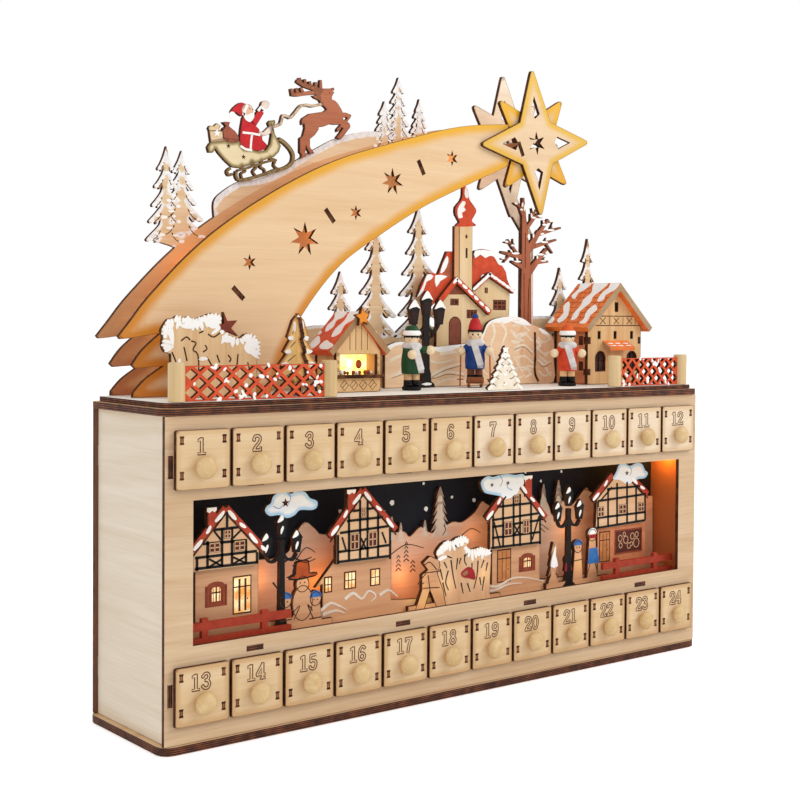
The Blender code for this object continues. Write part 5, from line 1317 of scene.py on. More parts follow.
def gabled(part, cx, y0, y1, half, eave, apex, roof_over, roof_apex, roof_half, roof_eave, cuts):
    """Four walls and two roof boards, the roof's upper faces in finish 3."""
    gable = [(cx - half, 0.0), (cx + half, 0.0), (cx + half, eave), (cx, apex), (cx - half, eave)]
    part.slab([up(gable)], [up(o) for o in cuts], y0, y0 + PLY, pitch=3.0)
    part.slab([up(gable)], (), y1 - PLY, y1, pitch=6.0)
    for x in (cx - half, cx + half - PLY):
        part.slab([rect(y0 + PLY, GROUND, y1 - PLY, GROUND + eave)], (), x, x + PLY, "YZ", 5, 1, 4.0)
    boards = [bar((cx - side * 1.6, roof_apex), (cx + side * roof_half, roof_eave), ROOF_THICK) for side in (-1, 1)]
    part.coat([up(o) for o in boards], y0 - roof_over[0], y1 + roof_over[1], 4, 3)


def roof_plane(cx, side, apex, half, eave, y0):
    """The origin at the ridge, the way down the slope and the way across of a roof board's upper face."""
    a, b = Vector((cx - side * 1.6, 0.0, apex + GROUND)), Vector((cx + side * half, 0.0, eave + GROUND))
    down = (b - a).normalized()
    across, out = Vector((0.0, 1.0, 0.0)), Vector((-down.z, 0.0, down.x))
    if out.z < 0:
        out = -out
    origin = a + out * ROOF_THICK / 2
    origin.y = y0
    return origin, down, across, (b - a).length, out


def make_stall(look):
    """The market stall: red roof with brushed snow, planked gable, lit counter with goods and an orange star."""
    cx = -0.28 * PLATE_HALF
    y0, y1 = -6.0, 20.0
    part = Part()
    gabled(part, cx, y0, y1, 19.0, 28.0, 53.0, (2.0, 2.0), 54.2, 24.5, 27.0, [rect(cx - 16, 12.0, cx + 16, 26.0)])
    part.slab([rect(cx - 20, y0 - 3.0, cx + 20, y0 + 1.0)], (), GROUND + 9.6, GROUND + 12.0, "XY", 4, 1)
    part.slab([rect(cx - 18.6, y0 + 3.0, cx + 18.6, y1 - 3.0)], (), GROUND + 9.6, GROUND + 11.4, "XY", 0, 1)
    for x in (-7.6, -2.6, 2.4, 7.4):
        part.ribbon(up([(cx + x, 29.0), (cx + x, 51.0 - abs(x) * 1.35)]), 0.45, y0 - 0.06, y0 + 0.05, 1)
    for x0 in (-16.0, -8.0, 0.0, 8.0):
        diamond = [(cx + x0 + 4, 1.2), (cx + x0 + 7.4, 4.8), (cx + x0 + 4, 8.4), (cx + x0 + 0.6, 4.8)]
        part.ribbon(up(diamond), 0.5, y0 - 0.06, y0 + 0.05, 1, closed=True)
        part.ribbon(up([(cx + x0 + 2.2, 3.0), (cx + x0 + 5.8, 6.6)]), 0.4, y0 - 0.06, y0 + 0.05, 1)
    sign = star(cx, 52.0, 5, 7.0, 3.2, 96.0)
    part.coat([up(sign)], y0 - 5.0, y0 - 1.9, 6, 1, 2.0)
    dice = random.Random(6)
    for i in range(9):
        x, r = cx - 13.5 + i * 3.4, dice.uniform(1.1, 1.7)
        part.ball((x, y0 + 1.8 + (i % 3), GROUND + 12.0 + r), (r, r, r * dice.uniform(0.9, 1.3)), 8 if i % 4 else 2, 10)
    part.block3((cx - 15.4, y0 + 12.0, GROUND + 11.5), (cx + 15.4, y0 + 13.0, GROUND + 27.0), 7)
    part.ball((cx - 4.0, y0 + 6.0, GROUND + 20.0), (2.4, 2.4, 3.4), 9, 12)
    part.ball((cx + 4.6, y0 + 6.5, GROUND + 19.0), (2.2, 2.2, 3.2), 8, 12)
    dabs = traces("""
        0 1 0 14 6 15 9 10 15 12 20 8 14 4 8 6; 0 18 0 29 8 29 13 24 21 26 25 20 17 17 9 20; 24 3 30 1 36 2 36 8
        31 11 27 8; 28 17 33 14 36 18 36 27 32 29 30 23; 19 0.5 23 1.5 21 4""")
    for side in (-1, 1):
        origin, down, across, length, out = roof_plane(cx, side, 54.2, 24.5, 27.0, y0 - 2.0)
        if down.cross(across).dot(out) < 0:
            origin, across = origin + across * (y1 - y0 + 4.0), -across
        streaks(part, origin, down, across, length, y1 - y0 + 4.0, dabs, 2)
    finishes = [wood(), burnt(), snow_paint(), paint("roof_red_paint", "E65E2E", "CC4C22", scorch=False), wood(),
                wood(), paint("stall_star", "F0962A", "DE7D18"), lamp_light("stall_glow", "FFD23A", 1.6),
                paint("goods_brown", "B4572E", "8E3C20", scorch=False), lamp_light("stall_candle", "FFF2A0", 2.2)]
    piece("dressed_market_stall", part, finishes, stands_for=["market_stall"])


def make_house(look):
    """The house at the right, with an orange snowy roof, engraved timber marks, arched windows and an awning."""
    cx = 0.782 * PLATE_HALF
    y0, y1 = -10.0, 28.0
    slits = [rect(cx + x, 39.5 - 3.4, cx + x + 3.0, 39.5 + 2.6) for x in (-19.4, -1.2, 18.0)]
    slits.append(rect(cx - 0.2, 57.8, cx + 3.6, 65.2))
    w, low, high = 5.2, 10.6, 26.0
    arches = [[(x - w, low), (x + w, low)] + ring(x, high - w, w, w, 10, 0, 180) for x in (cx - 16.4, cx + 19.8)]
    part = Part()
    gabled(part, cx, y0, y1, 30.5, 45.0, 78.0, (6.0, 4.0), 79.2, 36.0, 43.5, slits + arches)
    front = y0 - 0.07
    near = Layer(part, front, y0 + 0.05)
    for z, a, b in ((54.2, -17.0, 27.0), (46.7, -23.0, 30.0)):
        near.line(up([(cx + a + 1, z), (cx + b - 1, z)]), 0.7, 0.0)
    for x in (-13.8, 1.6, 16.8):
        for sign in (-1, 1):
            near.line(up([(cx + x - 3.2, 50.4 - sign * 2.6), (cx + x + 3.2, 50.4 + sign * 2.6)]), 0.6, 0.0)
    for x in (-6.2, 9.2, 23.6):
        near.line(up([(cx + x, 47.2), (cx + x, 53.6)]), 0.5, 0.0)
    for low_z, high_z in ((32.0, 37.6), (7.4, 12.3)):
        for x in (cx - 30.5, cx + 27.0):
            part.coat([up(rect(x, low_z, x + 3.2, high_z))], front, y0 + 0.1, 1)
        part.patch([(y0 + 0.5, low_z + GROUND), (y0 + 4.6, low_z + GROUND), (y0 + 4.6, high_z + GROUND),
                    (y0 + 0.5, high_z + GROUND)], Vector((cx - 30.5, 0, 0)), Vector((0, 1, 0)), Vector((0, 0, 1)), -0.1,
                   0.0, 1)
    for o in arches:
        line = up(o)
        part.ribbon(line, 0.9, y0 - 0.5, y0 + 0.1, 1, closed=True)
        part.coat([line], y0 + PLY - 0.6, y0 + PLY - 0.1, 6)
        x = (o[0][0] + o[1][0]) / 2
        part.ribbon(up([(x, 10.8), (x, 25.6)]), 0.6, y0 + 1.0, y0 + PLY, 1)
        part.ribbon(up([(x - 5.0, 19.0), (x + 5.0, 19.0)]), 0.6, y0 + 1.0, y0 + PLY, 1)
    left = Vector((cx - 30.5, 0.0, GROUND))
    for y, z in trace("-2.4 34.6 -2.6 14.4 12 14.4 12 34.6"):
        part.patch(rect(y - 2.4, z - 3.6, y + 2.4, z + 3.6), left, Vector((0, 1, 0)), Vector((0, 0, 1)), -0.1, 0.08, 1)
        part.patch(rect(y - 1.6, z - 2.8, y + 1.6, z + 2.8), left, Vector((0, 1, 0)), Vector((0, 0, 1)), 0.0, 0.12, 6)
    awning = moved(trace("-9 27 0.6 32 0.6 35 -9 29.4"), y0, GROUND)
    part.slab([awning], (), cx - 14.0, cx + 14.0, "YZ", 4, 3)
    dabs = traces("""
        0 20 0 34 8 33 16 29 24 31 33 27 41 29 44 25 36 22 27 23 20 21 12 24 6 21; 0 38 0 47 9 47 14 42 20 43 22
        38 13 36 6 39; 0 4 0 15 7 14 12 9 19 10 15 4 7 6; 22 6 28 4 36 10 44 9 47 14 40 17 31 13; 26 38 34 35 43
        38 47 36 47 43 38 42 31 44; 40 1 47 0.5 47 5 42 4""")
    for side in (-1, 1):
        origin, down, across, length, out = roof_plane(cx, side, 79.2, 36.0, 43.5, y0 - 6.0)
        if down.cross(across).dot(out) < 0:
            origin, across = origin + across * 48.0, -across
        for k in range(1, 9):
            part.patch(rect(length * k / 9 - 0.2, 0.2, length * k / 9 + 0.2, 47.8), origin, down, across, -0.1, 0.14, 7)
            for j in range(8):
                y = 3.0 + j * 6.0 - 3.0 * (k % 2)
                part.patch(rect(length * (k - 1) / 9 + 0.2, max(y, 0.3), length * k / 9, max(y, 0.3) + 0.35), origin,
                           down, across, -0.1, 0.12, 7)
        streaks(part, origin, down, across, length, 48.0, dabs, 2)
    for y, z in ((-17.4, 30.6), (-14.0, 32.4)):
        for x in (-9.0, -1.0, 8.0):
            part.ball((cx + x, y, z + GROUND), (3.2, 1.6, 0.6), 2, 10)
    barge = board("barge_birch", "EDD3A8", "DDB985", 0, 0.6)
    side_wood = board("house_side_wood", "D28C60", "B87048", 1, 0.62)
    finishes = [wood(), burnt(), snow_paint(), paint("roof_orange_paint", "F88A40", "E4702E", scorch=False), barge,
                side_wood, paint("window_dusk", "6E5A58", "4A3C40", roughness=0.3, scorch=False),
                paint("shingle_line", "A8481E", "8E3A16", scorch=False)]
    piece("dressed_village_house", part, finishes, stands_for=["village_house"])


def make_church(look):
    """The church in layers: cream hall, brown gable, red snowy roofs, tower with its onion dome, and the nave."""
    row = 31.5
    part = Part()
    hall = trace("33.4 0 85.3 0 85.3 56.5 51.7 80.9 45 75 34.1 64")
    nave = trace("65.4 0 106.6 0 108.2 72.7 84.2 86 69 76 65.4 60")
    nave_roof = lobe(trace("""
        71.7 104.1 88.2 104.7 94.5 99.9 98.8 94.5 104.1 88.4 105.4 82.8 110.7 72.7 105.3 74.2 95.8 81.1 85.3
        85.5 79.1 85.4 71 73.6 65.9 76.6 68.9 88.6"""), 2)
    hall_roof = lobe(trace("15.2 67.3 24.2 84.8 36 84.6 52.7 83.9 39.9 70.7 33.1 65.3 29.3 60.7 26.3 65.2 21.4 70.2"),
                     2)
    dormer = trace("33.9 82.7 43.6 102.5 50.5 102.7 58.7 83.3")
    adds = [(0, hall), (0, nave), (3, nave_roof), (3, hall_roof), (3, dormer),
            (4, trace("39.8 82.9 46.6 97.5 53.7 83.2"))]
    part.slab([(k, up(o)) for k, o in adds], (), row, row + PLY, pitch=3.0)
    front = row - 0.07
    near = Layer(part, front, row + 0.05)
    door = [(46.2, 30.0), (58.0, 30.0)] + ring(52.1, 46.4, 5.9, 6.2, 12, 0, 180)
    dark = [rect(47.4, 61.8, 55.4, 66.3), rect(64.0, 52.0, 74.0, 58.0), rect(82.3, 71.5, 84.9, 75.5),
            rect(91.0, 58.6, 104.2, 66.0), door]
    for o in dark:
        near.coat([up(o)], 0.0, 4)
        part.ribbon(up(o), 0.7, row - 0.12, row + 0.05, 1, closed=True)
    near.coat([up(trace("39.9 69.6 51.7 79.7 64.9 70"))], 0.0, 4)
    for x0, z0, x1, z1, columns, rows in trace("91 58.6 104.2 66 3 2 64 52 74 58 3 1 47.4 61.8 55.4 66.3 2 1", 6):
        wide, tall = (x1 - x0 - 0.9) / columns, (z1 - z0 - 0.9) / rows
        for c in range(columns):
            for r in range(rows):
                x, z = x0 + 0.9 + c * wide, z0 + 0.9 + r * tall
                part.coat([up(rect(x, z, x + wide - 0.9, z + tall - 0.9))], row - 0.14, row, 1)
    for z in (6.0, 12.0, 18.0, 24.0, 30.0, 36.0, 42.0, 48.0):
        near.line(up([(88.0, z), (105.8, z)]), 0.3, 0.0, 4)
    tower = trace("49.5 81.6 67 68.8 66.9 122.7 48.8 121.9")
    dome = lobe(trace("""
        50.2 121.6 53.8 125.1 49.9 130.3 49.7 136.3 54.6 141.2 56.6 145.9 56.8 152 59.5 152.9 62 149.7 63.6
        143.2 66.2 140.3 70.3 135.9 70.3 132.9 66.8 128.1 66.9 125.8 70.4 122.9"""), 2)
    # The strip at the tower's left is painted shade: darker wood than the tower's front.
    back = trace("48.9 82 54 78.2 53.6 122.1 48.8 121.9")
    part.slab([(0, up(tower)), (5, up(back)), (3, up(dome))], (), row - 2.4, row + 0.2, pitch=2.5)
    part.ribbon(up([(54.0, 79.0), (53.6, 122.0)]), 0.6, row - 2.46, row - 2.3, 1)
    for o in (ring(60.9, 114.4, 1.1, 1.6, 12), rect(60.2, 97.9, 62.1, 105.5)):
        part.coat([up(o)], row - 2.46, row - 2.3, 1)
    for path, wide in (([(34.8, 64.4), (51.7, 81.6)], 4.6), ([(50.6, 81.6), (85.6, 56.0)], 4.6),
                       ([(68.6, 74.0), (85.0, 86.0)], 3.6), ([(84.0, 86.0), (110.2, 73.0)], 3.6)):
        part.coat([up(bar(path[0], path[1], wide))], row - 2.9, row + 0.3, 3, 1, 3.0)
        lean = math.degrees(math.atan2(path[1][1] - path[0][1], path[1][0] - path[0][0]))
        dabs = []
        for i in range(5 if path[0][0] < 40.0 else 0, 6):
            share = 0.08 + i * 0.165
            x, z = (path[0][k] + (path[1][k] - path[0][k]) * share for k in (0, 1))
            dabs.append(up(dab(x, z + 0.4, 3.2, 1.3, lean, i)))
        part.coat(dabs, row - 3.2, row - 2.7, 2, 2)
    white = traces("""
        14.9 67.3 20.4 76.4 24.2 84.4 30 83.4 27.1 80.3 23.3 78.7 20.4 71.9; 32 84 43.8 83.5 36.9 79.8 33 75.1;
        36.8 85.8 39.7 93.5 43.6 98.9 44.6 94.4 40.8 87.5; 71.7 104.1 88.2 104.5 96.4 98.4 99.4 93.6 95.6 94.4
        91.4 99.8 86.2 100.4 82 98.7 76.9 101.2 71.8 98.3""")
    for o in white:
        part.coat([up(lobe(o, 2))], row - 0.5, row + 0.1, 2, 2)
    for o in traces("""
        52.7 128.1 51.6 134.9 56.6 141.3 59.6 140 57.7 136.8 59.7 134.6 55.7 132.1 56.7 129.1; 58.4 147 59.4
        152.2 61.4 149.2 62.4 144.6 60 143.8"""):
        part.coat([up(lobe(o, 2))], row - 2.85, row - 2.3, 2, 2)
    cream = board("church_cream", "EACFA4", "DCB884", 2, 0.6)
    finishes = [cream, burnt(), snow_paint(), paint("church_red", "DA4F26", "C03E1C"),
                paint("church_brown", "BA6444", "A05034"), board("tower_painted_shade", "DFA878", "CC9262", 2, 0.6)]
    piece("dressed_church", part, finishes, stands_for=["church"])


def make_nature(look):
    """The bare tree and the banks of snow with their rock."""
    cx, row = 0.536 * PLATE_HALF, 32.0
    limbs = [bar((cx, 0), (cx, 92), 13.0, 10.4), bar((cx, 86), (cx - 2, 124), 10.4, 6.4),
             bar((cx - 2, 120), (cx - 4, 148), 6.2, 2.2)]
    pairs = [((ax, az), (bx, bz), w, t) for ax, az, bx, bz, w, t in trace("""
        0 86 22 108 7 2.6 10 97 24 98 3.6 1.6 -1 92 -16 97 5 1.6 -1 100 -27 104 5 1.8 -8 101 -20 114 3.2 1.4 0
        104 14 122 6.6 4 13 120 24 132 4 1.8 6 109 33 116 3.6 1.5 14 120 38 126 3.2 1.4 -2 122 12 136 4 1.6 -3
        132 -9 143 2.8 1.3 6 130 9 139 2.4 1.2 22 112 29 105 2 1.1 -18 102 -24 96 2 1.1""", 6)]
    limbs += [bar((cx + a[0], a[1]), (cx + b[0], b[1]), w, t) for a, b, w, t in pairs]
    dice, twigs = random.Random(4), []
    for a, b, w, t in pairs:
        way = Vector(b) - Vector(a)
        for k, share in enumerate((0.5, 0.82)):
            turn = math.atan2(way.y, way.x) + (0.7 if (way.x > 0) == (k == 0) else -0.7) * dice.uniform(0.8, 1.2)
            start, long = Vector(a) + way * share, dice.uniform(5.0, 8.0)
            end = start + Vector((math.cos(turn), math.sin(turn))) * long
            if end.y > start.y - 1.0:
                limbs.append(bar((cx + start.x, start.y), (cx + end.x, end.y), 1.9, 1.1))
                twigs.append(dab(cx + start.x * 0.3 + end.x * 0.7, start.y * 0.3 + end.y * 0.7 + 0.5, long * 0.3, 0.8,
                                 math.degrees(turn), k, 8))
    dabs = trace("""
        15 103.5 3.6 0.9 -12 103.4 4.4 0.9 -10 97 3.4 0.8 19 113.6 5 0.8 26 123.6 5 0.8 7 132.6 2.6 0.8 19 127.6
        2.4 0.9 18 98.4 3.4 0.7 -15 109.6 2.2 0.8 -6 138.4 1.6 0.8 -2.8 140 0.8 3 2 117 1.4 2.4""", 4)
    white = [blob(cx + x, z, rx, rz, i, 10) for i, (x, z, rx, rz) in enumerate(dabs)] + twigs
    lines = [moved(trace("-3.4 8 -2.2 50 -2.6 88"), cx), moved(trace("2.8 4 2.2 60 3.2 84"), cx),
             [(cx, 20), (cx + 0.6, 40)], [(cx - 1.4, 92), (cx - 1.6, 120)]]
    part = cutout(row, limbs, (), white, [smooth(p, 3) for p in lines], pitch=2.5, line=0.7)
    bark = board("bare_tree_bark", "BC6E4C", "9A5034", 2, 0.75)
    piece("dressed_bare_tree", part, [bark, burnt(), snow_paint()], stands_for=["bare_tree"])

    left, row = -0.085 * PLATE_HALF, 24.8
    ridge = smooth(trace("0 30 14 34 38 30 62 31 82 33 94 39 101 49 118 53 136 52 150 44 162 38 171 34"), 4)
    body = moved([(0, 0)] + ridge + [(171, 0)], left)
    crest = [(x, z) for x, z in moved(ridge, left)]
    cap = crest + [(x, z - 3.6 - 1.6 * math.sin(x * 0.21)) for x, z in crest[::-1]]
    rock = lobe(trace("114 46 126 47.5 140.6 42.5 150.4 36 150.8 20 150.8 1 128 1 116 12 113 30"), 3)
    swirls = traces("""
        -16 20 0 25 16 22 30 18 44 20; -14 9 6 13 24 8 40 11 56 9; 31.9 24.6 46.6 25.9 54.6 24.4; 24.3 8.9 36.9
        13.9 53.7 17.5; 84 49 87 40 83 30 88 18 86 8; 93 49 99 41 95 31 101 20 98 9; -6 14 8 18 22 13; 60 26 68
        28 76 26; 62 19 70 21 78 18; 30 3 44 6 58 3; 64 9 72 12 80 8; 106 46 115 47 124 42; 109 38 118 40 127
        34; 108 29 118 31 127 25; 110 21 119 22 128 16; 108 12 118 13 127 7; 133 37 138 33 146 35; 133 28 140 24
        148 26; 133 19 139 15 148 18; 134 10 141 6 149 9""")
    carved = [(4, stroke(smooth(o, 4), 2.6 if i < 8 else 1.9, 1.2)) for i, o in enumerate(swirls)]
    slot = stroke(smooth(trace("129.6 41 130.2 22 130 9 134 1.5"), 4), 2.4)
    white = [lobe(o, 2) for o in traces("104 49.6 116 50 126 46.4 116 46.6; 133 44.4 139 43 146 38.6 138 39.6")]
    patches = [(4, dab(dice.uniform(104.0, 149.0), dice.uniform(5.0, 40.0), dice.uniform(2.6, 6.0),
                       dice.uniform(0.8, 1.5), dice.uniform(-50.0, 30.0), i)) for i in range(26)]
    lines = [[(x, z - 1.8) for x, z in smooth(o, 4)] for o in (swirls[1], swirls[3], swirls[13], swirls[18])]
    part = cutout(row, [body], [(2, cap), (3, rock), *carved, *patches, (1, slot)], white, lines, pitch=4.0, line=0.35)
    finishes = [board("hill_wood", "F6D4AE", "E8C098", 0, 0.62), burnt(), snow_paint(),
                board("rock_tan", "F2CCA6", "DEB288", 2, 0.7), paint("carved_cream", "F8E8D2", "EAD6BC")]
    piece("dressed_snow_hills", part, finishes, stands_for=["snow_hills"])


def make_lamp(look):
    """The black three-armed street lamp with snow on its heads."""
    cx, row = 0.062 * PLATE_HALF, 19.0
    shapes = [moved(trace("-8 0 8 0 7.4 2.4 4.4 4.6 4 10 2.8 14 2.3 60 -2.3 60 -2.8 14 -4 10 -4.4 4.6 -7.4 2.4"), cx)]
    caps = []
    heads = ((cx, 56.0), (cx - 12.0, 49.4), (cx + 12.4, 49.4))
    for x, z in heads:
        shapes.append(moved(trace("-2.8 -2.6 2.8 -2.6 4.8 8.8 -4.8 8.8"), x, z))
        shapes.append(moved(trace("-5.6 8.6 5.6 8.6 1 15.6 -1 15.6"), x, z))
        caps.append(lobe(moved(trace("-5.4 8.8 -3 12.6 0 15.9 3 12.6 5.4 8.8 2 10.4 -2 9.8"), x, z), 2))
    for side in (-1, 1):
        shapes.append(stroke(smooth([(cx + side * 12.0, 47.4), (cx + side * 8.6, 42.4), (cx + side * 4.6, 42.0),
                                     (cx, 46.4)], 4), 2.0))
        shapes.append(stroke(smooth([(cx + side * 1.0, 36.0), (cx + side * 5.6, 38.0), (cx + side * 6.2, 41.6)], 4),
                             1.4))
    shapes.append(ring(cx, 28.0, 2.8, 2.0, 12))
    panes = [moved(trace("-1.9 -1.2 1.9 -1.2 3.2 7.4 -3.2 7.4"), x, z) for x, z in heads]
    part = cutout(row, shapes, (), caps + [blob(cx, 2.6, 5.0, 1.0, 3)], pitch=3.0)
    for o in panes:
        part.coat([up(o)], row - 0.12, row + 0.05, 3)
    piece("dressed_street_lamp", part, [paint("lamp_black", "0C0807", "070505", scorch=False), burnt(), snow_paint(),
                                        paint("lamp_pane", "120D0B", "0C0807", roughness=0.3)],
          stands_for=["street_lamp"])


def make_figures(look):
    """Three turned carol figures with coats, scarves and hats; the one in blue stands on a sled with ski poles."""
    skin = paint("face_birch", "F2DCB8", "EACFA4", roughness=0.45, scorch=False)
    hair = paint("hair_black", "1C1512", "120C0A", scorch=False)
    knit = paint("scarf_wool", "E4E0DC", "C4BEBC", roughness=0.9, scorch=False, sheen=0.4)
    plinth = paint("plinth_black", "0E0A09", "090706", scorch=False)
    sled = board("sled_wood", "BE6A38", "9E4E26", 0)
    looks = {"green": ("1F4E2C", "173C21", "1F4E2C", "173C21"), "blue": ("1E4490", "16326C", "CA2828", "A81E1E"),
             "orange": ("DE4A28", "BE3820", "E4622A", "C84E1E")}
    legs = {"green": ("DDB688", "C69C6C"), "blue": ("8A5238", "6E3E2A"), "orange": ("F0CA96", "DCB27C")}
    for name, (x, y), foot, toward in (("green", (-17.8, -4.0), 2.6, -14.0), ("blue", (52.3, 8.0), 4.5, -38.0),
                                       ("orange", (127.9, -14.0), 2.6, -36.0)):
        coat, coat_dark, hat, hat_dark = looks[name]
        part = Part()
        base = GROUND + foot
        if name == "blue":
            for side in (-1, 1):
                runner = smooth(moved(trace("-9.6 7.4 -11 4.6 -9 1.4 -5 0.8 9 0.8"), y), 4)
                part.slab([up(stroke(runner, 1.5))], (), x + side * 4.8 - 0.8, x + side * 4.8 + 0.8, "YZ", 8, 8)
                part.limb((x + side * 11.4, y - 6.0, GROUND + 0.6), (x + side * 10.8, y - 3.6, GROUND + 31.0), 0.6, 0.6,
                          8)
                part.turned(trace("0 0 0.01 2.6 0.8 2.6 0.81 0"), (x + side * 11.3, y - 5.6, GROUND + 5.4), "Z", 16, 8)
            part.block3((x - 6.2, y - 8.6, GROUND + 2.8), (x + 6.2, y + 8.6, GROUND + 4.5), 8)
            part.slab([up(stroke(smooth(moved(trace("-8.2 3.6 -10.4 4.6 -9.8 7.6"), y), 4), 1.6))], (), x - 6.2,
                      x + 6.2, "YZ", 8, 8)
        else:
            part.turned([(0.0, 6.4), (0.4, 6.9), (foot - 0.4, 6.9), (foot, 6.4), (foot + 0.01, 0.0)], (x, y, GROUND),
                        "Z", 28, 7)
        for side in (-1, 1):
            part.limb((x + side * 3.0, y, base - 0.2), (x + side * 3.0, y, base + 10.5), 2.8, 2.9, 6)
            part.limb((x + side * 3.0, y - 0.2, base - 0.1), (x + side * 3.0, y - 0.2, base + 4.6), 3.3, 3.0, 7)
            part.ball((x + side * 3.0, y - 2.4, base + 1.2), (2.6, 3.0, 1.5), 7, 12)
        at = (x, y, base)
        part.turned(trace("9.4 0 9 6.6 9.6 7.3 16 7.6 22 7.2 26.5 6.2 29 4.4 29.4 0"), at, "Z", 32, 0)
        part.turned(trace("25.8 3.8 26.4 6.4 28 7.3 29.8 7.1 31.2 5.8 31.6 3"), at, "Z", 28, 5)
        tail = moved(trace("1.6 11.4 6.2 12.8 1.2 29.4 -3.8 29"), x, base)
        part.coat([tail], y - 8.6, y - 6.2, 5, 5)
        for k in range(5):
            part.block3((x + 1.7 + k * 0.9, y - 8.5, base + 9.9), (x + 2.2 + k * 0.9, y - 7.9, base + 12.6), 5)
        part.ball((x, y, base + 34.6), (5.4, 5.4, 5.4), 3, 24)
        part.ball((x, y + 1.1, base + 35.8), (5.6, 5.3, 5.2), 4, 24)
        for side in (-1, 1):
            part.ball((x + side * 2.0, y - 5.0, base + 35.0), (0.7, 0.5, 0.8), 4, 8)
            part.ball((x + side * 3.3, y - 4.3, base + 33.2), (1.0, 0.4, 0.7), 9, 8)
        part.ball((x, y - 5.4, base + 34.0), (0.6, 0.6, 0.6), 3, 8)
        if name == "blue":
            part.turned(trace("36.9 4.4 37 5.6 38.5 5.7 38.6 5"), at, "Z", 28, 4)
            part.turned(trace("38.3 5.4 42 4.8 45.6 3.5 47.4 2 47.5 0"), at, "Z", 28, 1)
            part.ball((x, y, base + 48.4), (2.5, 2.5, 2.3), 0, 14)
        else:
            part.turned(trace("34.9 4.6 35 5.7 37 5.9 37.1 4.6"), at, "Z", 28, 4)
            part.turned(trace("36.6 4.6 36.4 5.8 37.4 6.5 39.2 6.3 40 5.2 40.1 3.4"), at, "Z", 28, 2)
            top = 44.0 if name == "green" else 45.8
            part.turned([(39.2, 5.4), (41.0, 5.0), (43.0, 3.8), (top - 0.5, 1.8), (top, 0.0)], at, "Z", 28, 1)
        hands = trace("-4 -9.8 23 12 -6 26" if name == "green" else "-10.6 -3.6 22.6 10.6 -3.6 22.6", 3)
        for side, (dx, dy, dz) in zip((-1, 1), hands):
            part.limb((x + side * 5.0, y - 0.6, base + 26.0), (x + dx * 0.86, y + dy * 0.9, base + dz + 0.6), 2.8, 2.2,
                      0)
            part.ball((x + dx, y + dy, base + dz), (3.4, 3.4, 3.4), 3, 18)
        spin = Matrix.Rotation(math.radians(toward), 3, "Z")
        part.points = [spin @ (Vector(p) - Vector((x, y, 0.0))) + Vector((x, y, 0.0)) for p in part.points]
        finishes = [paint(name + "_coat", coat, coat_dark, roughness=0.5, scorch=False),
                    paint(name + "_hat", hat, hat_dark, roughness=0.5, scorch=False), snow_paint(), skin, hair, knit,
                    paint(name + "_trousers", *legs[name], scorch=False), plinth, sled,
                    paint("cheek_rose", "E8A08A", "DC8C76", scorch=False)]
        piece(f"dressed_figurine_{name}", part, finishes, stands_for=[f"figurine_{name}"])


# The lit street behind the window, in millimetres from the middle and from the table

BEAMS = trace("""
    -207.9 113.6 -163.1 113.6 -202.3 121.8 -170.5 121.3 -195.3 129.9 -176.5 130.1 -207.9 106.8 -162.3 106.4
    -199.2 123.4 -199.1 106.5 -188.8 130.6 -188.7 106.6 -181.6 130.6 -181.5 107.2 -171.3 120.8 -171.2 106.7
    -206.5 113.5 -206.5 105.4 -163.1 112.9 -163 105.9 -194.5 129.2 -189.5 123.1 -180.8 123.5 -175 128.1 -198 112
    -188.7 106.6 -188.7 111.1 -198 107 -180.8 111.5 -171.2 106.7 -171.2 111.2 -180.7 107.1 -185.2 140.4 -185.2
    130.9 -98.3 119.3 -57.2 120.4 -87.7 133.1 -70.1 133.8 -92.6 126.8 -62.4 127 -99.8 106.7 -57.1 107.3 -99.8
    100 -57 99.7 -99.9 118.1 -99.8 98.6 -91 131.4 -90.8 100.4 -81.9 140.1 -81.6 100.8 -75.6 139.6 -75.3 100.9
    -66.7 130.8 -66.4 100 -56.3 118.9 -56.1 97.5 -96.6 116.4 -93.3 107.4 -63.2 116.8 -59.7 108.9 -80.9 114.3
    -76.6 106.4 -76.7 113.9 -80.8 106.8 41.8 125.7 75.6 126 37 116.5 84.9 117.8 37.1 111.4 85 112.5 37.2 103.4
    85.1 103.5 36.3 96.2 85.2 95.9 38 120.1 38.2 96 47.6 130.3 48 95.8 58 132.5 58.4 95.5 64.4 133.5 64.9 94.9
    75.6 129.7 76 95.3 84.9 117 85.2 94.4 39 114.9 45 96.8 83.9 115.6 77 98.2 58.7 111 64.8 103.1 64.7 110.5
    58.8 103.6 156.6 130.7 194.2 130.5 146.7 122.1 200.2 123.6 145.8 108.9 200.4 109.2 144.8 101.2 200.5 102.7
    146.7 122.1 147 101 157.7 130.7 158.1 101.6 167.7 134.7 168.2 102.3 179.1 134.7 179.6 102.9 189.6 130.8 190
    102.8 200.1 124.5 200.5 102.7 150 122.6 162.1 131.9 187.2 132.6 196.6 124.7""", 4)
ROOFS = traces("""
    -209.4 118.1 -186 142.9; -186 142.9 -154.8 110.8; -106.4 117.3 -79.5 146.7; -79.5 146.7 -51.1 117.1; 32.2
    117.7 50.5 136; 64.4 141 91.2 113.5; 141.2 123.3 163.1 141.3; 184.8 137.5 203.7 123.4""")
SMALL_WINDOWS = trace("""
    -198.1 115.6 -190.2 122 -180.1 115.1 -172 121.6 -187.4 123.7 -182.3 129.2 -90 107 -82.5 117.8 -75 107.6
    -67.4 117.8 -81 128.2 -76.8 134.6 48.8 103.8 56.8 114.1 67.7 103.7 73.9 114 58.5 126.9 63.5 133.2 146.2
    109.5 153.5 117.5 170.3 109.8 178.4 117.5 192.1 110.1 199.2 117.4""", 4)
CHIMNEYS = trace("-199.6 129.7 -192.8 144 -92.7 132.3 -85.6 147.7 68.3 131.1 76.6 146.6", 4)
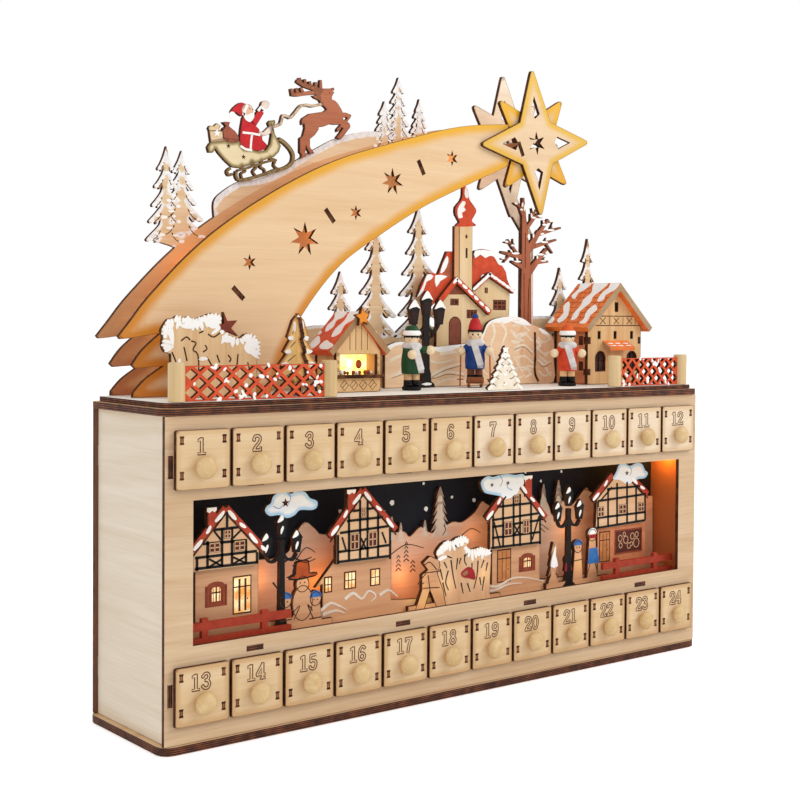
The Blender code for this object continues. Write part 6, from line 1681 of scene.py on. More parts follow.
CLOUDS = traces("""
    -157.2 138.7 -155.7 141.8 -152.7 143.5 -151.2 147.3 -146.6 150.2 -141.3 150.4 -137.4 148.2 -133.5 149.9
    -126.5 148.7 -122.5 144.5 -116.9 142.1 -116.9 138.1 -120.9 136.5 -130.3 137.2 -134.2 134.3 -140.4 132.8
    -146.5 135.3 -153.4 135.2; 26.1 142.8 27.1 146.4 32.8 148.9 37.7 147.9 44.5 148.9 52.3 149.1 60.3 147.9 67.3
    148.2 70.4 144.3 68.4 140.7 64.4 138.7 61.4 133.7 51.5 130.8 44.6 133.5 33.9 135.8 29.1 137.6; 163.2 138.1
    165.4 141.9 167.6 144.9 169.8 148.7 175.5 150 182.4 147.2 189.3 149.2 196.3 147.9 199.9 142.9 203.4 140.3
    200 136.5 191.8 136.2 186 134.2 179.1 133.1 171.1 136.8""")
LOW_WINDOWS = trace("-109 79.7 -102.4 90.5 -92.7 80.1 -82.6 92.1 -70.9 79.9 -62.3 91.8", 4)
SHUTTERS = [(-199.1, 80.9, -183.2, 96.7), (66.7, 74.6, 83.2, 88.3)]
DOORS = trace("-178.2 75 -166.2 97.5 45.8 69.9 57.9 92.6 152.3 74 162.7 96.3", 4)


def chamber(height):
    """A height in the chamber, from 0 at its floor to 100 at its ceiling."""
    return 58.6 + height * 0.996


def arched(x0, z0, x1, z1, rise):
    return [(x0, z0), (x1, z0)] + ring((x0 + x1) / 2, z1 - rise, (x1 - x0) / 2, rise, 10, 0, 180)


def lantern(cx):
    """The street lamp's silhouette with its snow, from the chamber's floor."""
    foot = chamber(0)
    shapes = [moved(trace("-8.6 0 8.6 0 4.2 3.6 2.4 12 1.7 60 -1.7 60 -2.4 12 -4.2 3.6"), cx, foot)]
    snow = []
    for x, z in ((cx, 62.0), (cx - 11.6, 51.0), (cx + 11.6, 51.0)):
        z += foot
        shapes += [moved(trace("-2.2 0 2.2 0 3.8 9.6 -3.8 9.6"), x, z), moved(trace("-4.6 9.4 4.6 9.4 0 15.4"), x, z)]
        snow += [lobe(moved(trace("-4 10 -0.8 14.6 0.8 12 -1 10.4"), x, z), 3),
                 lobe(moved(trace("-1.2 2 0.8 5.6 0.2 7.4 -1.4 5"), x, z), 3)]
    for side in (-1, 1):
        shapes.append(stroke(smooth([(cx + side * 11.6, foot + 50.6), (cx + side * 8.6, foot + 46.6),
                                     (cx + side * 3.6, foot + 48.0), (cx, foot + 54.0)], 4), 1.6))
    return shapes, snow


def make_street(look):
    """The village street: four half-timbered houses, clouds, lamps, snowman, children, walker and snowy bush."""
    low, high = node_box("diorama_village")
    wall_row, row = high.y - PLY, low.y
    wall_face, face = wall_row - 0.06, row - 0.06
    floor = low.z
    part = Part()
    far = Layer(part, wall_face, wall_row)
    near = Layer(part, face, row + 0.05)
    sunk = Layer(part, face, row)
    walls = []
    for middle, half, foot_z, top in trace("-183.1 23 107 140 -76 23.4 102 141 64 24 98 139 177 27 104 138", 4):
        walls.append([(middle - half, floor), (middle + half, floor), (middle + half, foot_z + 8.0), (middle, top),
                      (middle - half, foot_z + 8.0)])
    lean = [(-116.0, 84.0), (-98.0, 103.0), (-98.0, floor), (-110.0, floor), (-110.0, 86.0)]
    crest = trace("""
        -226 66 -190 67.4 -158 69 -150 66 -120 67 -96 67.5 -60 69 -36 67 0 66 40 67.4 90 67 130 66 180 67.2 226
        66.5""")
    bank = [(-226.0, floor)] + smooth(crest, 4) + [(226.0, floor)]
    part.slab(walls + [lean, bank], (), wall_row, wall_row + PLY, pitch=3.0)
    shop = trace("149.6 73 204.2 72 204.2 102 149.6 101")
    part.coat([shop], wall_face, wall_row + 0.1, 13, 1, 3.0)
    for x0, z0, x1, z1 in DOORS:
        far.coat([rect(x0 - 0.9, z0 - 0.9, x1 + 0.9, z1 + 0.9)], 0.05)
        far.coat([rect(x0, z0, x1, z1)], 0.12, 10 if x0 > 0 else 8)
        middle = (x0 + x1) / 2
        for x in (middle - 1.9, middle + 1.9) if x0 > 0 else (middle - 2.0, middle + 2.4):
            far.line([(x, z0 + 1.0), (x, z1 - 1.0)], 0.5 if x0 > 0 else 1.5, 0.18, 9)
        far.line([(x0, z1 - 6.0), (x1, z1 - 6.0)], 0.8, 0.18, 9)
        far.coat([ring(x1 - 2.0, z0 + 8.5, 0.5, 0.5, 8)], 0.25)
    for x0, z0, x1, z1 in SHUTTERS:
        outline = arched(x0 + 1.5, z0 + 1.5, x1 - 1.5, z1, 3.0)
        far.coat([rect(x0, z0, x1, z1 - 2.4), outline], 0.1, 7)
        inner = (x0 + 4.8, z0 + 3.4, x1 - 4.8, z1 - 3.4)
        far.coat([arched(*inner, 1.6)], 0.16, 8)
        middle = (x0 + x1) / 2
        far.line([(middle, inner[1]), (middle, inner[3])], 1.0, 0.22, 9)
        for side in (-1.9, 1.9):
            far.line([(middle + side * 1.15, inner[1]), (middle + side * 1.15, inner[3] - 0.8)], 0.5, 0.2, 9)
        far.line([(inner[0], (inner[1] + inner[3]) / 2 + 1.0), (inner[2], (inner[1] + inner[3]) / 2 + 1.0)], 0.9, 0.22,
                 9)
        for x in (x0 + 1.2, x0 + 3.6, x1 - 3.6, x1 - 1.2):
            far.line([(x, z0 + 1.0), (x, z1 - 3.4)], 0.35, 0.18)
    for x0, z0, x1, z1 in LOW_WINDOWS:
        far.coat([rect(x0, z0, x1, z1)], 0.08, 9)
        columns = 3 if x1 - x0 > 9.0 else 2
        pane = (x1 - x0 - 1.6) / columns
        for c in range(columns):
            for r in range(2):
                x, z = x0 + 0.8 + c * pane, z0 + 0.9 + r * (z1 - z0 - 1.2) / 2
                far.coat([rect(x + 0.35, z, x + pane - 0.35, z + (z1 - z0 - 1.2) / 2 - 0.7)], 0.14, 8, 9)
    far.coat([rect(169.2, 78.3, 199.5, 96.3)], 0.1, 9)
    far.line(rect(169.2, 78.3, 199.5, 96.3), 1.3, 0.5, 7, closed=True)
    for i, (x, z, r) in enumerate(trace("""
        175 90 2.2 175.6 84.4 1.8 181.4 88.4 2.6 185 83.4 2 189 90.6 2.2 193.6 85 3.2 194 91.6 1.8 179.6 93 1.4
        188 84.6 1.4""", 3)):
        far.line(ring(x, z, r, r * 1.15, 12), 0.55, 0.2, 4, closed=True)
    swirls = traces("""
        -112 68 -104 72.4 -97 70 -90 66; -92 73.6 -85 77 -78 72.4 -72 77 -66 73 -70 69.4; -63 73 -55 75.6 -47
        70; 17 70 30 70.6 44 66.6 60 71 76 69.6 93 65; -110 65.4 -100 67 -92 64.4; 24 67 40 64 56 67 70 66.4""")
    for o in swirls:
        far.line(smooth(o, 4), 2.3, 0.35, 16, tip=0.6)

    houses = traces("""
        -209.2 104.8 -161.7 104.8 -161.7 115.6 -186 141 -209.2 117; -101 98.4 -55.6 98.2 -55.6 120.6 -79.5 145.2
        -101 121.6; 35.4 94.8 86 94.4 86 119 64.4 141 56 142 35.4 119.4; 144.4 100 201.4 101.4 201.4 126 184.8
        137.5 163.1 140 145.6 124""")
    roofs = [bar(a, b, 5.2) for a, b in ROOFS]
    flues = [rect(*c) for c in CHIMNEYS]
    bush = smooth(trace("""
        -14.3 76 -13.5 92.5 -15.4 97.6 -11.8 102.2 -6.3 105.3 -0.8 104.8 4.8 107.1 12.3 107.1 15.1 103.3 13.4
        99.6 18 97 25.7 97.9 32.4 95.8 36.3 92.5 35.6 74.4"""), 3)
    bush = [(-13.6, floor)] + bush + [(35.6, floor)]
    walker = [(-27.1, 91.8), (-20.8, 96.1), (-12.6, 92.4), (-11.7, 88.0), (-14.3, 83.4), (-8.7, 70.7), (-5.9, floor),
              (-14.1, floor), (-18.7, 68.3), (-20.6, 72.1), (-25.9, floor), (-33.9, floor), (-27.8, 72.9),
              (-27.9, 83.4), (-22.5, 86.4)]
    tree = fir(99.5, floor + 2.0, 34.0, 6.6, 4, 1.2, 2.4)
    front_hat = lobe(trace("-139 93.4 -132 92 -118 93 -117 95 -122.8 95.4 -123.4 103.4 -132.8 103 -133.4 95.6"), 2)
    front = [(0, rect(-150.0, floor, -104.0, 63.4)), (0, rect(-40.0, floor, 46.0, 62.6)),
             (0, rect(92.0, floor, 160.0, 63.6)), (15, bush), (0, walker), (0, tree)]
    front += [(4, o) for o in houses] + [(3, o) for o in flues + roofs]
    front += [(0, ring(-128.0, 76.0, 8.2, 12.0, 24)), (0, ring(-128.0, 88.4, 5.4, 5.6, 18)), (14, front_hat),
              (0, ring(-128.0, 64.0, 9.0, 8.0, 16))]
    for x, z, look_at in trace("-141 79 11 -117.6 77.6 11 125.4 88.6 11 141 96 2", 3):
        front.append((0, [(x - 5.8, floor), (x + 5.8, floor), (x + 3.6, z - 3.4), (x - 3.6, z - 3.4)]))
        front.append((0, ring(x, z, 4.6, 4.9, 16)))
        front.append((look_at, [(x - 4.9, z + 1.0), (x + 4.9, z + 1.0)] + ring(x, z + 1.0, 4.9, 4.6, 10, 0, 180)))
    front.append((12, trace("136.6 93.6 146 93.6 145.4 96.4 137 96.4")))
    front.append((11, trace("136 74 149 74 146.4 86 137.6 86")))
    front.append((12, trace("111.6 71 119.6 71 117.6 79 112.6 79")))
    front.append((5, ring(115.0, 79.6, 3.4, 3.2, 12)))
    drifts = []
    for cx in (-143.8, 116.0):
        shapes, snow = lantern(cx)
        front += [(5, o) for o in shapes]
        drifts += snow
    front += [(6, lobe(o, 3)) for o in CLOUDS]
    part.coat(front, row, row + 3.1, 0, 1, 3.0)
    for x0, z0, x1, z1 in BEAMS:
        near.coat([bar((x0, z0), (x1, z1), 1.7 if abs(x1 - x0) < 1.0 or abs(z1 - z0) < 1.6 else 1.25)], 0.25, 5, 5)
    for a, b in ROOFS:
        count, lean = max(2, int(math.dist(a, b) / 11.0)), math.degrees(math.atan2(b[1] - a[1], b[0] - a[0]))
        spots = [(0.14 + i / count, i) for i in range(count)]
        near.coat([dab(a[0] + (b[0] - a[0]) * t, a[1] + (b[1] - a[1]) * t + (0.5 if i % 2 else -0.2),
                       3.2 if i % 2 else 4.4, 1.2 if i % 2 else 1.5, lean + (5 if i % 2 else -3), i) for t, i in spots],
                  0.3, 2, 2)
        near.line([(a[0] + (0.8 if a[0] > b[0] else 0.0), a[1] - 3.2), (b[0], b[1] - 3.2)], 1.2, 0.2)
    for x0, z0, x1, z1 in CHIMNEYS:
        near.coat([[(x0, z1 - 2.4), (x0, z1), (x1, z1), (x1, z1 - 1.8), (x1 - 1.6, z1 - 3.0), (x1 - 2.8, z1 - 1.9),
                    (x0 + 1.6, z1 - 3.2)]], 0.3, 2, 2)
        near.line([(x0 + 0.5, z0), (x0 + 0.5, z1 - 2.0)], 0.9, 0.1)
    for x0, z0, x1, z1 in SMALL_WINDOWS:
        near.coat([rect(x0, z0, x1, z1)], 0.3, 9)
        middle, level = (x0 + x1) / 2, (z0 + z1) / 2
        sunk.line(rect(x0 + 0.5, z0 + 0.5, x1 - 0.5, z1 - 0.5), 0.75, 0.4, 4, closed=True)
        sunk.line([(middle, z0), (middle, z1)], 0.75, 0.4, 4)
        sunk.line([(x0, level), (x1, level)], 0.75, 0.4, 4)
    for x, z, r in trace("-141.6 142.7 3.2 36.7 142.1 1.8 52.4 142.5 1.8 179 141.8 2.2", 3):
        near.coat([star(x, z, 5, r, r * 0.42)], 0.05)
    for path in traces("""
        -141 150 -137.6 146 -139.6 141.4; -151 141.4 -146.4 139.4 -143.6 141.8; 44 149 47 144.6 44.6 140.4; 56.6
        137 52.4 139 50.8 143; 182 147 184.2 143 181.6 139.2"""):
        near.line(smooth(path, 4), 0.45, 0.04, 11, tip=0.3)
    for o in drifts:
        near.coat([o], 0.25, 2, 2)
    near.coat(snow_rim(bush[4:-3], 7.0, 1.7, 2), 0.3, 2, 2)
    marks = traces("""
        -8 90.5 -5.2 85.9; -1.6 91.3 0.4 80.3 3.2 70.3; 7.7 91.8 5.9 87.6; 18.1 87.1 18.2 82; 23.9 88.2 23 77.9
        20.1 68.3; 29.6 88.1 26.8 82.6; -5.3 94.5 -0.7 92.6; 1.1 101.7 5.8 99.1; 10.5 92.9 14.3 94.7; -9 76 -6
        66; 8 74 10 66; 30 76 28 66; -4 84 -6.4 76 -3.6 70; 12.6 96 11 90 13 86; 33 86 31.6 80; 4.6 92 3.4 84;
        25.6 76 27 70; 14 73 16.6 66.4; -11.6 86 -9 78""")
    for path in marks:
        near.line(smooth(path, 3), 1.2, 0.06, 5, tip=0.7)
    near.coat([lobe(trace("7.8 81 12.5 84.1 16.3 84.4 20.1 81.1 21.1 75 15.4 76.4 9.7 77.9"), 3)], 0.3, 12, 12)
    sunk.coat([lobe(trace("9 80.6 13 82.4 14 80 10.6 78.8"), 3)], 0.4, 0, 0)
    sketch = [ring(-128.0, 76.0, 7.7, 11.5, 24), ring(-128.0, 88.4, 5.0, 5.2, 18), walker,
              ring(-141.0, 79.0, 4.3, 4.6, 16), ring(-117.6, 77.6, 4.3, 4.6, 16), ring(125.4, 88.6, 4.3, 4.6, 16),
              ring(141.0, 96.0, 4.3, 4.6, 16)]
    for o in sketch:
        near.line(o, 0.55, 0.05, closed=True)
    near.line(front_hat, 0.8, 0.06, 5, closed=True)
    lines = traces("""
        -26.2 89.6 -20.8 91.8 -14.4 85.5; -20.6 72.1 -22.5 82.8; -26.5 84.6 -11.6 84.5; -26 77.6 -31.4 77.5
        -24.5 84; -27 74 -12 73; -136 101 -131 103.6 -125 102.4 -118 104; -133 92 -122 92.6; -136 70 -130 74.6
        -134.6 66; -120 70 -124 74.6 -119.6 65; -146 66 -136.6 66.4; -122.6 64.6 -112.8 65; 120.6 78 130 78.4;
        135.6 66 138.6 74; 147 66 144 74""")
    for path in lines:
        near.line(smooth(path, 3), 0.7, 0.06)
    for path, width in ((trace("-142 104.6 -136 106.6 -129 104 -121 105.4"), 1.4),
                        (trace("-139 93 -132 91.8 -118 92.8"), 1.3), (trace("-134.6 94 -135.4 98 -133 103.6"), 1.6),
                        (trace("-151 92 -147 87 -145 84"), 1.2)):
        near.line(smooth(path, 3), width, 0.1, 5, tip=0.6)
    for x, z in trace("-129.8 89.4 -126.4 89.4 -142.4 78.4 -139.8 78.2 -119 77.2 -116.2 77 124 88 126.8 88 139.6 95"):
        near.coat([ring(x, z, 0.5, 0.5, 8)], 0.1)
    sunk.coat([lobe(trace("96.4 76 99 86 101.6 92 101.6 84 104 76"), 2)], 0.25, 2, 2)
    # Painted lamplight: the street's wood glows amber near the lamp spots listed below.
    amber = ("E87A20", "FFC85A", look.glow * 0.35)
    tan = board("street_wood", "DCAA80", "C89068", 0, 0.62, glow=amber)
    gable = board("gable_wood", "E6BE96", "D6A67A", 0, 0.62, glow=amber)
    finishes = [tan, burnt(), snow_paint(), paint("street_roof_red", "C0482E", "A2381F"), gable,
                paint("timber_black", "0A0706", "060404", scorch=False),
                board("cloud_paint", "F8F8F6", "E8EDF2", 0, 0.6, scorch=False,
                      airbrush=("AFD2EA", "9CC6E4", 3.0, 130.0, 152.0)),
                paint("shutter_brown", "9E4A30", "843820", scorch=False), lamp_light("window_light", "EE9A3C", 0.38),
                paint("pane_brown", "5E2618", "481A10", scorch=False),
                paint("door_ochre", "D08A50", "B8703C", scorch=False),
                paint("hat_blue", "3A7CC0", "2C64A4", scorch=False), paint("hat_red", "B2242A", "951A20", scorch=False),
                paint("shop_brown", "DC8C60", "C8784C", scorch=False),
                paint("snowman_hat", "C2561E", "A04216", scorch=False),
                board("street_bush_wood", "E8C49E", "D6A67C", 2, 0.62, glow=amber),
                paint("drift_cream", "F0E4D6", "DCCBB8", scorch=False)]
    lamps = [(x, row, z) for x, z in trace("""
        -153 82 -127.6 97 -113 90 -36.7 72 -31 84 31 78 -6 74 127.5 76 133.6 97 -25 65.5""")]
    piece("dressed_diorama_village", part, finishes, stands_for=["diorama_village"], lamps=lamps, reach=9.0)


def make_sky(look):
    """Pale hills in orange lamplight, the night sky with its dots of snow, the rails and the strip of lamps."""
    low, high = node_box("diorama_hills")
    row, floor = low.y, low.z
    ridge = smooth(trace("""
        -232 110 -200 118 -165 106 -130 104 -121 117 -112.6 125.5 -104 120 -96 115.6 -60 119 -40 112 -28 111.6
        -22.7 107.4 -12.8 113.6 -2.5 108.1 16.2 114.5 25.8 113.6 38.3 120 45.1 127.4 52 124 80 112 99.1 108.9
        105.3 122.8 112.6 121 118.2 110.6 127.8 121.5 138.7 117.4 154 130 162 125 200 120 232 118"""), 3)
    hills = [(-233.0, floor)] + ridge + [(233.0, floor)]
    trees = [fir(*row_of) for row_of in trace("""
        -45.4 108 20 4.4 4 1 2.6 -39 106 17 4 4 1 2.4 -31 104 14 3.4 3 1 2 5 104 37 10 6 1.6 3 108 114 22 5.4 3
        1.4 2.4 124 112 26 6.4 4 1.4 2.6 -9 106 12 3.6 3 1 2""", 7)]
    part = Part()
    part.coat([hills] + [(3, o) for o in trees], row, row + PLY, 0, 1, 5.0)
    for path in traces("""
        -120 100 -112 108 -104 104; 20 100 34 108 44 104; -40 96 -26 102 -10 98; 90 98 102 106 114 100; 9.1 113
        10.1 109 7.3 105.5; 100.3 110.1 104.6 102.9 110 98.6; -158 105 -155.8 99.5 -151.3 96.5 -149.7 91; -52.2
        112.7 -48.7 107.5 -45.2 105.1 -43.6 106.4"""):
        part.ribbon(smooth(path, 4), 0.9, row - 0.06, row + 0.05, 1, tip=0.5)
    for cx, z, rows in trace("-33 84 4 -26 90 5 -20 82 3", 3):
        for k in range(rows):
            part.ribbon([(cx - 2.4 + k * 0.3, z + k * 3.0), (cx, z + 2.0 + k * 3.0), (cx + 2.4 - k * 0.3, z + k * 3.0)],
                        0.9, row - 0.06, row + 0.05, 1)
    # Painted lamplight: the far hills glow near the lamp spots below.
    amber = ("D8601C", "F8A048", look.glow * 0.16)
    hill = board("far_hill_wood", "F0CCB0", "DEB090", 0, 0.65, glow=amber)
    lamps = [(x, row, z) for x, z in trace("-102 92 -112 84 -150 84 -30 76 -8 86 38 100 54 110 128 96 136 110 138 86")]
    piece("dressed_diorama_hills", part, [hill, burnt(), snow_paint(),
                                          board("far_fir_wood", "EADCCB", "D6BFA8", 2, 0.65)],
          stands_for=["diorama_hills"], lamps=lamps, reach=16.0)

    low, high = node_box("sky_backdrop")
    part = Part()
    part.block3((low.x, low.y, low.z), (high.x, high.y, high.z), 0)
    for x, z, r in trace("""
        -36.5 132.1 1.9 -5.6 125.4 1.7 40.1 128.4 1.6 -81.5 130 1.3 18.8 132.2 1.2 -47.1 119.5 1.2 -118 140 1.3
        108 138 1.2 -8 144 1.1 92 146 1.2 -60 150 1.1 130 144 1.1""", 3):
        part.coat([blob(x, z, r, r, int(x), 10)], low.y - 0.12, low.y + 0.05, 1)
    night = paint("night_sky_print", "11141F", "0A0C14", roughness=0.7, size=30.0, scorch=False)
    piece("dressed_sky_backdrop", part, [night, snow_paint()], stands_for=["sky_backdrop"])
    rail = paint("rail_red", "B03C22", "96301A", scorch=False)
    for name in ("diorama_fence_left", "diorama_fence_right"):
        dress(name, rail, slot="red_paint")

    low, high = node_box("light_strip")
    count = 24
    strip = bpy.data.meshes.new("strip_ends")
    strip.from_pydata([(low.x * MM, (low.y + 3.0) * MM, (high.z - 3.6) * MM),
                       (high.x * MM, (low.y + 3.0) * MM, (high.z - 3.6) * MM)], [(0, 1)], [])
    tree, names = row_tree()
    lens = lamp_light("strip_lens", "FFD27A", 5.0)
    lamps = grown("strip_lamps", strip, tree, names, {"Count": count, "Radius": 0.0024, "Depth": 0.0022}, lens)
    part = Part()
    part.block3((low.x, low.y, high.z - 2.9), (high.x, high.y, high.z), 0)
    for i in range(count):
        x = low.x + (high.x - low.x) * (i + 0.5) / count
        part.block3((x + 5.0, low.y + 1.6, high.z - 3.2), (x + 7.0, low.y + 3.0, high.z - 2.8), 1)
    piece("dressed_light_strip", part, [plastic("strip_plastic", "E9E2CF", "DAD2BC"),
                                        plastic("strip_chip", "2C2620", "1E1A16")], stands_for=["light_strip"])
    warm = trace("""
        226 -24 152 0.03 -150 -17 92 0.005 -104 -17 84 0.005 -32 -17 80 0.005 34 -17 104 0.0022 132 -17 100
        0.003 -60 26 330 0.01 -170 26 290 0.01 60 26 386 0.008""", 4)
    for i, (x, y, z, power) in enumerate(warm):
        light = bpy.data.lights.new(f"warm_lamp_{i}", "POINT")
        light.energy, light.shadow_soft_size = power * look.lamp_power, 0.008
        light.color = rgb("FFC050" if i == 0 else "FFA040")[:3]
        new_object(f"warm_lamp_{i}", light).location = Vector((x, y, z)) * MM


def row_tree():
    """Sets a short round lens on every point of an evenly divided line."""
    tree = bpy.data.node_groups.new("row_of_lenses", "GeometryNodeTree")
    names = interface(tree, [
        ("Geometry", "NodeSocketGeometry", None), ("Count", "NodeSocketInt", 24), ("Radius", "NodeSocketFloat", 0.0025),
        ("Depth", "NodeSocketFloat", 0.002), ("Material", "NodeSocketMaterial", None)])
    given = tree.nodes.new("NodeGroupInput").outputs
    curve = add(tree, "GeometryNodeMeshToCurve", {"Mesh": given["Geometry"]})
    spots = add(tree, "GeometryNodeResampleCurve", {"Curve": curve, "Count": given["Count"]})
    lens = add(tree, "GeometryNodeMeshCylinder", {"Vertices": 16, "Radius": given["Radius"], "Depth": given["Depth"]})
    many = add(tree, "GeometryNodeInstanceOnPoints", {"Points": spots, "Instance": lens.outputs["Mesh"]})
    whole = add(tree, "GeometryNodeRealizeInstances", {"Geometry": many})
    done = add(tree, "GeometryNodeSetMaterial", {"Geometry": whole, "Material": given["Material"]})
    tree.links.new(done.outputs[0], tree.nodes.new("NodeGroupOutput").inputs[0])
    return tree, names


def make_power(look):
    """Grained black plastic for the battery box, its cover and the switch."""
    dress("battery_box", plastic("box_plastic", "2A2A2B", "1E1E20"), slot="black_plastic")
    dress("battery_cover", plastic("cover_plastic", "303032", "242426", 0.5), slot="black_plastic")
    dress("power_switch", plastic("switch_plastic", "1A1A1B", "101011", 0.35), slot="black_plastic")


# Stage

# The photo's camera: its place in millimetres, and where its right, its foot and its lens point
EYE = (-640.4726, -795.2345, 262.7128)
RIGHT = Vector((0.7795632, -0.62628447, 0.0069988))
DOWN = Vector((-0.00929708, -0.02274423, -0.99969809))
AHEAD = Vector((0.62625456, 0.77926277, -0.02355318))


def make_stage(look):
    """White floor, soft light and the camera at the photo's angle."""
    floor, tree, shader, spot = start("floor_white", 0.9)
    tone = add(tree, "ShaderNodeMix", {"Factor": fleck(tree, spot, 300.0), "A": rgb("FFFFFF"), "B": rgb("FAFAFA")},
               data_type="RGBA")
    tree.links.new(tone.outputs[2], shader.inputs["Base Color"])
    shader.inputs["Specular IOR Level"].default_value = 0.0
    shader.inputs["Emission Color"].default_value = rgb("FFFFFF")
    lift = add(tree, "ShaderNodeMath", {0: add(tree, "ShaderNodeLightPath").outputs["Is Camera Ray"],
                                        1: look.floor_lift}, operation="MULTIPLY")
    tree.links.new(lift.outputs[0], shader.inputs["Emission Strength"])
    mesh = bpy.data.meshes.new("floor")
    mesh.from_pydata([(-6, -6, -0.0005), (6, -6, -0.0005), (6, 6, -0.0005), (-6, 6, -0.0005)], [], [(0, 1, 2, 3)])
    mesh.materials.append(floor)
    new_object("floor", mesh)

    world = bpy.data.worlds.new("studio")
    bpy.context.scene.world = world
    world.use_nodes = True
    tree = world.node_tree
    tree.nodes.clear()
    path = add(tree, "ShaderNodeLightPath")
    soft = add(tree, "ShaderNodeBackground", {"Color": rgb("FFFFFF"), "Strength": look.sky_level})
    white = add(tree, "ShaderNodeBackground", {"Color": rgb("FFFFFF"), "Strength": 1.0})
    either = add(tree, "ShaderNodeMixShader", {0: path.outputs["Is Camera Ray"], 1: soft, 2: white})
    add(tree, "ShaderNodeOutputWorld", {"Surface": either})

    for name, place, size, power in (("key", (1.25, -1.15, 1.2), 0.9, look.key_power),
                                     ("fill", (-1.6, -0.9, 0.9), 1.4, look.fill_power)):
        light = bpy.data.lights.new(name, "AREA")
        light.energy, light.size = power, size
        lamp = new_object(name, light)
        lamp.location = place
        lamp.rotation_euler = (Vector((0, 0, 0.2)) - Vector(place)).to_track_quat("-Z", "Y").to_euler()

    camera = bpy.data.cameras.new("photo_camera")
    camera.sensor_width, camera.lens = 36.0, 63.308
    camera.shift_x, camera.shift_y = -0.0327, -0.0602
    camera.clip_start, camera.clip_end = 0.05, 30.0
    shooter = new_object("photo_camera", camera)
    turn = Matrix((RIGHT, -DOWN, -AHEAD)).transposed().to_4x4()
    shooter.matrix_world = Matrix.Translation(Vector(EYE) * MM) @ turn
    bpy.context.scene.camera = shooter
    bpy.context.scene.view_settings.view_transform = "Standard"


def tint(name, description, code):
    return bpy.props.FloatVectorProperty(name=name, description=description, default=rgb(code)[:3], min=0.0, max=1.0,
                                         subtype="COLOR")


class ArchLooks(bpy.types.PropertyGroup):
    """What a user may change before the pieces are made."""
    drawer_light: tint("Drawer light", "Colour of the drawer fronts' pale wood", "E6CAA2")
    drawer_dark: tint("Drawer dark", "Colour of the drawer fronts' darker fibres", "D8B688")
    panel_light: tint("Panel light", "Colour of the front panel's pale wood", "DCBF9C")
    panel_dark: tint("Panel dark", "Colour of the front panel's darker fibres", "C6A27C")
    # The lamp glow scales the painted lamplight: the glow of the wood near the lamps.
    glow: bpy.props.FloatProperty(
        name="Lamp glow", description="How strongly the lamps light the wood around them",
        default=0.7, min=0.0, max=5.0)
    lamp_power: bpy.props.FloatProperty(
        name="Lamp power", description="How strongly the small lamps light the wood around them",
        default=1.0, min=0.0, max=10.0)
    floor_lift: bpy.props.FloatProperty(
        name="Floor lift", description="How much whiter the camera sees the floor, which keeps its shadow",
        default=0.42, min=0.0, max=2.0)
    sky_level: bpy.props.FloatProperty(
        name="Studio light", description="Even white light from all round",
        default=0.75, min=0.0, max=3.0)
    key_power: bpy.props.FloatProperty(
        name="Key light", description="Power of the soft light at the front right",
        default=13.0, min=0.0, unit="POWER")
    fill_power: bpy.props.FloatProperty(
        name="Fill light", description="Power of the soft light at the left",
        default=5.5, min=0.0, unit="POWER")


class Step:
    """Runs one step with the looks that the panel shows."""
    bl_options = {"REGISTER", "UNDO"}

    def execute(self, context):
        self.make(context.scene.comet_arch)
        return {"FINISHED"}


class ARCH_OT_box(Step, bpy.types.Operator):
    """Puts plywood finishes on the box's panels, plates and racks"""
    bl_idname, bl_label = "comet_arch.box", "Box finishes"
    make = staticmethod(make_box)


class ARCH_OT_drawers(Step, bpy.types.Operator):
    """Makes the 24 numbered drawers with their knobs and trays"""
    bl_idname, bl_label = "comet_arch.drawers", "Drawers"
    make = staticmethod(make_drawers)


class ARCH_OT_comet_front(Step, bpy.types.Operator):
    """Makes the airbrushed front comet with its star-shaped holes"""
    bl_idname, bl_label = "comet_arch.comet_front", "Front comet"
    make = staticmethod(make_comet_front)


class ARCH_OT_star(Step, bpy.types.Operator):
    """Makes the four-pointed star on the front comet"""
    bl_idname, bl_label = "comet_arch.star", "Star"
    make = staticmethod(make_star)


class ARCH_OT_comet_back(Step, bpy.types.Operator):
    """Makes the lit rear comet with its firs, lamps and cross strips"""
    bl_idname, bl_label = "comet_arch.comet_back", "Rear comet"
    make = staticmethod(make_comet_back)


class ARCH_OT_sleigh(Step, bpy.types.Operator):
    """Makes Santa in the sleigh and the reindeer on its reins"""
    bl_idname, bl_label = "comet_arch.sleigh", "Santa sleigh"
    make = staticmethod(make_sleigh)


class ARCH_OT_fences(Step, bpy.types.Operator):
    """Makes the red lattice fences with their posts and scattered snow"""
    bl_idname, bl_label = "comet_arch.fences", "Garden fences"
    make = staticmethod(make_fences)


class ARCH_OT_trees_left(Step, bpy.types.Operator):
    """Makes the snowy bush, the crossed fir and the white fir"""
    bl_idname, bl_label = "comet_arch.trees_left", "Bush and firs"
    make = staticmethod(make_left_trees)


class ARCH_OT_stall(Step, bpy.types.Operator):
    """Makes the open market stall with its snowy red roof"""
    bl_idname, bl_label = "comet_arch.stall", "Market stall"
    make = staticmethod(make_stall)


class ARCH_OT_house(Step, bpy.types.Operator):
    """Makes the house at the right with its awning"""
    bl_idname, bl_label = "comet_arch.house", "Village house"
    make = staticmethod(make_house)


class ARCH_OT_church(Step, bpy.types.Operator):
    """Makes the layered church with its onion dome"""
    bl_idname, bl_label = "comet_arch.church", "Church"
    make = staticmethod(make_church)


class ARCH_OT_nature(Step, bpy.types.Operator):
    """Makes the bare tree and the banks of snow"""
    bl_idname, bl_label = "comet_arch.nature", "Tree and hills"
    make = staticmethod(make_nature)


class ARCH_OT_lamp(Step, bpy.types.Operator):
    """Makes the black street lamp"""
    bl_idname, bl_label = "comet_arch.lamp", "Street lamp"
    make = staticmethod(make_lamp)


class ARCH_OT_figures(Step, bpy.types.Operator):
    """Makes the three turned carol figures"""
    bl_idname, bl_label = "comet_arch.figures", "Figures"
    make = staticmethod(make_figures)


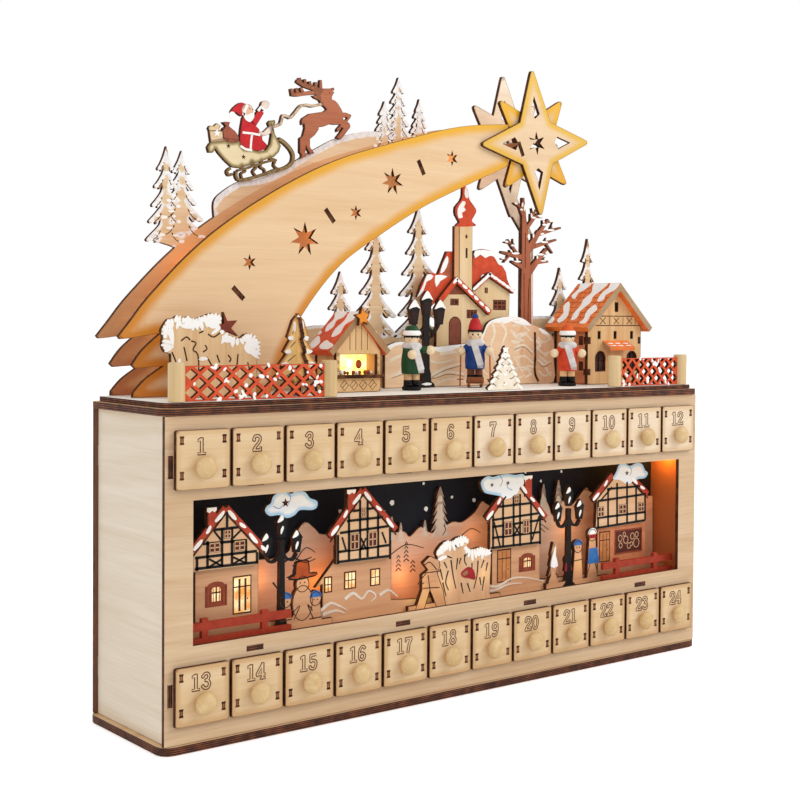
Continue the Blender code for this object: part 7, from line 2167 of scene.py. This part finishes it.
class ARCH_OT_street(Step, bpy.types.Operator):
    """Makes the half-timbered street behind the window"""
    bl_idname, bl_label = "comet_arch.street", "Lit street"
    make = staticmethod(make_street)


class ARCH_OT_sky(Step, bpy.types.Operator):
    """Makes the hills, the night sky, the rails, the strip of lamps and their light"""
    bl_idname, bl_label = "comet_arch.sky", "Sky and lamps"
    make = staticmethod(make_sky)


class ARCH_OT_power(Step, bpy.types.Operator):
    """Puts plastic finishes on the battery box, its cover and the switch"""
    bl_idname, bl_label = "comet_arch.power", "Battery parts"
    make = staticmethod(make_power)


class ARCH_OT_stage(Step, bpy.types.Operator):
    """Makes the white floor, the studio lights and the camera"""
    bl_idname, bl_label = "comet_arch.stage", "Stage"
    make = staticmethod(make_stage)


OPERATORS = (ARCH_OT_box, ARCH_OT_drawers, ARCH_OT_comet_front, ARCH_OT_star, ARCH_OT_comet_back, ARCH_OT_sleigh,
             ARCH_OT_fences, ARCH_OT_trees_left, ARCH_OT_stall, ARCH_OT_house, ARCH_OT_church, ARCH_OT_nature,
             ARCH_OT_lamp, ARCH_OT_figures, ARCH_OT_street, ARCH_OT_sky, ARCH_OT_power, ARCH_OT_stage)


class ARCH_PT_pieces(bpy.types.Panel):
    """Lists the steps in the order they are run"""
    bl_idname, bl_label = "ARCH_PT_pieces", "Comet arch calendar"
    bl_space_type, bl_region_type, bl_category = "VIEW_3D", "UI", "Comet arch"

    def draw(self, context):
        look = context.scene.comet_arch
        for name in ArchLooks.__annotations__:
            self.layout.prop(look, name)
        for step in OPERATORS:
            self.layout.operator(step.bl_idname)


def register():
    for kind in (ArchLooks, *OPERATORS, ARCH_PT_pieces):
        bpy.utils.register_class(kind)
    bpy.types.Scene.comet_arch = bpy.props.PointerProperty(type=ArchLooks)


def unregister():
    del bpy.types.Scene.comet_arch
    for kind in (ARCH_PT_pieces, *reversed(OPERATORS), ArchLooks):
        bpy.utils.unregister_class(kind)


def main():
    register()
    for step in OPERATORS:
        group, name = step.bl_idname.split(".")
        getattr(getattr(bpy.ops, group), name)()


if __name__ == "__main__":
    main()
